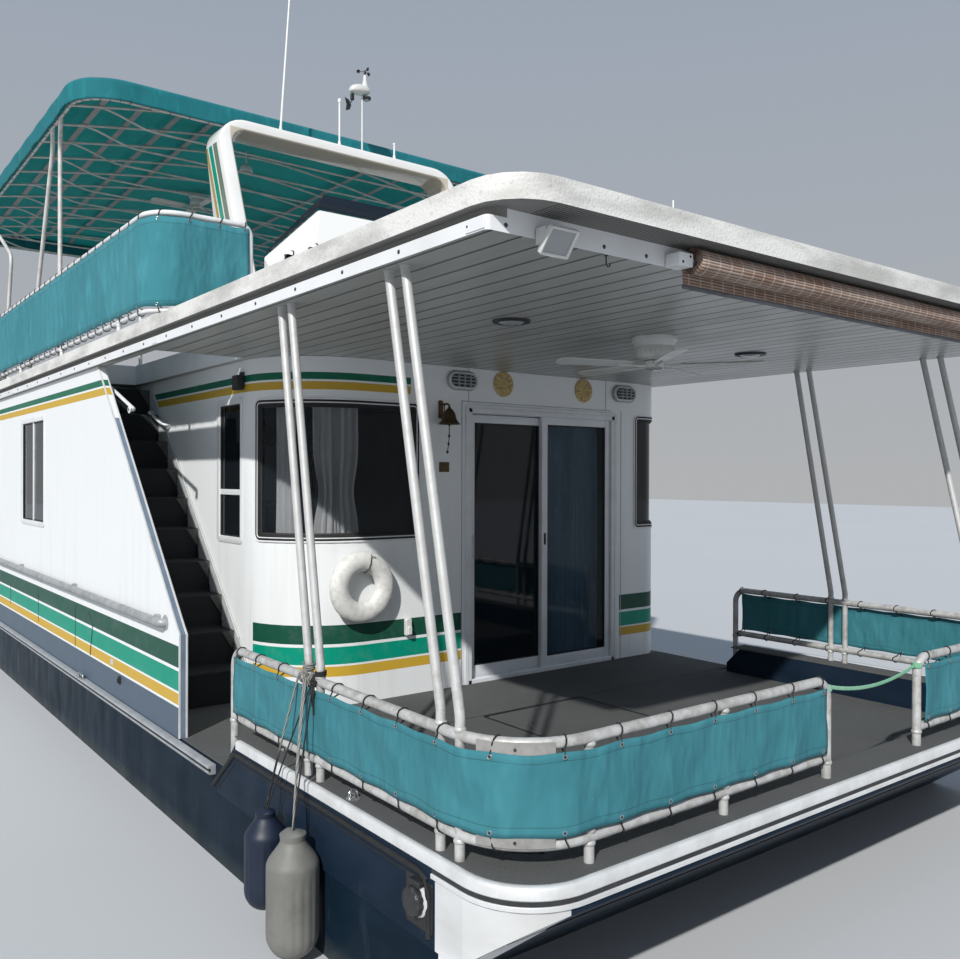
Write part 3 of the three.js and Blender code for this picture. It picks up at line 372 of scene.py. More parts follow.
def smooth_copy(name, node, body, finish, width=0.0, segments=3, choose=None):
    """A merged copy of a CAD solid with flat regions joined, smooth curved faces and a fine edge bevel.

    choose gives each face its place in the list of finishes from face centres and normals."""
    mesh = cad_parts[node].data.copy()
    mesh.name = name
    mesh.materials.clear()
    work = bmesh.new()
    work.from_mesh(mesh)
    bmesh.ops.remove_doubles(work, verts=work.verts, dist=2e-5)
    bmesh.ops.dissolve_limit(work, angle_limit=math.radians(0.6), verts=work.verts, edges=work.edges)
    work.to_mesh(mesh)
    work.free()
    for one in finish if isinstance(finish, (list, tuple)) else [finish]:
        mesh.materials.append(one)
    if choose:
        centres, normals = np.empty(len(mesh.polygons) * 3), np.empty(len(mesh.polygons) * 3)
        mesh.polygons.foreach_get("center", centres)
        mesh.polygons.foreach_get("normal", normals)
        marks = choose(centres.reshape(-1, 3), normals.reshape(-1, 3))
        mesh.polygons.foreach_set("material_index", np.asarray(marks).astype(int))
    mesh.polygons.foreach_set("use_smooth", [True] * len(mesh.polygons))
    mesh.set_sharp_from_angle(angle=FACET_ANGLE)
    made = bpy.data.objects.new(name, mesh)
    scene.collection.objects.link(made)
    if width:
        edge = made.modifiers.new("edge", "BEVEL")
        edge.width, edge.segments, edge.limit_method = width, segments, "ANGLE"
        edge.angle_limit = FACET_ANGLE
        edge.harden_normals = True
    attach(made, body)
    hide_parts(node)
    return made


# %% [markdown]
# ## Writing shader maths as plain sums
# A node tree is easier to read as a formula. Wire wraps one node output, and +, -, * and / on a wire
# add the Math node that does it. Paint is one material under construction: its node() method takes a
# node's type, its settings and its inputs, and everything else here is built from that one call.

# %% Shader wires
class Wire:
    """One shader value. Plain arithmetic on it adds Math nodes."""

    def __init__(self, paint, socket):
        self.paint, self.socket = paint, socket

    def sum(self, kind, other, swap=False):
        first, second = (other, self) if swap else (self, other)
        return self.paint.node("ShaderNodeMath", {"operation": kind}, {0: first, 1: second})

    def __add__(self, o): return self.sum("ADD", o)
    def __radd__(self, o): return self.sum("ADD", o, True)
    def __sub__(self, o): return self.sum("SUBTRACT", o)
    def __rsub__(self, o): return self.sum("SUBTRACT", o, True)
    def __mul__(self, o): return self.sum("MULTIPLY", o)
    def __rmul__(self, o): return self.sum("MULTIPLY", o, True)
    def __truediv__(self, o): return self.sum("DIVIDE", o)
    def __gt__(self, o): return self.sum("GREATER_THAN", o)
    def __lt__(self, o): return self.sum("LESS_THAN", o)
    def __abs__(self): return self.paint.node("ShaderNodeMath", {"operation": "ABSOLUTE"}, {0: self})
    def __pow__(self, o): return self.sum("POWER", o)
    def wave(self): return self.paint.node("ShaderNodeMath", {"operation": "SINE"}, {0: self})
    def repeat(self, period): return self.sum("FLOORED_MODULO", period)


class Paint:
    """A material being built from nodes."""

    def __init__(self, name):
        self.material = bpy.data.materials.new(name)
        self.material.use_nodes = True
        self.tree = self.material.node_tree
        self.shader = self.tree.nodes["Principled BSDF"]
        self.place = self.node("ShaderNodeTexCoord", out="Object")
        self.sheet = self.node("ShaderNodeTexCoord", out="UV")

    def node(self, kind, settings=(), inputs=(), out=0):
        made = self.tree.nodes.new(kind)
        for key, value in dict(settings).items():
            setattr(made, key, value)
        for key, value in dict(inputs).items():
            if isinstance(value, Wire):
                self.tree.links.new(value.socket, made.inputs[key])
            else:
                made.inputs[key].default_value = value
        return Wire(self, made.outputs[out])

    def split(self, vector):
        made = self.node("ShaderNodeSeparateXYZ", inputs={0: vector})
        return [Wire(self, s) for s in made.socket.node.outputs]

    def scaled(self, vector, factors):
        return self.node("ShaderNodeVectorMath", {"operation": "MULTIPLY"}, {0: vector, 1: factors})

    def noise(self, scale, detail=4.0, at=None, rough=0.55):
        return self.node("ShaderNodeTexNoise", inputs={"Vector": at or self.place, "Scale": scale,
                                                       "Detail": detail, "Roughness": rough})

    def cells(self, scale):
        return self.node("ShaderNodeTexVoronoi", inputs={"Vector": self.place, "Scale": scale},
                         out="Distance")

    def between(self, value, low, high):
        """The value spread from 0 at low to 1 at high, and held outside."""
        return self.node("ShaderNodeMapRange", {"clamp": True},
                         {"Value": value, "From Min": low, "From Max": high})

    def mix(self, share, a, b):
        """Colour a where share is 0 and colour b where it is 1."""
        made = self.node("ShaderNodeMix", {"data_type": "RGBA"}, {0: share}).socket.node
        for key, value in ((6, a), (7, b)):
            if isinstance(value, Wire):
                self.tree.links.new(value.socket, made.inputs[key])
            else:
                made.inputs[key].default_value = (*value[:3], 1)
        return Wire(self, made.outputs[2])

    def bump(self, height, strength=0.3, distance=0.002):
        normal = self.node("ShaderNodeBump", inputs={"Height": height, "Strength": strength,
                                                     "Distance": distance})
        self.tree.links.new(normal.socket, self.shader.inputs["Normal"])

    def done(self, **sockets):
        for key, value in sockets.items():
            key = key.replace("_", " ")
            if isinstance(value, Wire):
                self.tree.links.new(value.socket, self.shader.inputs[key])
            else:
                self.shader.inputs[key].default_value = (*value, 1) if isinstance(value, tuple) else value
        return self.material


# %% [markdown]
# ## Paints and metals
# White cabin paint carries the boat's bands. The bands are not a picture: each one is a height range,
# and a mask says on which walls it runs. The upper pair stops on the front wall, and the lower set
# stops beside the door, as on the real boat. Rain streaks and a little dust break up the white.

# %% Cabin paint with its bands
GREEN, GOLD = (0.006, 0.130, 0.072), (0.56, 0.355, 0.040)
TEAL, DARK_GREEN = (0.001, 0.270, 0.178), (0.009, 0.074, 0.046)
SLATE, WHITE = (0.078, 0.110, 0.150), (0.77, 0.785, 0.79)
UPPER_BANDS = [(2.157, 2.204, GREEN), (2.090, 2.143, GOLD)]
LOWER_BANDS = [(0.41, 0.535, DARK_GREEN), (0.275, 0.39, TEAL), (0.195, 0.262, GOLD)]
UPPER_END, LOWER_END, LOWER_RESTART, SIDE_START = -0.47, -0.03, 1.605, FRONT + 0.485


def banded_white(name):
    """White paint, with each band mixed in where its height range and its side mask are both 1."""
    p = Paint(name)
    x, y, z = p.split(p.place)
    upper = 1 - (y < SIDE_START) * (x > UPPER_END)
    beside_stair = (y > SIDE_START) * (x > -1.50) * (x < -1.38)
    lower = (1 - (y < FRONT + 0.02) * (x > LOWER_END) * (x < LOWER_RESTART)) * (1 - beside_stair)
    streak = p.noise(2.2, 5, p.scaled(p.place, (6, 6, 0.35)))
    grime = p.between(streak, 0.5, 0.8) * p.between(z, 3.4, 1.0) * 0.35
    color = p.mix(grime, WHITE, (0.50, 0.49, 0.45))
    scuffed = p.between(p.noise(11, 7, p.scaled(p.place, (1, 0.7, 1)), 0.65), 0.50, 0.72) * 0.42
    for bands, mask in ((UPPER_BANDS, upper), (LOWER_BANDS, lower)):
        for low, high, tint in bands:
            color = p.mix((z > DECK + low) * (z < DECK + high) * mask, color,
                          p.mix(scuffed, tint, tuple(c * 0.85 + 0.075 for c in tint)))
    side = (z < DECK + 0.18) * (abs(x) > 2.10)
    color = p.mix(side, color, SLATE)
    peel = p.noise(55, 3)
    p.bump(peel, 0.05, 0.0006)
    return p.done(Base_Color=color, Roughness=p.between(p.noise(4, 4), 0, 1) * 0.12 + 0.38,
                  Specular_IOR_Level=0.20)


cabin_white = banded_white("cabin_paint")

# %% [markdown]
# The hull is a dark navy gloss that has gone chalky, in lighter cloudy patches that also stand as painted
# reflection, with a faint waterline stain. The raised bow edge uses a bluer coat of the same kind.

# %% Hull paints
def navy_gloss(name, tint, worn, stain=True):
    """Two blues mixed by a cloudy noise, whose lighter patches are chalky wear and painted reflection in one,
    plus a paler stain that fades out above the waterline.

    The round corners of the bow are left in pale bare metal, which a mask on x and y finds."""
    p = Paint(name)
    x, y, z = p.split(p.place)
    cloud = p.noise(1.6, 6, p.scaled(p.place, (1, 1, 2.5)))
    # The lighter cloudy patches are chalky wear and painted reflection of the water in one.
    color = p.mix(p.between(cloud, 0.35, 0.75), tint, worn)
    scuffs = p.noise(5, 6, p.scaled(p.place, (1.5, 1.5, 0.35)))
    color = p.mix(p.between(scuffs, 0.66, 0.78) * 0.3, color, (0.055, 0.070, 0.088))
    if stain:
        line = p.between(z, WATERLINE + 0.10, WATERLINE + 0.01) * p.between(p.noise(5, 5), 0.2, 0.8)
        color = p.mix(line * 0.4, color, (0.12, 0.125, 0.10))
    corner = (abs(x) > 1.90) * (y < front(-2.70))
    color = p.mix(corner, color, p.mix(p.between(cloud, 0.35, 0.75), (0.70, 0.71, 0.72), (0.50, 0.50, 0.49)))
    p.bump(cloud, 0.06, 0.002)
    return p.done(Base_Color=color, Roughness=p.between(scuffs, 0.3, 0.8) * 0.3 + 0.24 + corner * 0.15,
                  Specular_IOR_Level=0.04)


hull_navy = navy_gloss("hull_paint", (0.004, 0.012, 0.022), (0.012, 0.023, 0.038))
bulwark_blue = navy_gloss("bulwark_paint", (0.006, 0.014, 0.026), (0.017, 0.029, 0.050), stain=False)


def satin_metal(name, tint, dark, roughness, metallic=0.85, scale=9.0, clean_above=None):
    """Weathered tube or strip: two greys mixed by noise, rougher in the dark patches, with fine scratches.

    Above the height clean_above, out of reach of wet feet and ropes, the patches are a third as strong."""
    p = Paint(name)
    patchy = p.noise(scale, 7, rough=0.65)
    fine = p.noise(160, 2)
    worn = p.between(patchy, 0.42, 0.78)
    if clean_above:
        worn = worn * (1 - p.between(p.split(p.place)[2], clean_above - 0.15, clean_above + 0.15) * 0.68)
    color = p.mix(worn, tint, dark)
    p.bump(fine, 0.12, 0.0005)
    return p.done(Base_Color=color, Roughness=p.between(patchy, 0.2, 0.9) * 0.25 + roughness,
                  Metallic=metallic)


rail_metal = satin_metal("rail_tube", (0.55, 0.55, 0.54), (0.25, 0.23, 0.20), 0.42, 0.25, 17,
                         clean_above=DECK + 0.85)
white_tube = satin_metal("white_tube", (0.80, 0.81, 0.81), (0.55, 0.54, 0.51), 0.32, 0.1)
canopy_tube = satin_metal("canopy_tube", (0.66, 0.65, 0.63), (0.40, 0.37, 0.34), 0.42, 0.15)
strip_metal = satin_metal("edge_strip", (0.76, 0.77, 0.77), (0.56, 0.55, 0.53), 0.36, 0.3, 6)
grey_pipe = satin_metal("grey_pipe", (0.40, 0.41, 0.41), (0.22, 0.23, 0.235), 0.42, 0.3)
dark_metal = satin_metal("dark_metal", (0.05, 0.052, 0.055), (0.09, 0.09, 0.09), 0.4, 0.6)
bare_plate = satin_metal("bare_plate", (0.35, 0.34, 0.325), (0.23, 0.22, 0.205), 0.5, 0.35, 20)
steel = satin_metal("bare_steel", (0.58, 0.59, 0.60), (0.35, 0.35, 0.35), 0.22, 0.95)
old_bronze = satin_metal("old_bronze", (0.10, 0.068, 0.035), (0.045, 0.035, 0.022), 0.42, 0.8)


def moulded(name, tint, worn, roughness=0.3, scale=5.0, bump=0.04, coat=0.0):
    """Moulded plastic or painted fibre: a base tint with broad worn patches and a fine moulding grain."""
    p = Paint(name)
    patchy = p.noise(scale, 6)
    color = p.mix(p.between(patchy, 0.45, 0.8) * 0.7, tint, worn)
    p.bump(p.noise(70.0, 3), bump, 0.0008)
    return p.done(Base_Color=color, Roughness=p.between(patchy, 0.2, 0.9) * 0.15 + roughness,
                  Coat_Weight=coat)


fan_white = moulded("white_plastic", (0.66, 0.66, 0.64), (0.52, 0.51, 0.48))
ring_white = moulded("ring_vinyl", (0.72, 0.715, 0.69), (0.40, 0.385, 0.35), 0.5, 26, 0.3)
black_plastic = moulded("black_plastic", (0.012, 0.012, 0.013), (0.03, 0.03, 0.03), 0.4)
lamp_grey = moulded("lamp_grey", (0.55, 0.56, 0.57), (0.40, 0.40, 0.40), 0.35)
fender_pale = moulded("fender_pale", (0.17, 0.17, 0.155), (0.08, 0.08, 0.07), 0.5, 7, 0.1)
fender_blue = moulded("fender_blue", (0.006, 0.012, 0.030), (0.014, 0.024, 0.050), 0.45, 9, 0.1)
drive_dark = moulded("drive_paint", (0.014, 0.015, 0.017), (0.035, 0.035, 0.037), 0.32, 6, 0.05, 0.2)
black_rubber = moulded("black_rubber", (0.010, 0.010, 0.011), (0.025, 0.025, 0.026), 0.6, 20)

# %% [markdown]
# The roof edge is a cream coat with a coarse pebbled grain and grey rain marks; the arch and the helm
# fairing are a smooth gel coat. The arch carries three slanted bands on its outer faces only, which a
# mask on x finds. The carpet is short dark pile: cells make the tufts and a broad noise the sun fade.

# %% Roof, arch and carpet
def pebbled(name):
    """Cream coat: cells for the pebbled grain, noise stretched along the boat for the rain marks."""
    p = Paint(name)
    x, y, z = p.split(p.place)
    grain = p.cells(90)
    stain = p.noise(2.4, 7, p.scaled(p.place, (1, 1, 3)))
    dark = p.between(stain, 0.44, 0.66) * 0.85
    color = p.mix(dark, (0.73, 0.72, 0.69), (0.42, 0.415, 0.39))
    specks = p.between(p.noise(60, 3), 0.56, 0.7) * 0.35
    color = p.mix(specks, color, (0.30, 0.30, 0.28))
    p.bump(grain, 0.35, 0.0035)
    return p.done(Base_Color=color, Roughness=dark * 0.2 + 0.55)


roof_cream = pebbled("roof_coat")


def gel_white(name, banded=False):
    """Smooth coat with a little dust; banded adds three bands on the arch's outer faces and a tan inside, a
    cream tone darkened as painted shade.
    """
    p = Paint(name)
    x, y, z = p.split(p.place)
    dust = p.between(p.noise(1.8, 6), 0.5, 0.8) * 0.3
    color = p.mix(dust, (0.82, 0.815, 0.79), (0.60, 0.58, 0.53))
    if banded:
        # Distance aft of the arch's slanted front edge, as a share of the leg's width at that height.
        height = z - ROOF
        lead = y - (front(1.0) + height * 0.408)
        outside = (abs(x) > 1.160) * (z < DECK + 4.20)
        for start, end, tint in ((0.075, 0.155, (0.16, 0.20, 0.15)), (0.175, 0.245, (0.006, 0.30, 0.19)),
                                 (0.265, 0.31, (0.46, 0.33, 0.10))):
            color = p.mix((lead > start) * (lead < end) * outside, color, tint)
        # The arch's inner faces take a tan that is partly their cream tone and partly painted shade.
        inside = (abs(x) < 1.075) * (z < DECK + 4.34)
        color = p.mix(inside * 0.85, color, (0.50, 0.44, 0.34))
    p.bump(p.noise(12, 2), 0.03, 0.001)
    return p.done(Base_Color=color, Roughness=dust * 0.3 + 0.16, Coat_Weight=0.4)


arch_white = gel_white("gel_coat")
arch_banded = gel_white("gel_coat_banded", True)


def pile(name, tint, pale, scale=420.0):
    """Short pile: cells make the tufts, a broad noise fades it and a fine one flecks it."""
    p = Paint(name)
    tufts = p.cells(scale)
    fade = p.noise(1.3, 5)
    fleck = p.noise(230, 3)
    color = p.mix(p.between(fade, 0.3, 0.75), tint, pale)
    color = p.mix(p.between(fleck, 0.5, 0.75) * 0.5, color, tuple(min(c * 2.6, 1) for c in pale))
    p.bump(tufts + fleck * 0.6, 0.6, 0.003)
    return p.done(Base_Color=color, Roughness=0.95)


carpet = pile("deck_carpet", (0.058, 0.061, 0.061), (0.092, 0.095, 0.094))
stair_carpet = pile("stair_carpet", (0.006, 0.008, 0.0095), (0.013, 0.0155, 0.0175))


def planked(name):
    """White ceiling boards that run fore and aft: a thin dark joint at every board width."""
    p = Paint(name)
    x, y, z = p.split(p.place)
    board = (x + 20).repeat(0.125)
    joint = p.between(abs(board - 0.0625), 0.0520, 0.0600)
    tone = p.noise(1.1, 5, p.scaled(p.place, (6, 0.6, 1)))
    color = p.mix(p.between(tone, 0.4, 0.8) * 0.5, (0.40, 0.40, 0.375), (0.28, 0.28, 0.255))
    p.bump(joint * -1.0, 0.6, 0.004)
    return p.done(Base_Color=p.mix(joint * 0.92, color, (0.025, 0.025, 0.025)),
                  Roughness=p.between(tone, 0.2, 0.9) * 0.15 + 0.26)


plank_white = planked("ceiling_boards")

# %% [markdown]
# ## Cloth, rope, glass and weave
# Threads and hems are drawn on the piece's own UV map in metres, so they follow the surface; fading and
# creases come from noise in place, and the creases' ridges are painted lighter as a painted highlight. The
# rail cloth is a faded teal, and the canopy a brighter one.
# A rope is laid strands: slanted lines on the UV map, painted darker between the strands as painted shade.
# Panes are nearly black, glossy and partly clear, so that the curtains behind them show.

# %% Cloth, rope and glass
def cloth(name, tint, faded, thread=900.0, hem=None, border=None, folds_and_highlights=1.0):
    """Cross-woven threads as two sine waves on the UV map, over broad fading and soft creases that lean over;
    the creases' ridges are painted lighter, a painted highlight.

    A stitched hem line is drawn if its height is given, and a border of another tint beyond 8 along v."""
    p = Paint(name)
    u, v, _ = p.split(p.sheet)
    weave = (u * thread).wave() * (v * thread).wave()
    fade = p.noise(1.4, 5)
    crease_and_highlight = p.noise(6, 4, p.scaled(p.place, (1, 1, 0.4)))
    leaning = p.node("ShaderNodeVectorRotate", {"rotation_type": "X_AXIS"},
                     {0: p.scaled(p.place, (2.2, 2.2, 0.8)), "Angle": 0.7})
    leaning_fold_and_highlight = p.noise(4.2, 2, leaning)
    color = p.mix(p.between(fade, 0.3, 0.75), tint, faded)
    # Painted highlight: the crease ridges, which the bump also raises, are mixed towards a lighter tint.
    color = p.mix(p.between(crease_and_highlight, 0.55, 0.85) * (0.3 * folds_and_highlights), color,
                  tuple(min(c * 1.5 + 0.01, 1) for c in faded))
    if hem:
        edge = p.node("ShaderNodeMath", {"operation": "MINIMUM"}, {0: v, 1: hem - v})
        stitch = (edge > 0.0345) * (edge < 0.0375)
        color = p.mix(stitch * 0.7, color, tuple(c * 0.35 for c in tint))
    if border:
        pale = tuple(c * 1.2 for c in border)
        color = p.mix(v > 8.0, color, p.mix(p.between(fade, 0.3, 0.75), border, pale))
    # Painted highlight along the ridges of the leaning folds as well.
    color = p.mix(p.between(leaning_fold_and_highlight, 0.56, 0.74) * (0.30 * folds_and_highlights), color,
                  tuple(min(c * 1.5 + 0.02, 1) for c in faded))
    p.bump(weave * 0.08 + crease_and_highlight * folds_and_highlights + leaning_fold_and_highlight * (3.0 * folds_and_highlights), 0.7, 0.014)
    return p.done(Base_Color=color, Roughness=0.8)


rail_cloth = cloth("rail_cloth", (0.024, 0.168, 0.205), (0.044, 0.222, 0.262), hem=0.292)
upper_cloth = cloth("upper_cloth", (0.027, 0.196, 0.236), (0.048, 0.250, 0.298), hem=0.57)
canopy_cloth = cloth("canopy_cloth", (0.001, 0.360, 0.345), (0.004, 0.430, 0.410), 700,
                     border=(0.0, 0.140, 0.165), folds_and_highlights=0.4)
curtain_white = cloth("curtain_white", (0.86, 0.87, 0.88), (0.74, 0.76, 0.79), 1200)
curtain_blue = cloth("curtain_blue", (0.22, 0.38, 0.52), (0.32, 0.50, 0.66), 1200)
strap_green = cloth("strap_cloth", (0.20, 0.48, 0.30), (0.30, 0.56, 0.40), 2400)


def laid_rope(name, tint, dark, black_below=0.0):
    """Slanted strands from the UV map, darker in the grooves between them as painted shade; below the given
    height the rope is blackened.
    """
    p = Paint(name)
    u, v, _ = p.split(p.sheet)
    strand_and_shade = (u * 110.0 + v * 18.85).wave()
    # Painted shade: the grooves between the strands, which the bump sinks, take the dark tint.
    color = p.mix(p.between(strand_and_shade, -0.6, 0.9), dark, tint)
    if black_below:
        z = p.split(p.place)[2]
        color = p.mix(p.between(z, black_below + 0.08, black_below), color, (0.012, 0.012, 0.013))
    color = p.mix(p.between(p.noise(40, 3), 0.5, 0.8) * 0.5, color, dark)
    p.bump(strand_and_shade, 0.6, 0.002)
    return p.done(Base_Color=color, Roughness=0.85)


black_rope = laid_rope("black_rope", (0.035, 0.035, 0.037), (0.008, 0.008, 0.009))
grey_rope = laid_rope("grey_rope", (0.34, 0.34, 0.32), (0.14, 0.14, 0.13))
dipped_rope = laid_rope("dipped_rope", (0.34, 0.34, 0.32), (0.14, 0.14, 0.13), black_below=DECK + 0.27)


def pane(name, tint, alpha):
    """A glossy sheet, a little smeared, that lets the share 1 - alpha of what is behind it show."""
    p = Paint(name)
    smear = p.noise(3, 4)
    return p.done(Base_Color=p.mix(p.between(smear, 0.4, 0.8) * 0.3, tint, tuple(c + 0.004 for c in tint)),
                  Roughness=p.between(smear, 0.3, 0.9) * 0.05 + 0.02, Alpha=alpha, Specular_IOR_Level=0.35)


dark_glass = pane("dark_glass", (0.018, 0.026, 0.032), 0.26)
side_glass = pane("side_glass", (0.010, 0.013, 0.016), 0.90)
door_glass = pane("door_glass", (0.008, 0.018, 0.028), 0.28)
# The sliding leaf's pane is the same glass, made nearly opaque and dark as painted shade, so the bright
# windows beyond do not show through it.
door_glass_painted_shade = pane("door_glass_painted_shade", (0.006, 0.010, 0.014), 0.90)
smoked = pane("smoked_sheet", (0.010, 0.016, 0.026), 0.86)
lens = pane("lamp_lens", (0.34, 0.35, 0.36), 1.0)


def basket(name):
    """Woven shade: thin pale slats across, tied by brown threads along, both from the UV map."""
    p = Paint(name)
    u, v, _ = p.split(p.sheet)
    slat = (v * 520).wave()
    tie = (u * 90).wave()
    patchy = p.noise(9, 5, p.scaled(p.place, (0.4, 3, 3)))
    color = p.mix(p.between(patchy, 0.35, 0.7), (0.44, 0.35, 0.29), (0.26, 0.15, 0.10))
    color = p.mix(p.between(slat, -0.95, -0.35), (0.13, 0.065, 0.04), color)
    color = p.mix(p.between(tie, 0.90, 0.99) * 0.7, color, (0.55, 0.47, 0.42))
    p.bump(slat + tie * 0.3, 0.5, 0.002)
    return p.done(Base_Color=color, Roughness=0.8)


shade_weave = basket("shade_weave")
print("materials made:", len(bpy.data.materials))

# %% [markdown]
# ## Floor and light
# The floor is a wide pale sheet at the waterline. One sun with crisp shadows stands 37 degrees up, off
# the starboard bow, as on the day of the picture, and a pale sky fills the shade. The floor hides the
# part of the hull that floats below it.

# %% Floor and light
def plain(name, tint, roughness):
    """A dull tint with faint broad clouds."""
    p = Paint(name)
    cloud = p.noise(0.25, 3)
    return p.done(Base_Color=p.mix(p.between(cloud, 0.3, 0.7) * 0.35, tint, tuple(c * 0.93 for c in tint)),
                  Roughness=p.between(cloud, 0, 1) * 0.1 + roughness)


FLOOR_HALF = 60
HORIZON, ZENITH, SKY_STRENGTH = (0.80, 0.82, 0.84, 1), (0.48, 0.62, 0.84, 1), 0.54
SUN_STRENGTH, SUN_WIDTH, SUN_TINT = 3.95, math.radians(1.1), (1.0, 0.985, 0.955)
SUN_FROM = (-0.64, -0.48, 0.60)

floor_mesh = bpy.data.meshes.new("floor")
corners = [(x * FLOOR_HALF, y * FLOOR_HALF, WATERLINE) for x, y in ((-1, -1), (1, -1), (1, 1), (-1, 1))]
floor_mesh.from_pydata(corners, [], [(0, 1, 2, 3)])
floor_mesh.materials.append(plain("floor", (0.50, 0.51, 0.52), 0.9))
floor = bpy.data.objects.new("floor", floor_mesh)
scene.collection.objects.link(floor)

world = bpy.data.worlds.new("sky")
world.use_nodes = True
sky = world.node_tree
background = sky.nodes["Background"]
up = sky.nodes.new("ShaderNodeTexCoord")
parts = sky.nodes.new("ShaderNodeSeparateXYZ")
fade = sky.nodes.new("ShaderNodeValToRGB")
sky.links.new(up.outputs["Generated"], parts.inputs[0])
sky.links.new(parts.outputs["Z"], fade.inputs[0])
sky.links.new(fade.outputs[0], background.inputs["Color"])
for stop, place, tint in zip(fade.color_ramp.elements, (0.0, 0.8), (HORIZON, ZENITH)):
    stop.position, stop.color = place, tint
background.inputs["Strength"].default_value = SKY_STRENGTH
scene.world = world
scene.view_settings.view_transform = "Standard"

sun = bpy.data.lights.new("sun", "SUN")
sun.energy, sun.angle, sun.color = SUN_STRENGTH, SUN_WIDTH, SUN_TINT
lamp = bpy.data.objects.new("sun", sun)
scene.collection.objects.link(lamp)
toward = np.array(SUN_FROM)
toward /= np.linalg.norm(toward)
side = np.cross([0, 0, 1.0], toward)
side /= np.linalg.norm(side)
turn = np.eye(4)
turn[:3, 0], turn[:3, 1], turn[:3, 2] = side, np.cross(toward, side), toward
lamp.matrix_world = Matrix(turn.tolist())
print("sun height in degrees:", round(math.degrees(math.asin(toward[2]))))

# %% [markdown]
# ## Hull, raised bow edge and decks
# The hull and the raised edge are smooth copies of their solids with a fine bevel. Over the edge lies a
# carpet band, and along its outer rim an aluminium angle; across the bow a dark channel and a thin white
# strip run below it. A black gasket outlines the navy side panel, which ends in a slant by the cabin.

# %% Hull and bow edge
smooth_copy("hull_shell", "hull", "boat", hull_navy, 0.008)
smooth_copy("bow_edge", "bow_bulwark", "boat", bulwark_blue, 0.006)
edge_path = evenly(bend([(-2.12, front(-0.85), 0), (-2.12, BOW, 0, 0.27), (2.12, BOW, 0, 0.27),
                         (2.12, front(-0.85), 0)], 14), 0.03)


def edge_band(y_end, profile, finish=0):
    """A profile of (outward, height) carried round the bow, as far aft as y_end on each side."""
    kept = edge_path[edge_path[:, 1] < front(y_end)]
    return framed(*sideways(kept), profile, "z", finish, closed=False)


def box_profile(out0, out1, z0, z1, soft=0.003):
    """A small rectangle with cut corners, as a profile."""
    return [(out0 + soft, z0), (out1 - soft, z0), (out1, z0 + soft), (out1, z1 - soft), (out1 - soft, z1),
            (out0 + soft, z1), (out0, z1 - soft), (out0, z0 + soft)]


top = BULWARK_TOP
piece("bow_edge_carpet", edge_band(-0.875, box_profile(-0.192, -0.011, top, top + 0.006)),
      "boat", carpet)
angle = [(-0.009, top), (-0.009, top + 0.006), (-0.004, top + 0.009), (0.010, top + 0.010),
         (0.018, top + 0.007), (0.0225, top), (0.0225, top - 0.032), (0.019, top - 0.036),
         (0.0153, top - 0.036), (0.0153, top)]
piece("bow_edge_angle", [edge_band(-0.965, angle)], "boat", strip_metal)
piece("bow_lower_strip", [edge_band(-2.68, box_profile(0.0153, 0.0185, top - 0.054, top - 0.037, 0.001), 1),
                          edge_band(-2.66, box_profile(0.0153, 0.0235, top - 0.072, top - 0.054, 0.002))],
      "boat", [strip_metal, dark_metal])


def panel_gasket(side):
    """The black bead around the recessed side panel: along the top, down both ends."""
    x = side * 2.1355
    line = bend([spot(x, -0.668, -0.10), spot(x, -0.945, 0.128, 0.05),
                 spot(x, -2.655, 0.118, 0.05), spot(x, -2.665, -0.10)], 6)
    inner = bend([spot(x, -0.726, -0.10), spot(x, -0.968, 0.098, 0.04),
                  spot(x, -2.618, 0.088, 0.04), spot(x, -2.628, -0.10)], 6)
    return [tube(evenly(line, 0.05), 0.0125, 12), tube(evenly(inner, 0.05), 0.0035, 8)]


piece("panel_gasket_stbd", panel_gasket(-1), "boat", black_rubber)
piece("panel_gasket_port", panel_gasket(1), "boat", black_rubber)

# %% [markdown]
# The rub strip is an aluminium extrusion with a black insert. The deck carpet is laid in lengths that
# butt around the hatch, with the same pile on the lid, and a thin metal frame shows around it.

# %% Rub strip, carpets, hatch and swim platform
side_line = evenly(bend([(2.12, front(-0.662), 0), (2.12, TRANSOM, 0, 0.08), (-2.12, TRANSOM, 0, 0.08),
                         (-2.12, front(-0.662), 0)], 8), 0.1)
edge_silver = satin_metal("deck_edge_silver", (0.48, 0.50, 0.52), (0.32, 0.335, 0.35), 0.38, 0.45, 7)
flat, outward = sideways(side_line)
rub = [(0.002, -0.050), (0.030, -0.050), (0.041, -0.045), (0.045, -0.036), (0.037, -0.031), (0.037, -0.019),
       (0.045, -0.014), (0.041, -0.005), (0.030, 0.0), (0.002, 0.0)]
insert = box_profile(0.030, 0.0395, DECK - 0.0335, DECK - 0.0165, 0.002)
piece("rub_strip", [framed(flat, outward, [(a, DECK + b) for a, b in rub], "z", closed=False),
                    framed(flat, outward, insert, "z", 1, closed=False)],
      "boat", [edge_silver, black_rubber], ["rub_rail"])


def laid_carpet(x0, x1, y0, y1, r=0.002):
    """A length of carpet, 6 mm high, on the deck."""
    points, normals = rounded(x0, x1, y0, y1, r, 6)
    return raised(points, normals, DECK, DECK + 0.006, 0.002)


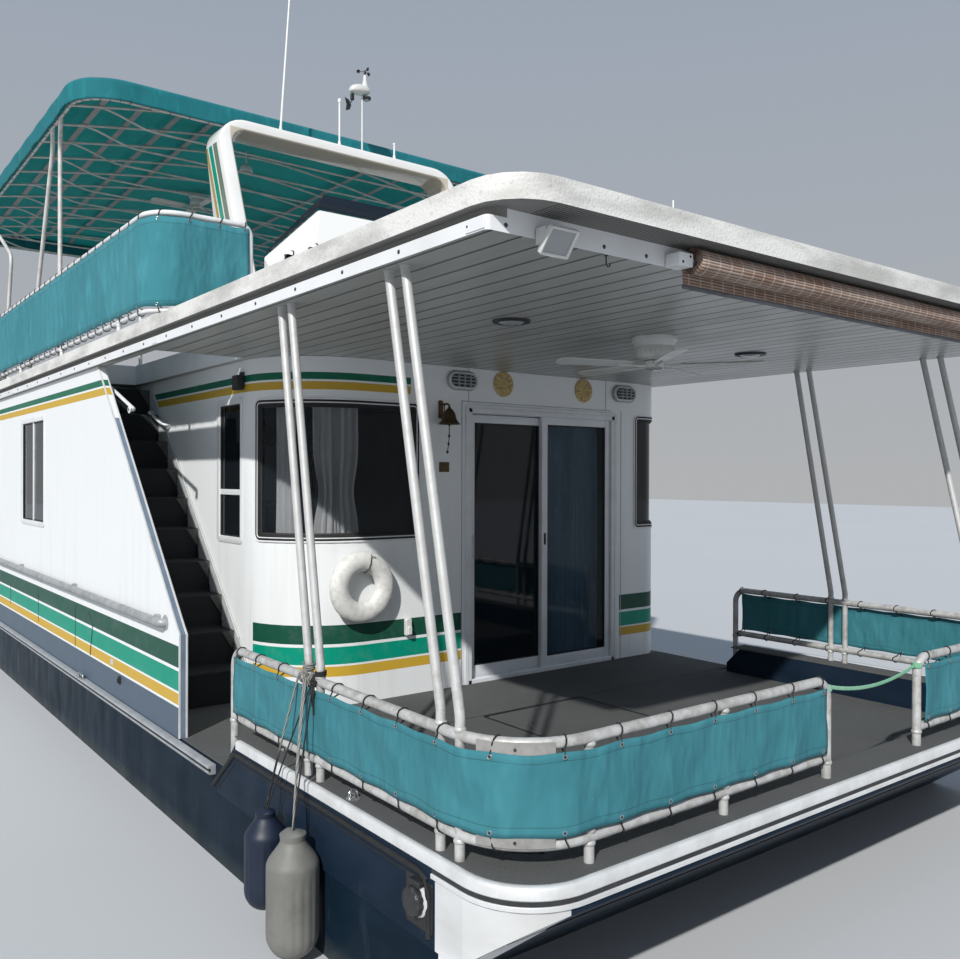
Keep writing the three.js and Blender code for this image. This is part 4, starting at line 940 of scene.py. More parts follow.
hatch_y0, hatch_y1 = front(-1.509), front(-0.765)
lengths = [(-1.92, 1.92, BOW + 0.2, hatch_y0, 0.07), (-1.92, -0.427, hatch_y0 + 0.001, hatch_y1 - 0.001),
           (0.427, 1.92, hatch_y0 + 0.001, hatch_y1 - 0.001), (-2.105, 2.105, hatch_y1, front(-0.002)),
           (-2.07, -1.434, front(0), front(0.519))]
piece("foredeck_carpet", [laid_carpet(*length) for length in lengths], "boat", carpet)
piece("aft_deck_carpet", laid_carpet(-2.1, 2.1, REAR + 0.002, TRANSOM - 0.015), "boat", carpet)
piece("cabin_floor", laid_carpet(-1.38, 2.07, front(0.1), front(3.05)), "boat", carpet)
piece("cabin_floor_aft", laid_carpet(-2.07, 2.07, front(3.16), REAR - 0.05), "boat", carpet)
lid, lid_out = rounded(-0.418, 0.418, front(-1.498), front(-0.772), 0.03)
lid_edge = box_profile(-0.013, 0.001, DECK - 0.006, DECK + 0.004, 0.001)
pull_ring = [(0, 0.004), (0.030, 0.004), (0.034, 0.006), (0.030, 0.0085), (0.022, 0.008), (0.019, 0.0055),
             (0, 0.0055)]
piece("hatch_lid", [raised(lid, lid_out, DECK - 0.028, DECK - 0.001, 0.003, finish=1),
                    raised(lid - 0.014 * lid_out, lid_out, DECK - 0.0012, DECK + 0.005, 0.002),
                    framed(lid, lid_out, lid_edge, "z", 1),
                    turned(pull_ring, (-0.33, front(-1.135), DECK), finish=2)],
      "hatch", [carpet, dark_metal, steel], ["deck_hatch"])
rim_line = rounded(-0.4265, 0.4265, front(-1.5120), front(-0.7635), 0.03)
piece("hatch_rim", framed(*rim_line, box_profile(-0.0030, 0.009, DECK - 0.002, DECK + 0.0065, 0.001), "z"),
      "boat", dark_metal)
piece("bow_seam_strip", block((-1.92, 1.92), aft(-0.7585, -0.7535), above(0.005, 0.0072)),
      "boat", dark_metal)
smooth_copy("stern_platform", "swim_platform", "boat", strip_metal, 0.006)
print("hull and decks done")

# %% [markdown]
# ## Cabin, stair and roof
# The walls keep their solid, with the outside in banded paint and the room side in a dark brown that is
# painted shade, so the cabin's inside reads dark through the windows. The roof is one solid with five
# finishes, told apart by height: pebbled edge, ribbed shadow gap, white beam, boarded ceiling and the grey
# non-slip upper deck.

# %% Walls, stair and roof
# The room side is a dark brown that is painted shade, so the unlit cabin reads dark through the windows.
room_painted_shade = moulded("room_panels_painted_shade", (0.085, 0.060, 0.042), (0.055, 0.038, 0.026), 0.6)
beam_white = moulded("beam_white", (0.76, 0.77, 0.78), (0.60, 0.60, 0.59), 0.35, 3)
deck_grip = pile("deck_grip", (0.30, 0.30, 0.285), (0.38, 0.375, 0.355), 160)


def ribbed(name):
    """The shadow gap under the roof edge: fine ribs across the bow, darker in their troughs as painted shade,
    and a plain grey along the sides.
    """
    p = Paint(name)
    x, y, z = p.split(p.place)
    front_edge = (y < front(-2.95)) * (abs(x) < 1.97)
    wave = (x * 420).wave() * front_edge + (1 - front_edge) * 0.2
    # Painted shade: the rib troughs, which the bump sinks, are mixed towards the dark grey.
    color = p.mix(p.between(wave, -0.3, 0.5), (0.07, 0.068, 0.064), (0.30, 0.29, 0.275))
    p.bump(wave, 0.7, 0.004)
    return p.done(Base_Color=color, Roughness=0.6)


def wall_side(centre, normal):
    """1 for faces that look into the room, found by stepping a little way out of the wall."""
    step = centre + 0.06 * normal
    x, y = step[:, 0], step[:, 1]
    inside = (y > front(0.05)) & (y < REAR - 0.05) & (np.abs(x) < 2.07) & ~((x < -1.38) & (y < front(3.1)))
    for cx, cy, sign, r in ((STAIR_WALL + CORNER, front(CORNER), -1, CORNER),
                            (HALF_BEAM - 0.2, front(0.2), 1, 0.2)):
        inside &= ~((sign * (x - cx) > 0) & (y < cy) & (np.hypot(x - cx, y - cy) > r - 0.03))
    return inside & (np.abs(normal[:, 2]) < 0.5)


def roof_part(centre, normal):
    """The roof finish of each face, from its height above the deck and the way it looks."""
    z = centre[:, 2] - DECK
    mark = np.zeros(len(z), int)
    mark[(z < 2.389) & (z > 2.362)] = 1
    mark[(normal[:, 2] < -0.7) & (z > 2.38)] = 1
    mark[z < 2.358] = 2
    mark[(normal[:, 2] < -0.7) & (z < 2.312)] = 3
    mark[(normal[:, 2] > 0.7) & (z > 2.47)] = 4
    mark[(np.abs(normal[:, 2]) < 0.5) & (np.abs(centre[:, 0]) < 2.07) & (z < 2.47)
         & (centre[:, 1] > front(0.4)) & (centre[:, 1] < front(2.9))] = 2
    return mark


roof_finishes = [roof_cream, ribbed("vent_channel"), beam_white, plank_white, deck_grip]
smooth_copy("cabin_shell", "cabin_walls", "boat", [cabin_white, room_painted_shade], 0.004,
            choose=wall_side)
smooth_copy("stair_treads", "stairs", "boat", stair_carpet, 0.014, 4)
smooth_copy("roof_shell", "roof", "boat", roof_finishes, 0.009, choose=roof_part)

# %% [markdown]
# Trim on the cabin: the angle on the raked edge of the stair's outer wall, the sloping skirt between
# treads and wall, two short handrails, and the line of dark screw heads in the roof's white beam.

# %% Stair trim and roof fixings
def strip(path, across, width, thick, finish=0):
    """A flat bar along a path: width along a fixed direction, thickness across the travel."""
    path = np.asarray(path, float)
    across = np.asarray(across, float)
    up = unit(np.cross(unit(np.gradient(path, axis=0)), across))
    a, b, c = width / 2, thick / 2, min(thick, width) * 0.3
    ring = np.array([(-a + c, -b), (a - c, -b), (a, -b + c), (a, b - c), (a - c, b), (-a + c, b),
                     (-a, b - c), (-a, -b + c)])
    grid = path[:, None] + ring[None, :, :1] * across + ring[None, :, 1:] * up[:, None]
    return patch(grid, wrap_v=True, cap=True, size=(length_of(path), 1), finish=finish)


rake = [(front(-0.104), DECK + 0.006), (front(-0.104), DECK + 0.600), (front(-0.049), DECK + 0.652),
        (front(1.585), CEILING - 0.012)]
raked = np.array([(-2.0975, y, z) for y, z in rake])
upright = evenly(raked[:2], 0.1)
slope = evenly(raked[2:], 0.1)
shapes = []
for run in (upright, slope, evenly(raked[1:3], 0.02)):
    shapes += [strip(run + [dx, 0, 0], (1, 0, 0), 0.013, 0.007) for dx in (-0.0205, 0.0205)]
    shapes.append(strip(run, (1, 0, 0), 0.030, 0.003, 1))
trim_blue = satin_metal("trim_blue", (0.20, 0.26, 0.34), (0.13, 0.17, 0.23), 0.45, 0.2)
piece("stair_edge_trim", shapes, "boat", [strip_metal, trim_blue])
skirt = np.array([spot(-1.4372, 0.53, 0.09), spot(-1.4372, 0.72, 0.345), spot(-1.4372, 2.62, 2.245)])
edge = skirt[1:] + [0, -0.057, 0.057]
skirt_metal = satin_metal("skirt_metal", (0.66, 0.67, 0.67), (0.48, 0.48, 0.47), 0.4, 0.3)
piece("stair_skirt", [strip(evenly(skirt, 0.1), (0, 0.71, -0.71), 0.160, 0.006),
                      strip(evenly(edge, 0.1) + [-0.004, 0, 0], (0, 0.71, -0.71), 0.010, 0.010)],
      "boat", skirt_metal)
gussets = []
for i in range(10):
    y, z = front(0.520 + 0.229 * i), DECK + 0.225 * (i + 1)
    corner = np.array([(-1.441, z - 0.004), (-1.531, z - 0.004), (-1.441, z - 0.150)])
    gussets.append(raised(corner, unit(corner - corner.mean(0)), y - 0.008, y - 0.0005, 0.002, "y"))
piece("stair_corner_carpet", gussets, "boat", carpet)


def handrail(ends, x, wall):
    """A short tube on two stand-offs that turn into round flanges on the wall."""
    (y0, z0), (y1, z1) = ends
    a, b = np.array([x, front(y0), DECK + z0]), np.array([x, front(y1), DECK + z1])
    foot = lambda p: np.array([wall, p[1], p[2]])
    line = bend([foot(a), (*a, 0.03), (*b, 0.03), foot(b)], 6)
    flange = [(0, 0), (0.024, 0), (0.026, 0.004), (0.016, 0.009), (0, 0.010)]
    out = math.copysign(1, x - wall)
    ends = [turned([(r, h * out) for r, h in flange], foot(p), "x", 20) for p in (a, b)]
    return [tube(line, 0.0125)] + ends


piece("stair_handrails", handrail([(1.709, 2.203), (1.018, 1.965)], -2.035, -2.0745)
      + handrail([(2.476, 2.056), (2.098, 1.930)], -1.485, -1.4305), "boat", white_tube)

screw = [(0, 0.0045), (0.004, 0.0040), (0.0075, 0.0020), (0.009, 0), (0, 0)]
side_rows = [turned([(r, -h) for r, h in screw], spot(-2.150, y, 2.337), "x", 10)
             for y in np.arange(-2.9, 12.0, 0.42)]
port_rows = [turned(screw, spot(2.150, y, 2.337), "x", 10) for y in np.arange(-2.9, 12.0, 0.42)]
front_row = [turned([(r * 0.9, -h) for r, h in screw], spot(x, -3.0, 2.335), "y", 10)
             for x in (-2.07, -1.62, -1.40, 1.40, 1.62, 2.07)]
piece("roof_screws", side_rows + port_rows + front_row, "boat", dark_metal)
plates = [block((-2.1535, -2.1495), (front(y), front(y) + 0.10), (CEILING + 0.004, DECK + 2.356), axis="x")
          for y in (-2.99, 0.2, 4.4, 8.6)]
piece("roof_joint_plates", plates, "boat", beam_white)

# %% [markdown]
# ## Windows
# Each window is a frame with a round-cornered flange over the wall, a dark pane, and its bars. The two
# bow windows bend with the wall: they are drawn flat along the wall's running length, and then every
# point is moved onto the wall by a function of that length and of its depth.

# %% Windows
window_white = moulded("window_white", (0.72, 0.73, 0.74), (0.55, 0.55, 0.54), 0.35)
FLANGE = [(-0.034, -0.046), (-0.034, -0.004), (-0.030, 0.003), (0.008, 0.0065), (0.012, 0.004),
          (0.013, 0.0004), (0.001, 0.0004), (-0.001, -0.046)]
BEAD = [(-0.044, -0.028), (-0.044, -0.009), (-0.033, -0.004), (-0.033, -0.028)]


def flat_window(name, node, axis, wall, sign, u, v, bars):
    """A framed pane in a flat wall. u and v are its ranges in the wall, and sign points out of the cabin."""
    points, normals = rounded(*u, *v, 0.035, 6)
    place = lambda profile: [(a, wall + sign * b) for a, b in profile]
    low, high = ordered(wall - sign * 0.024, wall - sign * 0.016)
    shapes = [framed(points, normals, place(FLANGE), axis), framed(points, normals, place(BEAD), axis, 1),
              raised(points - 0.034 * normals, normals, low, high, 0.001, axis, 2)]
    for bu, bv in bars:
        spans = dict(zip([k for k in "xyz" if k != axis], (bu, bv)))
        spans[axis] = ordered(wall - sign * 0.034, wall - sign * 0.004)
        shapes.append(block(spans["x"], spans["y"], spans["z"], 0.004, 0.003, axis))
    return piece(name, shapes, "boat", [window_white, black_rubber, side_glass], [node])


side_windows = [(3.28, 0.94, (-1,)), (1.90, 1.20, (1,)), (5.30, 1.20, (-1, 1)), (7.60, 1.20, (-1, 1))]
for y, length, sides in side_windows:
    for sign in sides:
        label, middle = ("stbd", "port")[sign > 0], front(y + length / 2)
        flat_window(f"side_window_{label}_{round(y * 10)}", f"window_{label}_{round(y * 1000)}", "x",
                    sign * HALF_BEAM, sign, aft(y, y + length), above(1.075, 2.035),
                    [((middle - 0.010, middle + 0.010), above(1.09, 2.02))])
flat_window("stair_window", "window_stair", "x", STAIR_WALL, -1, aft(0.64, 1.07), above(1.06, 2.05),
            [(aft(0.655, 1.055), above(1.385, 1.425))])


def on_corner(centre, radius, side, flat):
    """Moves (run, depth, height) onto a wall that is straight for flat metres and then turns the corner."""
    def how(run, depth, height):
        t = np.maximum(run - flat, 0) / radius
        x = centre[0] - side * np.maximum(flat - run, 0) + side * (radius + depth) * np.sin(t)
        y = centre[1] - (radius + depth) * np.cos(t)
        tail = np.maximum(t - math.pi / 2, 0) * radius
        x = np.where(t > math.pi / 2, centre[0] + side * (radius + depth), x)
        return x, np.where(t > math.pi / 2, centre[1] + tail, y), height
    return how


def curved_window(name, node, how, run, z0, z1, glass_finish):
    """The same frame and pane drawn against running length, then moved onto the corner."""
    points, normals = fine(*rounded(0, run, z0, z1, 0.035, 6), 0.03)
    steps = np.linspace(0.03, run - 0.03, 60)
    glass = np.array([(-0.024, z0 + 0.030), (-0.016, z0 + 0.030), (-0.016, z1 - 0.030), (-0.024, z1 - 0.030)])
    slab = join(steps[:, None], glass[:, 0], glass[:, 1])
    shapes = [framed(points, normals, FLANGE, "y", 1), framed(points, normals, BEAD, "y", 1),
              framed(points, normals, box_profile(0.006, 0.018, 0.0005, 0.0085, 0.002), "y"),
              framed(points, normals, box_profile(-0.016, -0.008, 0.004, 0.0085, 0.002), "y"),
              patch(slab, wrap_v=True, cap=True, finish=2)]
    return piece(name, [moved(s, how) for s in shapes], "boat", [window_white, black_rubber, glass_finish],
                 [node])


front_how = on_corner((STAIR_WALL + CORNER, FRONT + CORNER), CORNER, -1, 0.42)
port_how = on_corner((HALF_BEAM - 0.2, FRONT + 0.2), 0.2, 1, 0.13)
curved_window("bow_window", "window_front", front_how, 0.42 + CORNER * math.radians(75), DECK + 1.097,
              DECK + 2.018, dark_glass)
curved_window("port_corner_window", "window_port_corner", port_how, 0.26 + 0.2 * math.pi / 2, DECK + 1.10,
              DECK + 2.027, side_glass)


def curtain(name, path, span, folds, depth, finish, seed, tie=0.0):
    """A gathered curtain: the plan path waves sideways as a sum of sines, less at the top than at the hem."""
    path, (z0, z1) = evenly(path, 0.012), span
    flat, out = sideways(path)
    run = np.linspace(0, 1, len(path))
    rng = np.random.default_rng(seed)
    drop = np.linspace(0, 1, 24)
    phase = 2 * math.pi * (run * folds + 0.25 * np.sin(2 * math.pi * run * 2.3 + rng.uniform(0, 6)))
    ripple = np.sin(2.1 * phase[:, None] + 3 * drop + rng.uniform(0, 6))
    wave = np.sin(phase)[:, None] * (0.5 + 0.5 * drop) + 0.35 * ripple
    pull = 1 - tie * np.exp(-((drop - 0.62) / 0.16) ** 2)
    middle = (run - 0.5)[:, None] * pull + 0.5
    x = np.interp(middle, run, flat[:, 0]) + depth * wave * out[:, None, 0]
    y = np.interp(middle, run, flat[:, 1]) + depth * wave * out[:, None, 1]
    z = z1 + (z0 - z1) * drop + 0 * x
    grid = join(x, y, z)
    wide = float(np.linalg.norm(np.diff(grid[:, 0], axis=0), axis=1).sum())
    made = piece(name, patch(grid, size=(wide, z1 - z0)), "boat", finish, mend=False,
                 angle=180)
    z1 - z0
    return made


def along_corner(how, run0, run1):
    """A curtain's plan path, 110 mm inside a curved wall."""
    run = np.linspace(run0, run1, 40)
    x, y, z = how(run, -0.11 + 0 * run, 0 * run)
    return join(x, y, z)


WINDOW_SPAN, DOOR_SPAN = above(1.02, 2.06), above(0.04, 1.97)
curtain("bow_curtain_left", along_corner(front_how, 1.12, 0.93), WINDOW_SPAN, 6, 0.020, curtain_white, 3)
curtain("bow_curtain_middle", along_corner(front_how, 0.80, 0.42), WINDOW_SPAN, 9, 0.024, curtain_white, 5,
        0.25)
curtain("port_curtain", along_corner(port_how, 0.20, 0.46), WINDOW_SPAN, 6, 0.018, curtain_white, 6)
DOOR_CURTAINS = [("door_curtain_left", 0.08, 0.30, front(0.16), 7, 0.022, 8),
                 ("door_curtain_right", 0.86, 1.48, front(0.16), 14, 0.026, 9),
                 ("rear_curtain", 0.72, 0.10, REAR - 0.16, 14, 0.026, 10)]
for label, start, end, y, folds, depth, seed in DOOR_CURTAINS:
    curtain(label, [(start, y, 0), (end, y, 0)], DOOR_SPAN, folds, depth, curtain_blue, seed)

# %% [markdown]
# ## Sliding doors
# A door is an outer frame with two tracks, a fixed leaf and a leaf that slides. Depth is measured from
# the wall's outer face into the cabin, so the same function makes the bow door and the stern door.

# %% Sliding doors
door_white = moulded("door_white", (0.68, 0.70, 0.73), (0.52, 0.53, 0.55), 0.3)


def leaf(x0, x1, z0, z1, d0, d1, y, stile, top, bottom, glass):
    """One glazed leaf: two stiles, two rails between them, a black gasket on each face and the pane."""
    depth = ordered(y(d0), y(d1))
    inner = (x0 + stile, x1 - stile, z0 + bottom, z1 - top)
    hole, out = rounded(*inner, 0.004, 2)
    between, rail_depth = (x0 + stile - 0.001, x1 - stile + 0.001), (depth[0] + 0.002, depth[1] - 0.002)
    stiles, rails = ((x0, x0 + stile), (x1 - stile, x1)), ((z0, z0 + bottom), (z1 - top, z1))
    shapes = [block(span, depth, (z0, z1), 0.003, 0.003, "z") for span in stiles]
    shapes += [block(between, rail_depth, span, 0.002, 0.003, "x") for span in rails]
    low, high = ordered(y(glass - 0.003), y(glass + 0.003))
    gasket = [(-0.009, low - 0.006), (-0.007, low - 0.008), (0.001, low - 0.008), (0.001, high + 0.008),
              (-0.007, high + 0.008), (-0.009, high + 0.006)]
    shapes += [framed(hole, out, gasket, "y", 1), raised(hole, out, low, high, 0.0008, "y", 2)]
    return shapes


def sliding_door(prefix, x0, face, inward, nodes, bodies):
    """The outer frame with its fixed leaf on one body, and the sliding leaf with its grip on the other."""
    y = lambda d: face + inward * d
    x1, low, high, mid = x0 + 1.51, DECK, DECK + 2.02, x0 + 0.755
    points, normals = rounded(x0 + 0.0003, x1 - 0.0003, low + 0.0003, high - 0.0003, 0.004, 2)
    steps = [(0.0, -0.008), (-0.030, -0.008), (-0.036, -0.003), (-0.036, 0.010), (-0.028, 0.011),
             (-0.028, 0.044), (-0.036, 0.045), (-0.036, 0.048), (-0.028, 0.049), (-0.028, 0.082),
             (-0.036, 0.083), (-0.036, 0.092), (0.0, 0.092)]
    shade = [(0.002, -0.0005), (0.028, -0.0005), (0.030, -0.004), (0.026, -0.010), (0.002, -0.010)]
    place = lambda profile: [(a, y(d)) for a, d in profile]
    shapes = [framed(points, normals, place(steps), "y"), framed(points, normals, place(shade), "y")]
    shapes += leaf(mid - 0.029, x1 - 0.032, DECK + 0.028, high - 0.032, 0.012, 0.042, y, 0.058, 0.062, 0.088,
                   0.027)
    catch_y = ordered(y(0.003), y(0.0125))
    shapes.append(block((mid - 0.007, mid + 0.007), catch_y, above(0.99, 1.08), 0.003, 0.002, "z", 1))
    finishes = [door_white, black_rubber, door_glass]
    piece(prefix + "_frame", shapes, bodies[0], finishes, [nodes[0]])
    a, b = x0 + 0.041, mid + 0.030
    shapes = leaf(a, b, DECK + 0.035, DECK + 1.978, 0.050, 0.080, y, 0.055, 0.060, 0.085, 0.065)
    hx, hz = a + 0.028, [DECK + 0.905, DECK + 1.105]
    plate_y = ordered(y(0.044), y(0.0502))
    grip = bend([(hx, y(0.048), hz[0] + 0.02), (hx, y(0.030), hz[0] + 0.02, 0.012),
                 (hx, y(0.030), hz[1] - 0.02, 0.012), (hx, y(0.048), hz[1] - 0.02)], 5)
    lock = turned([(0, 0), (0.010, 0), (0.009, 0.004), (0, 0.005)], (hx, y(0.043), hz[0] + 0.10), "y", 16,
                  finish=4)
    shapes += [block((hx - 0.016, hx + 0.016), plate_y, (hz[0] - 0.02, hz[1] + 0.02), 0.012, 0.002, "y"),
               tube(grip, 0.0085, 12), lock]
    # The sliding leaf's pane takes the nearly opaque dark glass: painted shade.
    finishes = [door_white, black_rubber, door_glass_painted_shade, black_plastic, steel]
    piece(prefix + "_leaf", shapes, bodies[1], finishes, [nodes[1]])


sliding_door("bow_door", 0.03, FRONT, 1, ["front_door_frame", "front_door_leaf"], ["boat", "front_door"])
sliding_door("stern_door", -0.755, REAR, -1, ["rear_door_frame", "rear_door_leaf"], ["boat", "rear_door"])
print("cabin done")

# %% [markdown]
# ## Deck rails
# The rails repeat the tubes of the frame with finer bends and add what the solids leave out: a bead of
# weld at each joint and the bare splice plates bent round each bow corner. The cloth panels hang
# outside the tubes. Each panel is one sheet whose plan path is the rail's own, pushed in and out by a
# few sines that die away towards its laced edges; between two eyelets the cord draws each edge in.

# %% Rails
def bead(at, axis, radius):
    """A small ring of weld around a tube."""
    r = radius - 0.001
    half = [(r, -0.010), (r + 0.004, -0.006), (r + 0.0055, 0), (r + 0.004, 0.006), (r, 0.010)]
    return turned(half, at, axis, 18)


ROOF_POSTS = [(-1.640, -1.355), (-1.750, -1.457), (-2.655, -2.300), (-2.770, -2.415)]
RAIL_TUBE, POST_TUBE, CLOTH_OUT = 0.021, 0.0185, 0.026
AFT_LOW, AFT_TOP = above(0.12, 0.84)


def bow_rail(name, node, side, gate, stubs):
    """One side's bow rail: two bent tubes, the posts up to the roof, stubs, welds and the corner plates."""
    x, near = side * RAIL_X, front(-0.815)
    top_line = bend([(x, near, DECK + 0.006), (x, near, RAIL_TOP, 0.09), (x, RAIL_Y, RAIL_TOP, 0.32),
                     (gate, RAIL_Y, RAIL_TOP, 0.08), (gate, RAIL_Y, BULWARK_TOP + 0.004)], 14)
    low_line = bend([(x, near, RAIL_LOW), (x, RAIL_Y, RAIL_LOW, 0.32), (gate, RAIL_Y, RAIL_LOW)], 14)
    shapes = [tube(top_line, RAIL_TUBE, 18), tube(low_line, RAIL_TUBE, 18)]
    feet = [(x, front(foot), BULWARK_TOP + 0.004) for foot, _ in ROOF_POSTS]
    for (foot, head), base in zip(ROOF_POSTS, feet):
        line = bend([base, spot(x, foot, 0.69, 0.16), (x, front(head) + 0.002, CEILING + 0.002)], 12)
        shapes += [tube(line, POST_TUBE, 18), bead((x, front(foot), RAIL_TOP + 0.022), "z", POST_TUBE),
                   bead((x, front(foot), RAIL_LOW - 0.022), "z", POST_TUBE)]
        shapes.append(turned([(0, 0), (0.023, 0), (0.023, -0.004), (0, -0.005)],
                             (x, front(head), CEILING - 0.001), "z", 20))
    shapes += [pipe((s, RAIL_Y, BULWARK_TOP + 0.004), (s, RAIL_Y, RAIL_TOP), POST_TUBE, 18) for s in stubs]
    shapes += [bead((s, RAIL_Y, z), "z", POST_TUBE) for s in stubs
               for z in (RAIL_LOW - 0.022, RAIL_LOW + 0.022, RAIL_TOP - 0.022)]
    shapes += [bead((x, near, RAIL_LOW - 0.022), "z", RAIL_TUBE),
               bead((gate, RAIL_Y, RAIL_LOW - 0.022), "z", RAIL_TUBE)]
    t = np.radians(np.linspace(22, 68, 17))
    way = join(side * np.cos(t), -np.sin(t))
    middle = np.array([side * (RAIL_X - 0.32), RAIL_Y + 0.32])
    for z, low, high in ((RAIL_TOP, -0.039, 0.010), (RAIL_LOW, -0.005, 0.037)):
        shapes.append(framed(middle + 0.3411 * way, way, box_profile(0.0, 0.0032, z + low, z + high, 0.001),
                             "z", 2, closed=False))
        a, b = (np.array([*(middle + r * way[8]), z + (low + high) / 2]) for r in (0.340, 0.3478))
        shapes.append(pipe(a, b, 0.0055, 12, 1))
    return piece(name, shapes, "boat", [rail_metal, dark_metal, bare_plate], [node])


bow_rail("bow_rail_starboard", "bow_rail_stbd", -1, -0.280, [-1.735, -1.000])
bow_rail("bow_rail_portside", "bow_rail_port", 1, 0.520, [1.735, 1.080])


def laced_panel(name, node, path, span, tubes, inset, radius, finish, spacing=0.25, seed=1, pleat=0.0055,
                upright=0.0):
    """A sheet of cloth along a plan path, with eyelets and a black cord that loops round the tubes.

    Its push in and out adds broad waves, creases that slant away from the eyelets, and upright pleats."""
    (low, high), (tube_low, tube_high) = span, tubes
    path = evenly(path, 0.025)
    flat, out = sideways(path)
    run = np.linspace(0, length_of(path), len(path))
    rng = np.random.default_rng(seed)
    count = max(round(run[-1] / spacing), 1)
    share = run / run[-1] * count
    pull = np.sin(np.pi * share)[:, None] ** 2 * 0.0055
    h = np.linspace(0, 1, 15)[None, :]
    z = low + pull + (high - low - 2 * pull) * h
    belly = 4 * h * (1 - h)
    lines = [(rng.uniform(0.5, 1), rng.uniform(1.2, 9), rng.uniform(0, 6.3), rng.uniform(-2, 2))
             for _ in range(9)]
    wave = sum(a * np.sin(f * 2 * run[:, None] + p + k * h) for a, f, p, k in lines) / 4
    pucker = np.cos(2 * np.pi * share)[:, None] * (np.exp(-h / 0.16) + np.exp(-(1 - h) / 0.16))
    creases = ((1, 0.7, 0.0), (1, -0.6, 2.0), (0.5, 1.1, 4.0))
    slant = sum(np.sin(2 * np.pi * (share[:, None] * f + k * h) + p) ** 3 for f, k, p in creases)
    fold = np.abs(np.sin(math.pi * run[:, None] / 0.15 + 0.8 * np.sin(run[:, None] * 1.9 + h))) ** 1.5 - 0.5
    depth = pleat * (wave * (0.12 + 0.88 * belly) + 0.18 * pucker + 0.42 * slant * (0.25 + belly))
    depth = depth + upright * fold * (0.25 + 0.75 * belly)
    xy = flat[:, None] + out[:, None] * depth[..., None]
    grid = np.concatenate([xy, z[..., None]], -1)
    chart = join(run[:, None], (high - low) * h)
    made = piece(name, patch(grid, chart=chart), "boat", finish, [node], angle=180, mend=False)
    thick = made.modifiers.new("thick", "SOLIDIFY")
    thick.thickness, thick.offset = 0.0016, 0
    at = np.linspace(0, run[-1], count + 1)
    at[0], at[-1] = 0.03, run[-1] - 0.03
    eyelets = np.stack([np.interp(at, run, flat[:, k]) for k in (0, 1)], -1)
    normal = unit(np.stack([np.interp(at, run, out[:, k]) for k in (0, 1)], -1))
    ahead = join(-normal[:, 1], normal[:, 0])
    loops = []
    for edge, centre, sign in ((high - 0.016, tube_high, 1), (low + 0.016, tube_low, -1)):
        turns = np.radians(np.array([-35, 5, 40, 80, 120, 160, 200, 232]))
        r = radius + 0.0035
        across = np.concatenate([[inset + 0.0035], r * np.cos(turns), [inset - 0.004]]) - inset
        rise = np.concatenate([[edge], centre + sign * r * np.sin(turns), [edge]])
        drift = np.interp(np.linspace(0, 1, len(rise)), [0, 0.75, 1], [0, 1, 0])[:, None]
        for s, n, a, lean in zip(eyelets, normal, ahead, rng.uniform(0.015, 0.05, len(eyelets))):
            line = np.column_stack([s + n * across[:, None] + a * lean * drift, rise])
            loops.append(tube(line, 0.0034, 6, closed=True))
        for s, n in zip(eyelets, normal):
            ring_a = circle(12)
            tangent = np.array([-n[1], n[0]])
            line = np.column_stack([s + n * 0.0022 + tangent * 0.0075 * np.cos(ring_a)[:, None],
                                    edge + 0.0075 * np.sin(ring_a)])
            loops.append(tube(line, 0.0022, 6, closed=True, finish=1))
    lacing = piece(name + "_lacing", loops, "boat", [black_rope, steel])
    high - low
    return made


def bow_path(side, gate):
    """Plan path of one bow cloth, just outside the rail, from the cabin round to the gate."""
    x = side * (RAIL_X + CLOTH_OUT)
    return bend([(x, front(-0.855), 0), (x, RAIL_Y - CLOTH_OUT, 0, 0.346),
                 (gate + side * 0.036, RAIL_Y - CLOTH_OUT, 0)], 16)



bow_span, bow_tubes = (RAIL_LOW + 0.027, RAIL_TOP - 0.027), (RAIL_LOW, RAIL_TOP)
laced_panel("bow_cloth_starboard", "bow_panel_stbd", bow_path(-1, -0.280), bow_span, bow_tubes, CLOTH_OUT,
            RAIL_TUBE, rail_cloth, seed=4)
laced_panel("bow_cloth_portside", "bow_panel_port", bow_path(1, 0.520)[::-1], bow_span, bow_tubes, CLOTH_OUT,
            RAIL_TUBE, rail_cloth, seed=5)

# %% [markdown]
# The stern rails are the same with a lower edge near the deck. The upper deck's rail is painted white
# and carries the longest cloth, which shows upright pleats.

# %% Stern rails and upper rail
def aft_rail(name, node, side):
    """One side's stern rail: two bent tubes, a roof post, a short post, welds and round feet."""
    x, y, gate, start = side * RAIL_X, TRANSOM - 0.055, side * 0.4, REAR + 0.07
    top_line = bend([(x, start, DECK + 0.006), (x, start, AFT_TOP, 0.09), (x, y, AFT_TOP, 0.2),
                     (gate, y, AFT_TOP, 0.08), (gate, y, DECK + 0.006)], 12)
    low_line = bend([(x, start, AFT_LOW), (x, y, AFT_LOW, 0.2), (gate, y, AFT_LOW)], 12)
    post_y = TRANSOM - 0.42
    shapes = [tube(top_line, RAIL_TUBE, 16), tube(low_line, RAIL_TUBE, 16),
              pipe((x, post_y, DECK + 0.006), (x, post_y, CEILING - 0.002), POST_TUBE, 16),
              pipe((side * 1.2, y, DECK + 0.006), (side * 1.2, y, AFT_TOP), POST_TUBE, 16)]
    posts = ((side * 1.2, y), (x, post_y))
    shapes += [bead((*post, DECK + z), "z", POST_TUBE) for z in (0.142, 0.818) for post in posts]
    flange = [(0, 0), (0.034, 0), (0.034, 0.004), (0.024, 0.008), (0, 0.008)]
    shapes += [turned(flange, (*foot, DECK + 0.0065), "z", 20) for foot in ((x, start), (gate, y), *posts)]
    piece(name, shapes, "boat", rail_metal, [node])


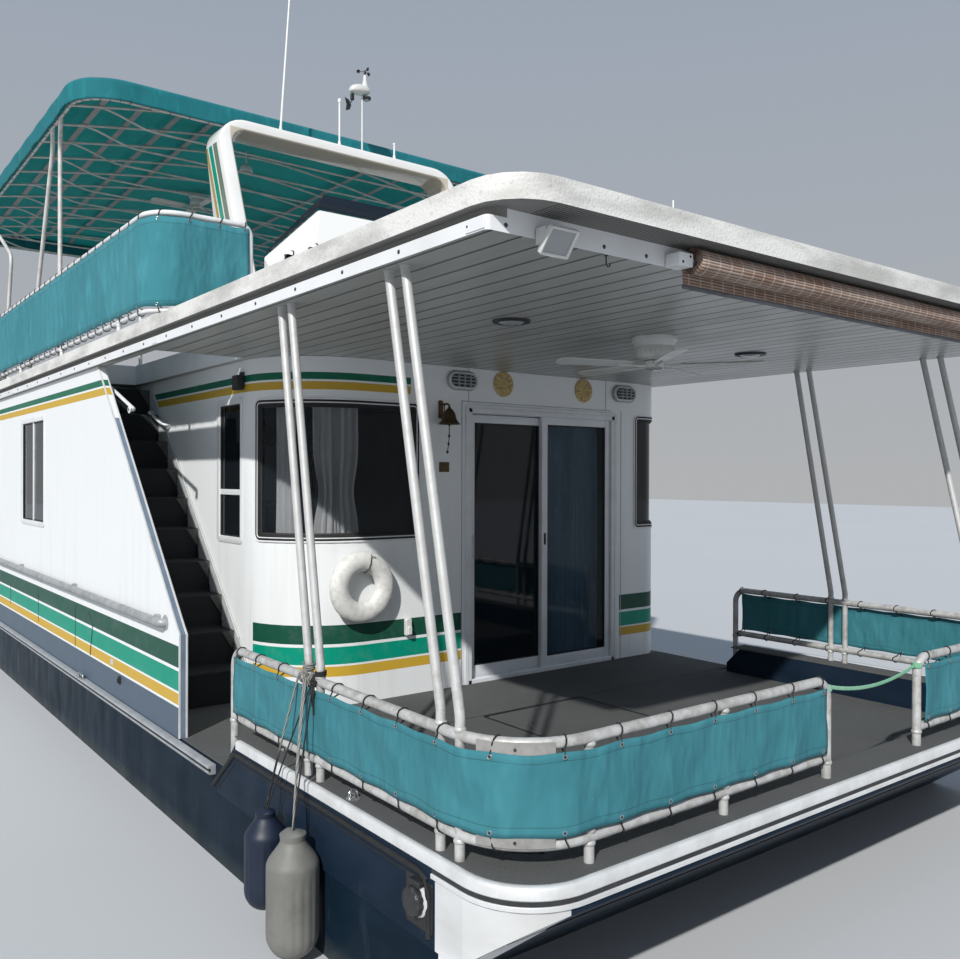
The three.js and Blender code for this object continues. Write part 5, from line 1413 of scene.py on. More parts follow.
def aft_path(side):
    """Plan path of one stern cloth, from the cabin round to the gate."""
    x = side * (RAIL_X + CLOTH_OUT)
    return bend([(x, REAR + 0.11, 0), (x, TRANSOM - 0.029, 0, 0.226), (side * 0.44, TRANSOM - 0.029, 0)], 12)


aft_rail("stern_rail_starboard", "aft_rail_stbd", -1)
aft_rail("stern_rail_portside", "aft_rail_port", 1)
stern_cloth = cloth("stern_cloth", (0.024, 0.168, 0.205), (0.044, 0.222, 0.262), hem=0.662)
stern_span, stern_tubes = above(0.15, 0.812), (AFT_LOW, AFT_TOP)
laced_panel("stern_cloth_starboard", "aft_panel_stbd", aft_path(-1)[::-1], stern_span, stern_tubes, CLOTH_OUT,
            RAIL_TUBE, stern_cloth, seed=6)
laced_panel("stern_cloth_portside", "aft_panel_port", aft_path(1), stern_span, stern_tubes, CLOTH_OUT,
            RAIL_TUBE, stern_cloth, seed=7)

UPPER_X, UPPER_LOW, UPPER_TOP = 2.10, *above(2.565, 3.185)
UPPER_FRONT, UPPER_AFT, GUARD_AFT = aft(0.46, 11.95, 2.79)
UPPER_STBD, UPPER_PORT, GUARD_TOP = -1.453, 1.230, UPPER_TOP - 0.09


def upper_line(z, ends, r, grow=0.0):
    """The upper rail's path round the deck at a height, between two sets of end points."""
    wide, ahead, behind = UPPER_X + grow, UPPER_FRONT - grow, UPPER_AFT + grow
    around = [(-wide, ahead), (-wide, behind), (wide, behind), (wide, ahead)]
    return bend([*ends[0], *[(x, y, z, r + grow) for x, y in around], *ends[1]], 12)


left = [(UPPER_STBD, UPPER_FRONT, ROOF + 0.002), (UPPER_STBD, UPPER_FRONT, UPPER_TOP, 0.07)]
right = [(UPPER_PORT, UPPER_FRONT, UPPER_TOP, 0.07), (UPPER_PORT, UPPER_FRONT, ROOF + 0.002)]
low_ends = ([(UPPER_STBD, UPPER_FRONT, UPPER_LOW)], [(UPPER_PORT, UPPER_FRONT, UPPER_LOW)])
shapes = [tube(upper_line(UPPER_TOP, (left, right), 0.2), 0.019, 14),
          tube(upper_line(UPPER_LOW, low_ends, 0.2), 0.016, 14)]
stands = [(x, front(y)) for y in np.arange(1.15, 10.8, 1.6) for x in (-UPPER_X, UPPER_X)]
stands += [(-0.7, UPPER_AFT), (0.7, UPPER_AFT)]
foot = [(0, 0), (0.032, 0), (0.032, 0.004), (0.020, 0.010), (0, 0.010)]
for x, y in stands:
    shapes += [pipe((x, y, ROOF + 0.002), (x, y, UPPER_TOP), 0.016, 12),
               turned(foot, (x, y, ROOF), "z", 16), bead((x, y, UPPER_LOW - 0.018), "z", 0.016)]
high_guard = bend([(UPPER_STBD, UPPER_FRONT, GUARD_TOP), (UPPER_STBD, GUARD_AFT, GUARD_TOP, 0.08),
                   (UPPER_STBD, GUARD_AFT, ROOF + 0.002)], 8)
shapes += [tube(high_guard, 0.016, 14),
           pipe((UPPER_STBD, UPPER_FRONT, DECK + 2.86), spot(UPPER_STBD, 2.79, 2.86), 0.016),
           pipe((UPPER_STBD, front(1.65), ROOF + 0.002), (UPPER_STBD, front(1.65), GUARD_TOP), 0.016)]
feet = [(UPPER_STBD, UPPER_FRONT), (UPPER_PORT, UPPER_FRONT), (UPPER_STBD, GUARD_AFT),
        (UPPER_STBD, front(1.65))]
shapes += [turned(foot, (*at, ROOF), "z", 16) for at in feet]
piece("upper_deck_rail", shapes, "boat", white_tube, ["upper_rail"])
cloth_ends = ([(-1.470, UPPER_FRONT - 0.024, 0)], [(1.250, UPPER_FRONT - 0.024, 0)])
laced_panel("upper_deck_cloth", "upper_panel", upper_line(0, cloth_ends, 0.2, 0.024)[::-1],
            (UPPER_LOW + 0.022, UPPER_TOP - 0.024), (UPPER_LOW, UPPER_TOP), 0.024, 0.019, upper_cloth, 0.20,
            seed=11, pleat=0.003, upright=0.006)
print("rails done")

# %% [markdown]
# ## Radar arch, helm and masts
# The arch is a rounded bar bent over the helm. Each station of its middle line has a ring: in the plane
# of the arch the ring is as thick as the bar, and along the boat it runs from the arch's slanted front
# edge to its aft edge at that height.

# %% Arch and helm
def radar_arch():
    """The arch as rings: across the bar from half widths, along the boat from its two slanted edges."""
    middle = evenly(bend([(-1.115, 0, ROOF + 0.001), (-1.115, 0, DECK + 4.3725, 0.185),
                          (1.115, 0, DECK + 4.3725, 0.185), (1.115, 0, ROOF + 0.001)], 14), 0.04)
    x, z = middle[:, 0], middle[:, 2]
    ahead = unit(np.gradient(join(x, z), axis=0))
    normal = join(-ahead[:, 1], ahead[:, 0])
    q, soft = np.linspace(0, math.pi / 2, 5), 0.018
    turn_u = np.concatenate([np.cos(q), -np.sin(q), -np.cos(q), np.sin(q)])
    turn_v = np.concatenate([np.sin(q), np.cos(q), -np.sin(q), -np.cos(q)])
    side_u, aft_side = np.repeat([1, -1, -1, 1], 5), np.repeat([1, 1, 0, 0], 5)
    half = np.interp(np.abs(normal[:, 1]), [0, 1], [0.055, 0.0475])[:, None]
    across = side_u * (half - soft) + soft * turn_u
    px = x[:, None] + normal[:, :1] * across
    pz = z[:, None] + normal[:, 1:] * across
    low, high = DECK + 4.24, DECK + 4.43
    y0 = np.interp(pz, [ROOF, low, high], [1.0, 1.72, 1.745])
    y1 = np.interp(pz, [ROOF, DECK + 3.59, DECK + 4.30, high], [1.62, 1.85, 2.04, 2.05])
    py = front(0) + np.where(aft_side > 0, y1 - soft, y0 + soft) + soft * turn_v
    return patch(join(px, py, pz), wrap_v=True, cap=True)


top = DECK + 4.418
mast_y, MAST = front(1.78), 0.0085
base_cup = [(0, 0.0), (0.019, 0.0), (0.019, 0.006), (0.0125, 0.010), (0.0125, 0.034), (0, 0.034)]
whip = evenly(np.array([(-0.613, mast_y, top + 0.02), (-0.590, mast_y, top + 0.35),
                        (-0.448, mast_y, top + 2.39)]), 0.2)
lamp_head = [(0, 0), (0.011, 0), (0.014, 0.006), (0.014, 0.030), (0.010, 0.038), (0, 0.038)]
button = [(0, 0), (0.010, 0), (0.013, 0.004), (0.013, 0.020), (0, 0.024)]
shapes = [radar_arch(), tube(whip, np.linspace(0.010, 0.0042, len(whip)), 10),
          pipe((-0.057, mast_y, top), (-0.057, mast_y, DECK + 4.80), MAST),
          turned(lamp_head, (-0.057, mast_y, DECK + 4.79), sides=16),
          pipe((0.508, mast_y, top), (0.508, mast_y, DECK + 4.545), MAST),
          turned(button, (0.508, mast_y, DECK + 4.545), sides=16)]
shapes += [turned(base_cup, (x, mast_y, top), sides=20) for x in (-0.613, -0.057, 0.508)]
piece("arch", shapes, "boat", arch_banded, ["radar_arch"])
smooth_copy("helm_fairing", "helm_cowl", "boat", arch_white, 0.014, 4)
smooth_copy("helm_windscreen", "helm_screen", "boat", smoked, 0.001, 1)


def hooded(at, normal, radius=0.034):
    """A round fitting on a slanted face: a collar, and on it a hood, half a ball that opens downwards."""
    normal = np.array(normal) / np.linalg.norm(normal)
    right = np.cross([0, 0, 1.0], normal)
    right /= np.linalg.norm(right)
    up_way = np.cross(normal, right)
    how = lambda x, y, z: tuple(np.asarray(at)[:, None] + right[:, None] * x + up_way[:, None] * y
                                + normal[:, None] * z)
    a, k = np.linspace(0.0, math.pi, 15)[:, None], np.linspace(0, math.pi / 2, 9)
    reach = np.concatenate([radius * np.cos(k), (radius - 0.004) * np.cos(k[::-1])])
    rise = 0.8 * np.concatenate([radius * np.sin(k), (radius - 0.004) * np.sin(k[::-1])])
    shell = patch(join(reach * np.cos(a), reach * np.sin(a), rise), wrap_v=True, cap=True)
    collar = turned([(0, 0), (radius + 0.008, 0), (radius + 0.006, 0.005), (radius - 0.006, 0.006),
                     (radius - 0.008, 0.002), (0, 0.002)], (0, 0, 0), "z", 28, 1)
    return [moved(shell, how), moved(collar, how)]


pin = [(0, -0.002), (0.009, 0), (0.009, 0.003), (0.0030, 0.006), (0.0026, 0.055), (0.0016, 0.058), (0, 0.058)]
piece("roof_pin", [turned(pin, (-1.345, front(-3.08), ROOF), sides=14)], "boat", arch_white)
vents = [hooded(at, (-0.91, -0.17, 0.38), 0.046) for at in ((-0.990, -3.971, 4.123), (-0.935, -4.240, 4.130))]
piece("hooded_vents", sum(vents, []), "boat", [arch_white, dark_metal])

at = np.array([-0.420, front(1.290), DECK + 3.290])
a = circle(64)
rim = at + 0.180 * join(np.cos(a), 0, np.sin(a))
shapes = [tube(rim, 0.012 + 0.0015 * np.cos(a * 24), 14, closed=True)]
for i in range(3):
    t = math.radians(90 + 120 * i)
    way = np.array([math.cos(t), 0, math.sin(t)])
    shapes.append(tube(np.array([at + way * 0.02, at + way * 0.09 + [0, 0.004, 0], at + way * 0.176]),
                       [0.012, 0.008, 0.0075], 12, finish=1))
boss = [(0, -0.014), (0.026, -0.014), (0.032, -0.006), (0.032, 0.010), (0.022, 0.022), (0, 0.025)]
shapes += [turned(boss, at, "y", 28, 1),
           pipe((at[0], front(1.183), at[2]), (at[0], at[1] - 0.01, at[2]), 0.024, 24, 2)]
piece("steering_wheel", shapes, "wheel", [black_rubber, steel, dark_metal], ["helm_wheel"])

# %% [markdown]
# The weather station is a white shell like a flattened egg with a dark underside, a cone that carries
# the turning cups, and a small vane below it. All of it stands on a thin mast.

# %% Weather station and cups
u = np.linspace(0, math.pi, 20)[:, None]
v = circle(32)[None, :]
shell = join(0.145 - 0.102 * np.cos(u), mast_y + 0.056 * np.sin(u) ** 0.7 * np.cos(v),
             DECK + 4.935 + 0.048 * np.sin(u) ** 0.8 * np.where(np.sin(v) > 0, 1.25, 0.75) * np.sin(v)
             + 0.012 * (1 - np.cos(u)))
cone = [(0, -0.01), (0.036, -0.01), (0.033, 0.012), (0.024, 0.035), (0.016, 0.08), (0.013, 0.114), (0, 0.116)]
collar = [(0, 0), (0.034, 0), (0.040, 0.008), (0.040, 0.022), (0, 0.030)]
eye = [(0, -0.012), (0.020, -0.010), (0.026, -0.002), (0.026, 0.002), (0, 0.002)]
under = (0.215, mast_y, DECK + 4.886)
shapes = [pipe((0.171, mast_y, top), (0.171, mast_y, DECK + 4.905), MAST),
          patch(shell, wrap_v=True, cap=True), turned(cone, (0.198, mast_y, DECK + 4.985), sides=24),
          turned(collar, under, sides=24, finish=1), turned(eye, under, sides=20, finish=2),
          block((0.055, 0.085), (mast_y - 0.012, mast_y + 0.012), above(4.850, 4.905), 0.005, 0.002, "z", 1)]
vane = np.array([(0.060, DECK + 4.800), (0.045, DECK + 4.760), (0.005, DECK + 4.742), (0.012, DECK + 4.800),
                 (-0.006, DECK + 4.858), (0.040, DECK + 4.842)])
shapes += [raised(vane, unit(vane - vane.mean(0)), mast_y - 0.0015, mast_y + 0.0015, 0.0008, "y", 1),
           pipe((0.070, mast_y, DECK + 4.855), (0.045, mast_y, DECK + 4.805), 0.005, 10, 1)]
piece("weather_sensor", shapes, "boat", [fan_white, black_plastic, lens], ["weather_station"])
hub = np.array([0.198, mast_y, DECK + 5.135])
shapes = [turned([(0, -0.022), (0.010, -0.022), (0.011, -0.004), (0.008, 0.010), (0, 0.014)], hub, sides=18)]
for i in range(3):
    t = i * 2 * math.pi / 3 + 0.4
    way, cross = spoke(t)
    shapes.append(pipe(hub + way * 0.006, hub + way * 0.056, 0.0028, 10))
    k = np.linspace(0.05, 1, 8)[:, None] * math.pi / 2
    w = circle(20)
    parts = [join(np.sin(k) * np.cos(w) * r, np.sin(k) * np.sin(w) * r, 0.006 - np.cos(k) * r)
             for r in (0.017, 0.0155)]
    outer, inner = (hub + way * 0.058 + p @ np.array([way, [0, 0, 1], cross]) for p in parts)
    shapes.append(patch(np.concatenate([outer, inner[::-1]]), wrap_v=True, cap=True))
piece("spinning_cups", shapes, "cups", black_plastic, ["wind_cups"])
print("arch and helm done")

# %% [markdown]
# ## Canopy
# The sheet is level along its edge and vaults up inside: its height adds 145 mm times
# (1 - (distance from the middle / half width) ^ 1.4), and fades in over the first 0.9 m from the front
# and the back. Rings grow out from the middle, turn down over a soft edge and end as the hanging border.
# Between two bows the sheet sags a little. The frame below has bows, straight ties, two edge rings,
# flat ribs along the boat and bent legs.

# %% Canopy
SHADE_X, SHADE_FRONT, SHADE_AFT = 2.15, front(2.07), front(7.75)
SHADE_EDGE, SHADE_LOW = above(4.63, 4.46)
FRAME_X, RING_LOW, RING_HIGH, BOW_GAP = 2.108, *above(4.47, 4.594), 0.495
BOWS = front(2.43) + BOW_GAP * np.arange(11)


def sheet_height(x, y):
    """The sheet's height: its edge plus the vault across, faded in from the front and the back."""
    inside = np.clip(np.minimum(y - SHADE_FRONT, SHADE_AFT - y) / 0.9, 0, 1)
    return SHADE_EDGE + 0.145 * (1 - np.clip(np.abs(x) / SHADE_X, 0, 1) ** 1.4) * np.sin(inside * math.pi / 2)


def bow_height(x, y):
    """A bow's own arch, held 28 mm under the sheet."""
    arch = DECK + 4.465 + 0.285 * (1 - np.clip(np.abs(x) / 2.11, 0, 1) ** 1.4)
    return np.minimum(arch, sheet_height(x, y) - 0.028)


def canopy_sheet():
    """Rings from the middle out, over the soft edge and down the border; the border's v starts at 9."""
    outer, normals = fine(*rounded(-SHADE_X, SHADE_X, SHADE_FRONT, SHADE_AFT, 0.4, 16), 0.05)
    middle = np.array([0, (SHADE_FRONT + SHADE_AFT) / 2])
    soft = 0.028
    scales = np.linspace(0.02, 1, 34)[:, None, None]
    top = middle + (outer - soft * normals - middle) * scales
    z = sheet_height(top[..., 0] * (SHADE_X / (SHADE_X - soft)), top[..., 1])
    sag = 0.5 - 0.5 * np.cos(2 * math.pi * (top[..., 1] - BOWS[0]) / BOW_GAP)
    within = (top[..., 1] > BOWS[0]) & (top[..., 1] < BOWS[-1])
    z = z - 0.009 * sag * within - 0.0025 * (np.abs(top[..., 0]) < 2.0)
    turn = np.linspace(0, math.pi / 2, 7)[1:, None]
    roll = outer[None] - soft * normals[None] + (soft * np.sin(turn))[..., None] * normals
    roll_z = z[-1][None] - soft * (1 - np.cos(turn))
    down = np.linspace(0, 1, 9)[1:, None]
    run = running(outer)
    wave = np.sin(run * 2 * math.pi / BOW_GAP) * 0.6 + np.sin(run * 5.3 + 1) * 0.5 + np.sin(run * 23) * 0.25
    push = 0.006 * wave * np.sin(down * math.pi * 0.62) - 0.004 * down
    fall = outer[None] + push[..., None] * normals
    fall_z = roll_z[-1][None] + (SHADE_LOW + 0.004 * np.abs(wave) - roll_z[-1][None]) * down
    plan = np.concatenate([top, roll, fall])
    grid = np.concatenate([plan, np.concatenate([z, roll_z, fall_z])[..., None]], -1)
    chart = join(plan[..., 0], plan[..., 1])
    chart[len(top):, :, 0] = run[None, :]
    chart[len(top):, :, 1] = 9.0 + (grid[len(top):, :, 2] - SHADE_LOW)
    return patch(grid, wrap_v=True, chart=chart)


canopy = piece("canopy_cloth", canopy_sheet(), "boat", canopy_cloth, ["canopy_top"],
               angle=180, mend=False)
mesh = bmesh.new()
mesh.from_mesh(canopy.data)
centre_y = (SHADE_FRONT + SHADE_AFT) / 2
inner = sorted((e for e in mesh.edges if e.is_boundary and abs(e.verts[0].co.x) < 0.2
                and abs(e.verts[0].co.y - centre_y) < 0.3), key=lambda e: e.verts[0].co.xy.length_squared)
bmesh.ops.contextual_create(mesh, geom=inner)
mesh.to_mesh(canopy.data)
mesh.free()
thick = canopy.modifiers.new("thick", "SOLIDIFY")
thick.thickness, thick.offset = 0.0018, -1


def canopy_ring(z, inset):
    """One edge ring of the canopy frame."""
    points, normals = rounded(-SHADE_X + inset, SHADE_X - inset, SHADE_FRONT + inset, SHADE_AFT - inset,
                              0.34, 10)
    return tube(np.column_stack([points, np.full(len(points), z)]), 0.012, 12, closed=True)


shapes = [canopy_ring(z, 0.042) for z in (RING_LOW, RING_HIGH)]
across = np.linspace(-2.11, 2.11, 40)
for y in BOWS:
    shapes.append(tube(np.column_stack([across, np.full(40, y), bow_height(across, y)]), 0.011, 12))
    high, low, t = bow_height(1.9, y), DECK + 4.40, np.linspace(0, 1, 12)
    end = np.column_stack([1.9 - 0.47 * t, np.full(12, y), high + (low - high) * t * t * (3 - 2 * t)])
    shapes.append(tube(np.concatenate([end * [-1, 1, 1], end[::-1]]), 0.009, 10))
for y in BOWS[1::2] + 0.12:
    shapes += [pipe((s * FRAME_X, y, RING_LOW), (s * FRAME_X, y, RING_HIGH), 0.009, 10) for s in (-1, 1)]
for y in np.arange(SHADE_FRONT + 0.5, SHADE_AFT - 0.4, 0.33):
    shapes += [pipe((s * FRAME_X, y, RING_LOW), (s * FRAME_X, y, RING_HIGH), 0.005, 8) for s in (-1, 1)]
LEGS = [[(2.05, 3.04, 0), (2.05, 3.04, 4.34, 0.12), (FRAME_X, 2.76, 4.47)],
        [(2.05, 4.256, 0), (2.05, 3.30, 4.39, 0.15), (FRAME_X, 3.06, 4.47)],
        [(2.05, 6.74, 0), (2.05, 6.74, 4.34, 0.12), (FRAME_X, 7.02, 4.47)],
        [(2.05, 5.484, 0), (2.05, 5.09, 3.79, 0.14), (2.06, 6.20, 4.37, 0.20), (FRAME_X, 6.45, 4.47)]]
leg_foot = [(0, 0), (0.040, 0), (0.040, 0.005), (0.026, 0.010), (0.022, 0.030), (0, 0.030)]
for s in (-1, 1):
    for leg in LEGS:
        line = bend([(s * x, front(y), DECK + z if z else ROOF + 0.002, *r) for x, y, z, *r in leg], 12)
        shapes.append(tube(line, 0.018, 16))
        shapes.append(turned(leg_foot, (line[0][0], line[0][1], ROOF), "z", 20))
        shapes.append(bead(tuple(line[-1]), "y", 0.0125))
along = np.linspace(SHADE_FRONT + 0.06, SHADE_AFT - 0.06, 60)
for x in (-1.88, -1.55, -1.20, -0.87, 0.87, 1.20, 1.55, 1.88):
    flat = np.array([(-0.023, -0.002), (0.023, -0.002), (0.023, 0.002), (-0.023, 0.002)])
    rib = join(x + flat[:, 0], along[:, None], bow_height(x, along)[:, None] + 0.013 + flat[:, 1])
    shapes.append(patch(rib, wrap_v=True, cap=True, finish=1))
rib_metal = satin_metal("canopy_rib", (0.36, 0.35, 0.35), (0.27, 0.27, 0.28), 0.55, 0.2)
piece("canopy_tubes", shapes, "boat", [canopy_tube, rib_metal], ["canopy_frame"])

loops = []
plan, normals = fine(*rounded(-SHADE_X + 0.004, SHADE_X - 0.004, SHADE_FRONT + 0.004, SHADE_AFT - 0.004,
                              0.396, 8), 0.16)
for (x, y), n in zip(plan, normals):
    turn_a = circle(12)
    back = 0.024 + 0.024 * np.cos(turn_a)
    line = np.column_stack([x - n[0] * back, y - n[1] * back, DECK + 4.472 + 0.018 * np.sin(turn_a)])
    loops.append(tube(line, 0.002, 6, closed=True))
piece("canopy_lacing", loops, "boat", black_rope)

# %% [markdown]
# ## Fans
# Both fans hang from a turned motor. Each blade is a thin board that widens towards a rounded tip,
# tilted ten degrees, on a curved bracket that rides with it.

# %% Fans
def fan(name, at, blades, reach, motor_node, blade_node, body, big=0.090, deep=0.098):
    """A motor with a ring of slots, a hub with a glass bowl, and blades with their arms and screws."""
    x, y, z = at
    shape = np.array([(0, 0), (1, 0), (1, -0.143), (0.90, -0.265), (0.85, -0.41), (0.905, -0.53),
                      (0.91, -0.775), (0.85, -0.92), (0.67, -1), (0, -1)])
    shapes = [turned(shape * [big, deep], at, "z", 48)]
    for a in circle(24):
        slot_x, slot_y = x + 0.906 * big * math.cos(a), y + 0.906 * big * math.sin(a)
        low, high = (slot_x, slot_y, z - 0.73 * deep), (slot_x, slot_y, z - 0.57 * deep)
        shapes.append(pipe(low, high, 0.0024, 6, 1))
    piece(name + "_motor", shapes, "boat", [fan_white, lamp_grey], [motor_node])
    at = (x, y, z + 0.098 - deep)
    hub = [(0, -0.104), (0.058, -0.104), (0.062, -0.112), (0.062, -0.132), (0.054, -0.140), (0, -0.141)]
    bowl = [(0.050, -0.139), (0.049, -0.148), (0.040, -0.154), (0.022, -0.1565), (0, -0.157)]
    shapes = [turned(hub, at, "z", 40), turned(bowl, at, "z", 32, 1)]
    for i in range(blades):
        t = i * 2 * math.pi / blades + (0.3 if blades == 5 else 0.0)
        way, cross = spoke(t)
        tilt = math.radians(10)
        side_way = cross * math.cos(tilt) + UP * math.sin(tilt)
        up_way = np.cross(way, side_way)
        r = np.concatenate([np.linspace(0.15, reach - 0.05, 20),
                            reach - 0.05 + 0.05 * np.sin(np.linspace(0.1, 1, 9) * math.pi / 2)])
        half = np.interp(r, [0.15, 0.19, reach - 0.05], [0.040, 0.050, 0.059])
        end = np.clip((r - (reach - 0.05)) / 0.05, 0, 1)
        half = half * (0.30 + 0.70 * np.sqrt(np.clip(1 - end ** 2.2, 0, 1)))
        s = np.array([-1, -0.94, 0.94, 1, 0.94, -0.94])
        h = np.array([0, 0.0032, 0.0032, 0, -0.0032, -0.0032])
        centre = np.array([x, y, at[2] - 0.124])
        wide = (half[:, None] * s)[..., None]
        grid = centre + r[:, None, None] * way + wide * side_way + h[None, :, None] * up_way
        shapes.append(patch(grid, wrap_v=True, cap=True))
        arm_r = np.array([0.055, 0.09, 0.13, 0.19, 0.23])
        arm_rise = np.array([-0.006, -0.010, -0.0075, -0.0075, -0.0075])
        arm = centre + arm_r[:, None] * way + arm_rise[:, None] * up_way
        shapes.append(tube(arm, [0.010, 0.008, 0.006, 0.006, 0.004], 10))
        shapes += [turned([(0, 0.004), (0.0055, 0.004), (0.0045, 0.007), (0, 0.008)],
                          centre + (0.17 + k * 0.045) * way , "z", 10, 0) for k in (0, 1)]
    piece(name + "_blades", shapes, body, [fan_white, lens], [blade_node])


lamp_at = spot(-0.287, 3.261, 4.62)
lamp_shell = [(0, 0.03), (0.010, 0.03), (0.012, -0.01), (0.050, -0.03), (0.062, -0.055), (0.064, -0.085),
              (0.058, -0.088), (0, -0.088)]
lamp_bowl = [(0, -0.086), (0.052, -0.088), (0.040, -0.104), (0.018, -0.112), (0, -0.113)]
stem = pipe(lamp_at, (lamp_at[0], lamp_at[1], bow_height(lamp_at[0], lamp_at[1])), 0.006, 10)
piece("canopy_lamp", [turned(lamp_shell, lamp_at, "z", 28), turned(lamp_bowl, lamp_at, "z", 24, 1), stem],
      "boat", [fan_white, lens])
fan("porch_fan", (0, front(-1.8), CEILING), 5, 0.600, "porch_fan_motor", "porch_fan_blades", "porch_fan",
    0.128, 0.128)
fan("canopy_fan", spot(-0.170, 4.905, 4.705), 4, 0.520, "canopy_fan_motor", "canopy_fan_blades", "canopy_fan")
print("canopy and fans done")

# %% [markdown]
# ## Ring, bell and wall fittings
# The ring is a torus whose vinyl skin has fine creases: its tube radius is the solid's, less a seeded
# sum of sines around both ways. A cord from a wall hook holds it at the top of its hole.

# %% Life ring
def wrinkled_ring(at, big, small, squash):
    """Radius small, less a sum of sines both ways and a groove at the inner seam; squash flattens it."""
    t = circle(180)[:, None]
    s = circle(56)[None, :]
    rng = np.random.default_rng(8)
    lines = [(rng.uniform(0.4, 1), rng.integers(7, 46), rng.integers(-4, 5), rng.uniform(0, 6.3))
             for _ in range(16)]
    skin = sum(a * np.sin(n * t + m * s + p) for a, n, m, p in lines) / 6
    inner = 0.5 - 0.5 * np.cos(s)
    seam = np.exp(-((s - math.pi) / 0.05) ** 2)
    r = small - 0.0016 - 0.0016 * np.abs(skin) * (0.4 + 0.6 * inner) - 0.0022 * seam
    out = big + r * np.cos(s)
    return patch(join(at[0] + out * np.cos(t), at[1] + squash * r * np.sin(s), at[2] + out * np.sin(t)),
                 wrap_u=True, wrap_v=True)


ring_at = spot(-0.887, -0.055, 0.785)
ring = piece("ring_buoy", wrinkled_ring(ring_at, 0.170, 0.070, 0.75), "boat", ring_white,
             ["life_ring"])
t = math.radians(78)
way = np.array([math.cos(t), 0, math.sin(t)])
s = np.radians(np.array([62, 95, 130, 160, 190, 222]))
out = 0.170 + 0.0735 * np.cos(s)
around = join(ring_at[0] + out * way[0], ring_at[1] - 0.75 * 0.0755 * np.sin(s), ring_at[2] + out * way[2])
hook = np.array([ring_at[0] + 0.02, front(-0.004), ring_at[2] + 0.115])
shapes = [tube(np.concatenate([around, [hook]]), 0.0028, 8),
          tube(np.array([around[0], around[0] + [0.018, -0.004, 0.002],
                         around[0] + [0.034, -0.001, -0.006]]), 0.0026, 8),
          tube(np.array([around[0], around[0] + [-0.004, -0.006, 0.018]]), 0.0026, 8),
          turned([(0, 0), (0.012, 0), (0.012, 0.003), (0.004, 0.005), (0.004, 0.020), (0, 0.022)],
                 (hook[0], front(-0.001), hook[2]), "y", 16, 1)]
shapes[-1] = moved(shapes[-1], lambda x, y, z: (x, 2 * front(-0.001) - y, z))
piece("ring_cord", shapes, "boat", [black_rope, steel])
clip = rounded(-0.526, -0.476, DECK + 0.418, DECK + 0.539, 0.014)
piece("ring_clip", [raised(*clip, front(-0.034), front(-0.001), 0.006, "y"),
                    raised(*rounded(-0.518, -0.484, DECK + 0.426, DECK + 0.486, 0.01), front(-0.050),
                           front(-0.030), 0.005, "y")], "boat", fan_white)

# %% [markdown]
# The bell hangs from a curved arm. Its cord carries three knots. The oval lamps have a thin grey rim
# and grey bars over a dark lens, their bars and back plates a darker grey as painted shade; the two gold
# rosettes are discs with twelve raised petals.

# %% Bell, lamps and rosettes
bell_at = (-0.220, front(-0.110), DECK)
cup = [(0.0, 1.998), (0.012, 1.996), (0.020, 1.986), (0.031, 1.966), (0.036, 1.944), (0.041, 1.922),
       (0.051, 1.901), (0.0615, 1.889), (0.0615, 1.885), (0.058, 1.885), (0.050, 1.893), (0.038, 1.915),
       (0.031, 1.944), (0.026, 1.962), (0.0, 1.972)]
arm = bend([spot(-0.220, -0.006, 2.030), spot(-0.220, -0.110, 2.030, 0.03), spot(-0.220, -0.110, 1.994)], 8)
curl = bend([spot(-0.220, -0.006, 1.945, 0), spot(-0.220, -0.045, 1.965, 0.02), spot(-0.220, -0.05, 2.028)],
            6)
plate = rounded(-0.240, -0.200, DECK + 1.93, DECK + 2.060, 0.012)
clapper = [(0, 1.872), (0.008, 1.875), (0.011, 1.883), (0.008, 1.892), (0, 1.896)]
shapes = [turned([(r * 1.26, z) for r, z in cup[::-1]], bell_at, "z", 40), tube(arm, 0.007, 12),
          tube(curl, 0.0045, 10), bead(spot(-0.220, -0.110, 2.0), "z", 0.007),
          raised(*plate, front(-0.008), front(-0.001), 0.002, "y"), turned(clapper, bell_at, "z", 16)]
for z in (1.945, 2.045):
    shapes.append(pipe(spot(-0.232, -0.010, z), spot(-0.232, -0.006, z), 0.003, 8))
piece("bell_and_arm", shapes, "boat", old_bronze, ["bell"])
drop = np.linspace(0, 1, 30)
cord_path = join(-0.220 + 0.006 * np.sin(drop * 5.0) * drop ** 2 - 0.008 * drop ** 2,
                 front(-0.110) + 0.004 * np.sin(drop * 7) * drop ** 2, DECK + 1.964 - 0.275 * drop)
cord_shapes = [tube(cord_path, 0.0032, 8)]
bell_cord = piece("bell_cord", cord_shapes, "boat", black_rope)
knots = []
for k, r in ((17, 0.008), (23, 0.007), (29, 0.009)):
    c = cord_path[k]
    a = np.linspace(0, 4 * math.pi, 30)
    knots.append(tube(join(c[0] + r * 0.7 * np.cos(a), c[1] + r * 0.7 * np.sin(a),
                           c[2] + 0.006 * np.sin(a * 0.5) + 0.002 * np.sin(a * 3)), 0.0032, 8))
bell_knots = piece("bell_cord_knots", knots, "boat", black_rope)
length_of(cord_path)

gold = satin_metal("gilt_metal", (0.56, 0.42, 0.19), (0.20, 0.13, 0.06), 0.5, 0.35, 55)
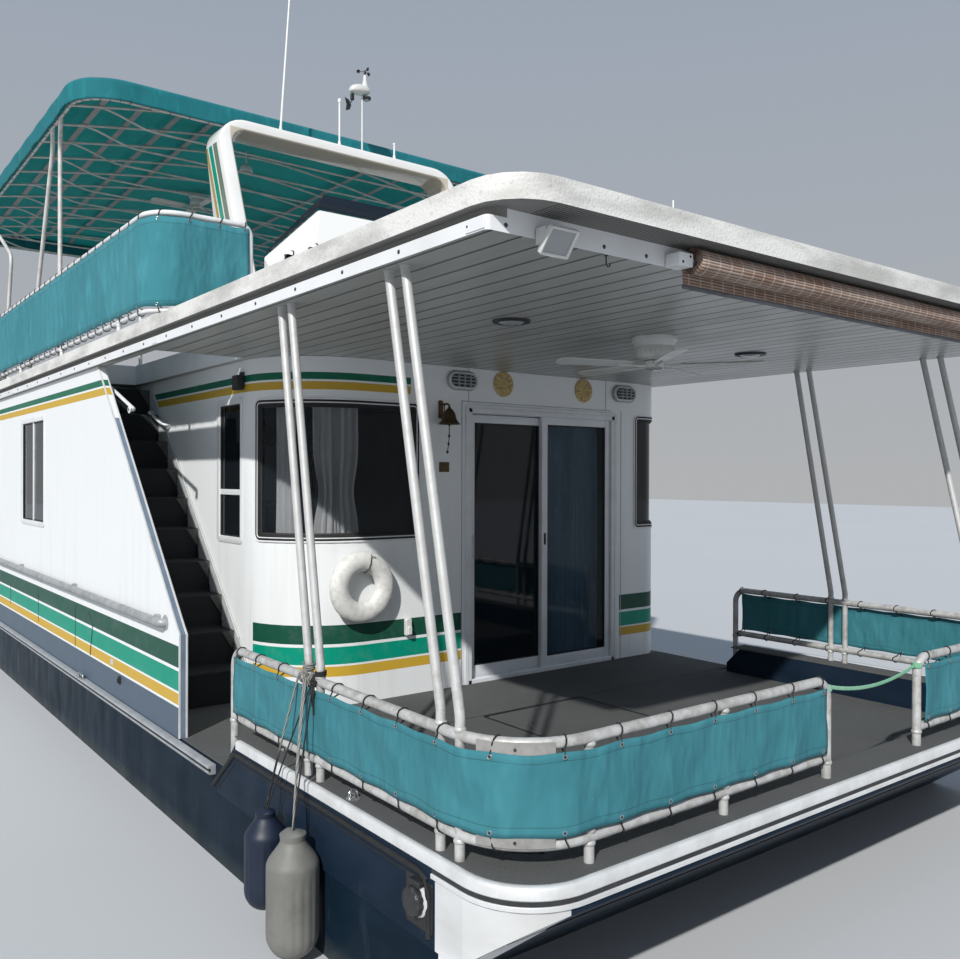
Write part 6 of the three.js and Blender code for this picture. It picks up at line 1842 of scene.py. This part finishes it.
# A darker grey for the lamps' back plates and bars: painted shade, as the lamps hang under the roof.
lamp_painted_shade = moulded("lamp_painted_shade", (0.33, 0.34, 0.34), (0.22, 0.22, 0.22), 0.35)
shapes = []
for x in (-0.034, 1.645):
    z = DECK + 2.211
    oval = lambda wide, high, r: rounded(x - wide, x + wide, z - high, z + high, r, 8)
    rim_line, _ = oval(0.118, 0.052, 0.0515)
    rim = np.column_stack([rim_line[:, 0], np.full(len(rim_line), front(-0.024)), rim_line[:, 1]])
    shapes += [raised(*oval(0.135, 0.070, 0.069), front(-0.026), front(-0.001), 0.008, "y"),
               tube(rim, 0.011, 14, closed=True, finish=2),
               raised(*oval(0.110, 0.045, 0.044), front(-0.036), front(-0.022), 0.006, "y", 1)]
    for dx in (-0.052, 0.0, 0.052):
        bar_x = (x + dx - 0.004, x + dx + 0.004)
        shapes.append(block(bar_x, aft(-0.050, -0.030), (z - 0.047, z + 0.047), 0.002, 0.001, "y"))
    for dz in (-0.024, 0.0, 0.024):
        bar_z = (z + dz - 0.004, z + dz + 0.004)
        shapes.append(block((x - 0.106, x + 0.106), aft(-0.048, -0.032), bar_z, 0.002, 0.001, "y"))
piece("wall_lamps", shapes, "boat", [lamp_painted_shade, dark_metal, lamp_grey])
shapes = []
for x in (0.353, 1.184):
    r = np.array([0.0, 0.006, 0.012, 0.020, 0.030, 0.038, 0.046, 0.056, 0.066, 0.076, 0.084, 0.090, 0.094,
                  0.095, 0.093])[:, None]
    a = circle(144)[None, :]
    petal = np.abs(np.sin(a * 6)) * np.exp(-((r - 0.060) / 0.022) ** 2) * 0.006
    petal = petal + np.abs(np.sin(a * 6 + 0.8)) * np.exp(-((r - 0.030) / 0.010) ** 2) * 0.004
    high = 0.006 + 0.006 * np.exp(-(r / 0.012) ** 2) + petal + 0.003 * np.exp(-((r - 0.087) / 0.004) ** 2)
    high[-2:] *= [[0.6], [0.0]]
    shapes.append(patch(join(x + r * np.cos(a), front(-0.001) - high, DECK + 2.212 + r * np.sin(a)),
                        wrap_v=True, cap=True))
piece("gilt_rosettes", shapes, "boat", gold)
plaque = [raised(*rounded(-0.231, -0.143, DECK + 1.551, DECK + 1.622, 0.004), front(-0.003), front(-0.0005),
                 0.001, "y")]
plaque += [turned([(0, -0.004), (0.003, -0.004), (0.003, -0.002), (0, -0.002)], (x, front(0), z), "y", 10)
           for x in (-0.224, -0.150) for z in above(1.558, 1.615)]
piece("plain_plaque", plaque, "boat", old_bronze)

# %% [markdown]
# Small fittings follow: two round ceiling lights with a dark ring, a black box lamp by the stair, thin
# seams of the panel over the door, a hook, a cleat, two eyes and the covered power inlet.

# %% Small fittings
shapes = []
light_ring = [(0.070, -0.001), (0.098, -0.001), (0.098, -0.006), (0.090, -0.012), (0.072, -0.013),
              (0.070, -0.008)]
light_lens = [(0, -0.001), (0.071, -0.001), (0.071, -0.008), (0.050, -0.016), (0.025, -0.020), (0, -0.021)]
for x in (-1.0, 0.985):
    c = (x, front(-1.735), CEILING)
    shapes += [turned(light_ring, c, "z", 40, 0), turned(light_lens, c, "z", 32, 1)]
piece("ceiling_lights", shapes, "boat", [dark_metal, lens])
x = STAIR_WALL - 0.001
shapes = [block((x - 0.012, x), aft(0.60, 0.66), above(2.13, 2.23), 0.004, 0.001, "x"),
          block((x - 0.060, x - 0.010), aft(0.585, 0.675), above(2.105, 2.205), 0.010, 0.004, "x")]
piece("box_lamp", shapes, "boat", black_plastic)
shapes = []
low, high, bottom = above(2.065, 2.300, 0.01)
SEAMS = [(0.030, 0.030, low, high), (1.440, 1.440, low, high), (-0.030, 1.500, low, low),
         (-0.030, -0.030, bottom, low), (1.62, 1.62, bottom, low)]
for x0, x1, z0, z1 in SEAMS:
    shapes.append(block((x0 - 0.004, x1 + 0.004), aft(-0.0022, -0.0004), (z0 - 0.004, z1 + 0.004), 0.001,
                        0.0006, "y"))
seam_grey = satin_metal("seam_grey", (0.42, 0.45, 0.49), (0.30, 0.32, 0.35), 0.4, 0.1)
piece("front_wall_seams", shapes, "boat", seam_grey)

hook_at = np.array([-1.60, front(-2.990), CEILING])
hook_line = np.array([[0, 0, 0.002], [0, 0, -0.020], [0.002, 0, -0.032], [0.009, 0, -0.040],
                      [0.018, 0, -0.036], [0.020, 0, -0.027]]) + hook_at
piece("ceiling_hook", [tube(hook_line, 0.0028, 10),
                       turned([(0, 0), (0.008, 0), (0.008, -0.002), (0, -0.003)], hook_at, "z", 12)],
      "boat", dark_metal)
z = BULWARK_TOP + 0.004
a0, a1 = np.array([-1.942, front(-2.751)]), np.array([-1.752, front(-2.917)])
mid, way = (a0 + a1) / 2, (a1 - a0) / np.linalg.norm(a1 - a0)
horns = ((-0.128, 0.060), (-0.100, 0.055), (-0.04, 0.048), (0.04, 0.048), (0.100, 0.055), (0.128, 0.060))
line = evenly(np.array([[*(mid + way * s), z + h] for s, h in horns]), 0.02)
thick = np.interp(np.linspace(-1, 1, len(line)), [-1, -0.8, -0.3, 0.3, 0.8, 1],
                  [0.006, 0.010, 0.013, 0.013, 0.010, 0.006])
shapes = [tube(line, thick, 14)]
for s in (-0.04, 0.04):
    p = mid + way * s
    shapes += [turned([(0, 0), (0.024, 0), (0.024, 0.004), (0.014, 0.012), (0.010, 0.030), (0.012, 0.050),
                       (0, 0.050)], (p[0], p[1], z), "z", 24)]
shapes.append(tube(np.array([[*(mid - way * 0.075), z + 0.003], [*(mid + way * 0.075), z + 0.003]]),
                   [0.016, 0.016], 14))
for ex, ey in ((-2.074, -2.024), (-1.996, -1.243)):
    c = np.array([ex, front(ey), z])
    arch_line = c + np.array([[0, -0.020, 0], [0, -0.020, 0.022], [0, -0.010, 0.036], [0, 0.010, 0.036],
                              [0, 0.020, 0.022], [0, 0.020, 0]])
    a = circle(20)
    shapes += [tube(bend([tuple(p) for p in arch_line[[0, 1, 4, 5]]], 4), 0.005, 10),
               turned([(0, 0), (0.030, 0), (0.030, 0.003), (0, 0.004)], tuple(c), "z", 20),
               tube(c + join(0.020 * np.cos(a), 0.004 * np.sin(a), 0.030 + 0.020 * np.sin(a) - 0.012),
                    0.0035, 8, closed=True)]
piece("cleat_and_eyes", shapes, "boat", steel)

x = -2.1352
plate = rounded(front(-2.690), front(-2.520), DECK - 0.085, DECK + 0.095, 0.012)
socket = [(0, 0.0), (0.062, 0.0), (0.062, 0.008), (0.054, 0.014), (0, 0.014)]
shapes = [raised(*plate, -2.1385, x, 0.002, "x", 0), turned(socket, (0, 0, 0), "z", 36, 1)]
ridges = circle(96)
h = np.array([0.012, 0.012, 0.018, 0.036, 0.042, 0.042])
r = np.array([0.0, 0.050, 0.053, 0.053, 0.047, 0.0])
wavy = r[:, None] * (1 + 0.035 * np.sign(np.sin(ridges * 12))[None, :] * (r > 0.048)[:, None])
cap = patch(join(wavy * np.cos(ridges), wavy * np.sin(ridges), h[:, None]), wrap_v=True, cap=True, finish=2)
shapes.append(cap)
shapes[1:] = [moved(s, lambda px, py, pz: (x - 0.003 - pz, front(-2.605) + px, DECK + 0.018 + py))
              for s in shapes[1:]]
shapes.append(block((x - 0.030, x), aft(-2.640, -2.575), above(0.070, 0.092), 0.004, 0.002, "x", 2))
piece("power_inlet", shapes, "boat", [black_plastic, lamp_grey, dark_metal])
print("wall fittings done")

# %% [markdown]
# ## Shade roll, floodlight and side pipes
# The shade is wound up as a spiral sheet of thin slats, and its last turn hangs down behind the roll.
# The radius grows evenly with the angle, so each turn lies on the one before.

# %% Shade roll and floodlight
roll_y, roll_z = front(-3.056), DECK + 2.333
a = np.linspace(-11 * math.pi, 0, 230)
r = 0.051 + 0.0029 * a / math.pi
spiral = join(roll_y + r * np.cos(a), roll_z - r * np.sin(a))
tail = join(np.full(9, roll_y + 0.0505) - np.linspace(0, 0.004, 9), roll_z - np.linspace(0.006, 0.086, 9))
curve = np.concatenate([spiral, tail])
x = np.linspace(-1.205, 1.205, 90)
rng = np.random.default_rng(21)
swing = sum(rng.uniform(0.3, 1) * np.sin(x * rng.uniform(2, 22) + rng.uniform(0, 6))
            for _ in range(7)) * 0.0004
loose = np.linspace(0.2, 1, len(curve))[:, None]
grid = join(x, curve[:, :1] + swing * loose, curve[:, 1:])
v = running(curve)
chart = join(x, v[:, None])
shade = piece("woven_shade", patch(grid, chart=chart), "boat", shade_weave, ["shade_roll"],
              angle=180, mend=False)
thick = shade.modifiers.new("thick", "SOLIDIFY")
thick.thickness, thick.offset = 0.0018, 0
hem = block((-1.207, 1.207), (roll_y + 0.040, roll_y + 0.052), above(2.238, 2.254), 0.004, 0.002, "x")
hem_metal = satin_metal("hem_bar", (0.16, 0.16, 0.18), (0.08, 0.08, 0.09), 0.45, 0.4)
bar = piece("shade_hem_bar", [hem, pipe((-1.212, roll_y, roll_z), (1.212, roll_y, roll_z), 0.016, 20)],
            "boat", hem_metal)
shapes = []
for s in (-1, 1):
    height = (roll_z - 0.028, roll_z + 0.024)
    shapes += [block(ordered(s * 1.222, s * 1.300), aft(-3.075, -3.001), height, 0.006, 0.004, "y"),
               pipe((s * 1.205, roll_y, roll_z), (s * 1.226, roll_y, roll_z), 0.010, 12)]
    shapes += [turned([(0, -0.003), (0.004, -0.0025), (0.006, 0.0), (0, 0.0)],
                      (s * px, front(-3.0745), roll_z + pz), "y", 12, 1)
               for px, pz in ((1.240, 0.010), (1.282, -0.014))]
piece("shade_brackets", shapes, "boat", [white_tube, dark_metal])


def tilted(part):
    """Floodlight parts are drawn upright around the origin, looking along -y, then tipped down 38 degrees."""
    c, s = math.cos(math.radians(38)), math.sin(math.radians(38))
    return moved(part, lambda x, y, z: (-1.887 + x, front(-3.044) + c * y - s * z,
                                        DECK + 2.306 + c * z + s * y))


frame_line = rounded(-0.063, 0.063, -0.052, 0.052, 0.008)
lip = [(-0.010, -0.018), (-0.001, -0.022), (0.0, -0.018), (0.0, -0.004), (-0.010, -0.004)]
shapes = [tilted(framed(*frame_line, lip, "y")),
          tilted(raised(*rounded(-0.055, 0.055, -0.044, 0.044, 0.006), -0.014, -0.009, 0.001, "y", 1)),
          tilted(raised(*rounded(-0.058, 0.058, -0.047, 0.047, 0.008), -0.012, 0.010, 0.004, "y"))]
shapes += [tilted(block((-0.048, 0.048), (0.008, 0.024), (z - 0.0018, z + 0.0018), 0.0015, 0.0006, "z"))
           for z in np.linspace(-0.036, 0.036, 8)]
side, height = aft(-3.055, -3.002), above(2.290, 2.345)
shapes += [block((-1.946, -1.941), side, height, 0.002, 0.001, "x"),
           block((-1.833, -1.828), side, height, 0.002, 0.001, "x"),
           block((-1.946, -1.828), aft(-3.006, -3.001), height, 0.003, 0.001, "y")]
piece("flood_lamp", shapes, "boat", [fan_white, lens], ["floodlight"])


def side_pipe(name, node, side):
    """A pipe along the cabin side whose ends turn in to the wall, on six pads with two flanges."""
    x, z = side * 2.156, DECK + 0.645
    start = front(0.125 if side < 0 else 0.335)
    q = np.linspace(0, math.pi / 2, 8)
    nose = join(x - side * 0.034 * (1 - np.sin(q)), start + 0.030 - 0.030 * np.cos(q), z)
    end = join(x - side * 0.034 * (1 - np.cos(q)), REAR - 0.12 - 0.030 + 0.030 * np.sin(q), z)
    line = np.concatenate([nose[:-1], [[x, start + 0.04, z], [x, REAR - 0.16, z]], end[1:]])
    shapes = [tube(line, 0.027, 20)]
    flange = [(0, 0), (0.046, 0), (0.046, 0.003), (0.036, 0.006), (0, 0.006)]
    for y in (start + 0.006, REAR - 0.126):
        disc = turned(flange, (0, 0, 0), "z", 28)
        shapes.append(moved(disc, lambda px, py, pz, y=y: (side * (WALL_OUT + pz), y + px, z + py)))
    for y in start - 0.005 + 0.12 + 1.95 * np.arange(6):
        shapes.append(block(ordered(side * WALL_OUT, side * 2.150), (y - 0.020, y + 0.020),
                            (z - 0.022, z + 0.038), 0.006, 0.002, "x"))
    piece(name, shapes, "boat", grey_pipe, [node])


side_pipe("rub_pipe_starboard", "side_pipe_stbd", -1)
side_pipe("rub_pipe_portside", "side_pipe_port", 1)

# %% [markdown]
# Low on the starboard side are the seams of the side lockers, a black latch, a blank plate and a small
# metal chock over the rub strip. The seams run the same way on the port side.

# %% Side seams and latch
seam = satin_metal("locker_seam", (0.05, 0.055, 0.06), (0.03, 0.03, 0.033), 0.6, 0.1)
shapes = []
for s in (-1, 1):
    wall = s * WALL_OUT
    for y, low, high in ((4.73, 0.24, 0.45), (3.50, 0.215, 0.464), (2.224, 0.19, 0.504)):
        shapes.append(block(ordered(wall, wall + s * 0.0016), (front(y) - 0.005, front(y) + 0.005),
                            above(low, high), 0.001, 0.0005, "x"))
    shapes.append(tube(bend([spot(wall, 1.859, 0.508), spot(wall, 1.721, 0.436, 0.05),
                             spot(wall, 1.791, 0.19)], 6), 0.0045, 8))
piece("locker_seams", shapes, "boat", seam)
piece("side_latch", [block((-2.132, -WALL_OUT), aft(1.030, 1.072), above(0.112, 0.165), 0.006, 0.003, "x"),
                     block((-2.140, -2.130), aft(1.042, 1.060), above(0.122, 0.150), 0.004, 0.003, "x")],
      "boat", black_plastic)
piece("side_plate", block((-2.1225, -2.1202), aft(1.205, 1.268), above(0.210, 0.250), 0.004, 0.001, "x"),
      "boat", lamp_grey)
chock = bend([spot(-2.150, 1.88, 0.001), spot(-2.150, 1.88, 0.030, 0.012), spot(-2.150, 2.00, 0.030, 0.012),
              spot(-2.150, 2.00, 0.001)], 6)
base = block((-2.162, -2.138), aft(1.86, 2.02), above(-0.001, 0.005), 0.004, 0.001)
piece("side_chock", [tube(chock, 0.007, 12), base], "boat", steel)

# %% [markdown]
# ## Gate strap and fenders
# The strap's middle line dips by 180 mm times f (1 - f), where f runs from one gate post to the other,
# and its section is a flat ellipse. A fender is a turned skin with eighteen shallow upright ribs, a
# shrinking neck and a flattened lug. Its ropes run from the lug to turns and knots on the rail.

# %% Gate strap
f = np.linspace(0, 1, 41)
strap_line = join(-0.258 + 0.756 * f, RAIL_Y, DECK + 0.592 - 0.180 * f * (1 - f))
ahead = unit(np.gradient(strap_line, axis=0))
up_way = join(-ahead[:, 2], 0, ahead[:, 0])
a = circle(14)
rise, out_way = 0.009 * np.cos(a)[None, :, None], (0.0028 * np.sin(a))[None, :, None]
band = strap_line[:, None] + rise * up_way[:, None] + out_way * np.array([0, 1.0, 0])
strap = piece("gate_strap_band", patch(band, wrap_v=True, cap=True, size=(length_of(strap_line), 0.04)),
              "boat", strap_green, ["gate_strap"])
sleeve = [(0.0206, -0.013), (0.0238, -0.011), (0.0245, 0.0), (0.0238, 0.011), (0.0206, 0.013)]
sleeves = [turned(sleeve, (px, RAIL_Y, DECK + 0.590), "z", 28) for px in (-0.280, 0.520)]
strap_loops = piece("gate_strap_loops", sleeves, "boat", strap_green)
length_of(strap_line)

# %% Fenders and their ropes
def fender(name, node, y, r, low, top, finish):
    """Height runs up a half ball, a ribbed straight part and a neck that narrows as 3 s^2 - 2 s^3."""
    x, s = -(2.139 + r), np.linspace(0, 1, 14)
    q = np.linspace(0.03, math.pi / 2, 12)
    straight = np.linspace(low + r, top - 1.3 * r, 12)[1:-1]
    z = np.concatenate([low + r * (1 - np.cos(q)), straight, top - 1.3 * r + 1.05 * r * s])
    wide = np.concatenate([r * np.sin(q), r + 0 * straight, r - 0.55 * r * s * s * (3 - 2 * s)])
    ribs = np.clip(np.minimum(z - low - 0.35 * r, top - 1.45 * r - z) / 0.03, 0, 1)
    a = circle(108)
    rad = wide[:, None] * (1 - 0.018 * ribs[:, None] * (0.5 - 0.5 * np.cos(18 * a)) ** 2)
    skin = patch(join(x + rad * np.cos(a), front(y) + rad * np.sin(a), z[:, None]), wrap_v=True, cap=True)
    lug_line = [(0, -0.02), (0.46 * r, -0.02), (0.49 * r, 0.006), (0.50 * r, 0.26 * r - 0.014),
                (0.44 * r, 0.26 * r - 0.004), (0.30 * r, 0.26 * r), (0, 0.26 * r)]
    base = top - 0.26 * r
    flatten = lambda px, py, pz: (x + px * np.where(pz > 0.015, 0.55, 1.0), front(y) + py, base + pz)
    lug = moved(turned(lug_line, (0, 0, 0), "z", 32), flatten)
    eye_a = circle(20)
    eyes = [tube(join(x + side * 0.16 * r, front(y) + 0.010 * np.cos(eye_a),
                      top - 0.016 + 0.010 * np.sin(eye_a)), 0.003, 8, closed=True, finish=1)
            for side in (-1, 1)]
    ball = turned([(0, -0.006), (0.012, -0.006), (0.016, 0.0), (0.012, 0.006), (0, 0.006)],
                  (x, front(y), low + 0.004), "z", 20, 1)
    return piece(name, [skin, lug, ball, *eyes], "boat", [finish, black_rubber], [node])


fender("pale_fender", "fender_grey", -1.83, 0.110, DECK - 0.480, DECK + 0.048, fender_pale)
fender("blue_fender", "fender_navy", -1.52, 0.092, DECK - 0.400, DECK + 0.044, fender_blue)


def hung_rope(name, foot, head, radius, finish):
    """A rope with a load on it: a straight line with a bend of a few millimetres."""
    t = np.linspace(0, 1, 24)[:, None]
    bow_way = np.array([-0.5, 1.0, 0]) * 0.004
    line = np.array(foot) * (1 - t) + np.array(head) * t + bow_way * np.sin(math.pi * t)
    rope = piece(name, tube(line, radius, 10), "boat", finish)
    length_of(line)


lug_a, lug_b = np.array(spot(-2.249, -1.83, 0.036)), np.array(spot(-2.231, -1.52, 0.032))
for name, foot, head, radius, finish in (
        ("pale_fender_rope", lug_a, (-2.110, -1.655, 0.020), 0.005, grey_rope),
        ("pale_fender_rope_back", lug_a + [0.004, 0.008, 0], (-2.110, -1.672, 0.014), 0.005, grey_rope),
        ("pale_fender_cord", lug_a + [-0.004, -0.010, 0], (-2.108, -1.738, 0.010), 0.0036, black_rope),
        ("blue_fender_rope", lug_b, (-2.110, -1.600, 0.010), 0.005, dipped_rope),
        ("blue_fender_cord", lug_b + [0, -0.010, 0], (-2.108, -1.722, -0.004), 0.0036, black_rope)):
    hung_rope(name, foot, (head[0], front(head[1]), RAIL_TOP + head[2]), radius, finish)


def coil(at, axis, radius, thick, turns, pitch, finish=0):
    """Turns of rope about an axis: a circle that climbs by the pitch each turn."""
    t = np.linspace(0, 2 * math.pi * turns, int(22 * turns))
    return tube(lay(radius * np.cos(t), radius * np.sin(t), pitch * t / (2 * math.pi), axis)
                + np.asarray(at), thick, 8, finish=finish)


def knot(at, size, thick, finish=0):
    """A trefoil: x = sin t + 2 sin 2t, y = cos t - 2 cos 2t, z = -sin 3t, all times a small size."""
    t = circle(60)
    line = join(np.sin(t) + 2 * np.sin(2 * t), np.cos(t) - 2 * np.cos(2 * t), -np.sin(3 * t))
    return tube(line[:, [2, 0, 1]] * size + np.asarray(at), thick, 8, closed=True, finish=finish)


x = -RAIL_X
ends = [bend([(x - 0.030, front(y), RAIL_TOP + 0.004), (x - out, front(y_mid), RAIL_TOP - drop, 0.02),
              (x - 0.036, front(y_end), RAIL_TOP - fall)], 5)
        for y, out, y_mid, drop, y_end, fall in ((-1.752, 0.040, -1.758, 0.05, -1.752, 0.135),
                                                 (-1.742, 0.038, -1.738, 0.04, -1.744, 0.105))]
piece("fender_knots", [coil((x, front(-1.640), RAIL_TOP + 0.034), "z", 0.0240, 0.005, 3.5, 0.0098),
                       coil((x, front(-1.690), RAIL_TOP), "y", 0.0262, 0.005, 2.2, 0.0098),
                       knot((x - 0.030, front(-1.662), RAIL_TOP + 0.024), 0.0062, 0.005),
                       coil((x, front(-1.606), RAIL_TOP), "y", 0.0262, 0.005, 1.5, 0.0098),
                       coil((x, front(-1.750), RAIL_TOP + 0.026), "z", 0.0228, 0.0038, 3.0, 0.0075, 1),
                       coil((x, front(-1.728), RAIL_TOP), "y", 0.0252, 0.0038, 3.2, 0.0075, 1),
                       knot((x - 0.033, front(-1.745), RAIL_TOP + 0.004), 0.0058, 0.0042, 1),
                       knot((x - 0.036, front(-1.748), RAIL_TOP - 0.046), 0.0045, 0.0038, 1),
                       *[tube(evenly(line, 0.01), 0.0036, 8, finish=1) for line in ends]], "boat",
      [grey_rope, black_rope])

# %% [markdown]
# ## Stern drive
# The bracket and the leg keep their solids' shape with soft edges. The propeller is worked out in its own
# frame: out along the blade, across it and along the shaft. Each blade is a thin lens section whose chord
# first widens and then rounds off, and whose pitch falls from 38 to 24 degrees towards the tip.

# %% Stern drive
smooth_copy("drive_bracket", "drive_swivel", "swivel", drive_dark, 0.004)
smooth_copy("drive_unit", "drive_leg", "leg", drive_dark, 0.005)
centre, across = np.array([0, 7.9748, 0.5986]), np.array([0, 0.70711, -0.70711])
shaft = np.array([0, 0.70711, 0.70711])
shapes = [turned([(0, -0.027), (0.035, -0.027), (0.038, -0.023), (0.037, -0.008), (0.031, 0.014),
                  (0.021, 0.032), (0.014, 0.0385), (0, 0.041)], (0, 0, 0), "z", 40)]
r = np.concatenate([np.linspace(0.028, 0.160, 16),
                    0.160 + 0.0155 * np.sin(np.linspace(0.2, 1, 7) * math.pi / 2)])
half = np.interp(r, [0.028, 0.07, 0.125, 0.160], [0.028, 0.042, 0.047, 0.040])
half *= np.sqrt(np.clip(1 - np.clip((r - 0.160) / 0.0162, 0, 1) ** 2.2, 0.02, 1))
pitch = np.radians(np.interp(r, [0.03, 0.176], [38, 24]))
thick = np.interp(r, [0.03, 0.176], [0.0048, 0.0014])
q = circle(20)
for start in (41.46, 161.46, 281.46):
    t = math.radians(start)
    out_way, round_way = spoke(t)
    chord = np.cos(pitch)[:, None] * round_way + np.sin(pitch)[:, None] * UP
    lift = np.cross(out_way, chord)
    wide, high = (half[:, None] * np.cos(q))[..., None], (thick[:, None] * np.sin(q))[..., None]
    blade = r[:, None, None] * out_way + wide * chord[:, None] + high * lift[:, None]
    shapes.append(patch(blade, wrap_v=True, cap=True))
onto = lambda px, py, pz: (px, centre[1] + across[1] * py + shaft[1] * pz, centre[2] + across[2] * py
                           + shaft[2] * pz)
piece("propeller_wheel", [moved(s, onto) for s in shapes], "screw", bare_plate, ["propeller"])
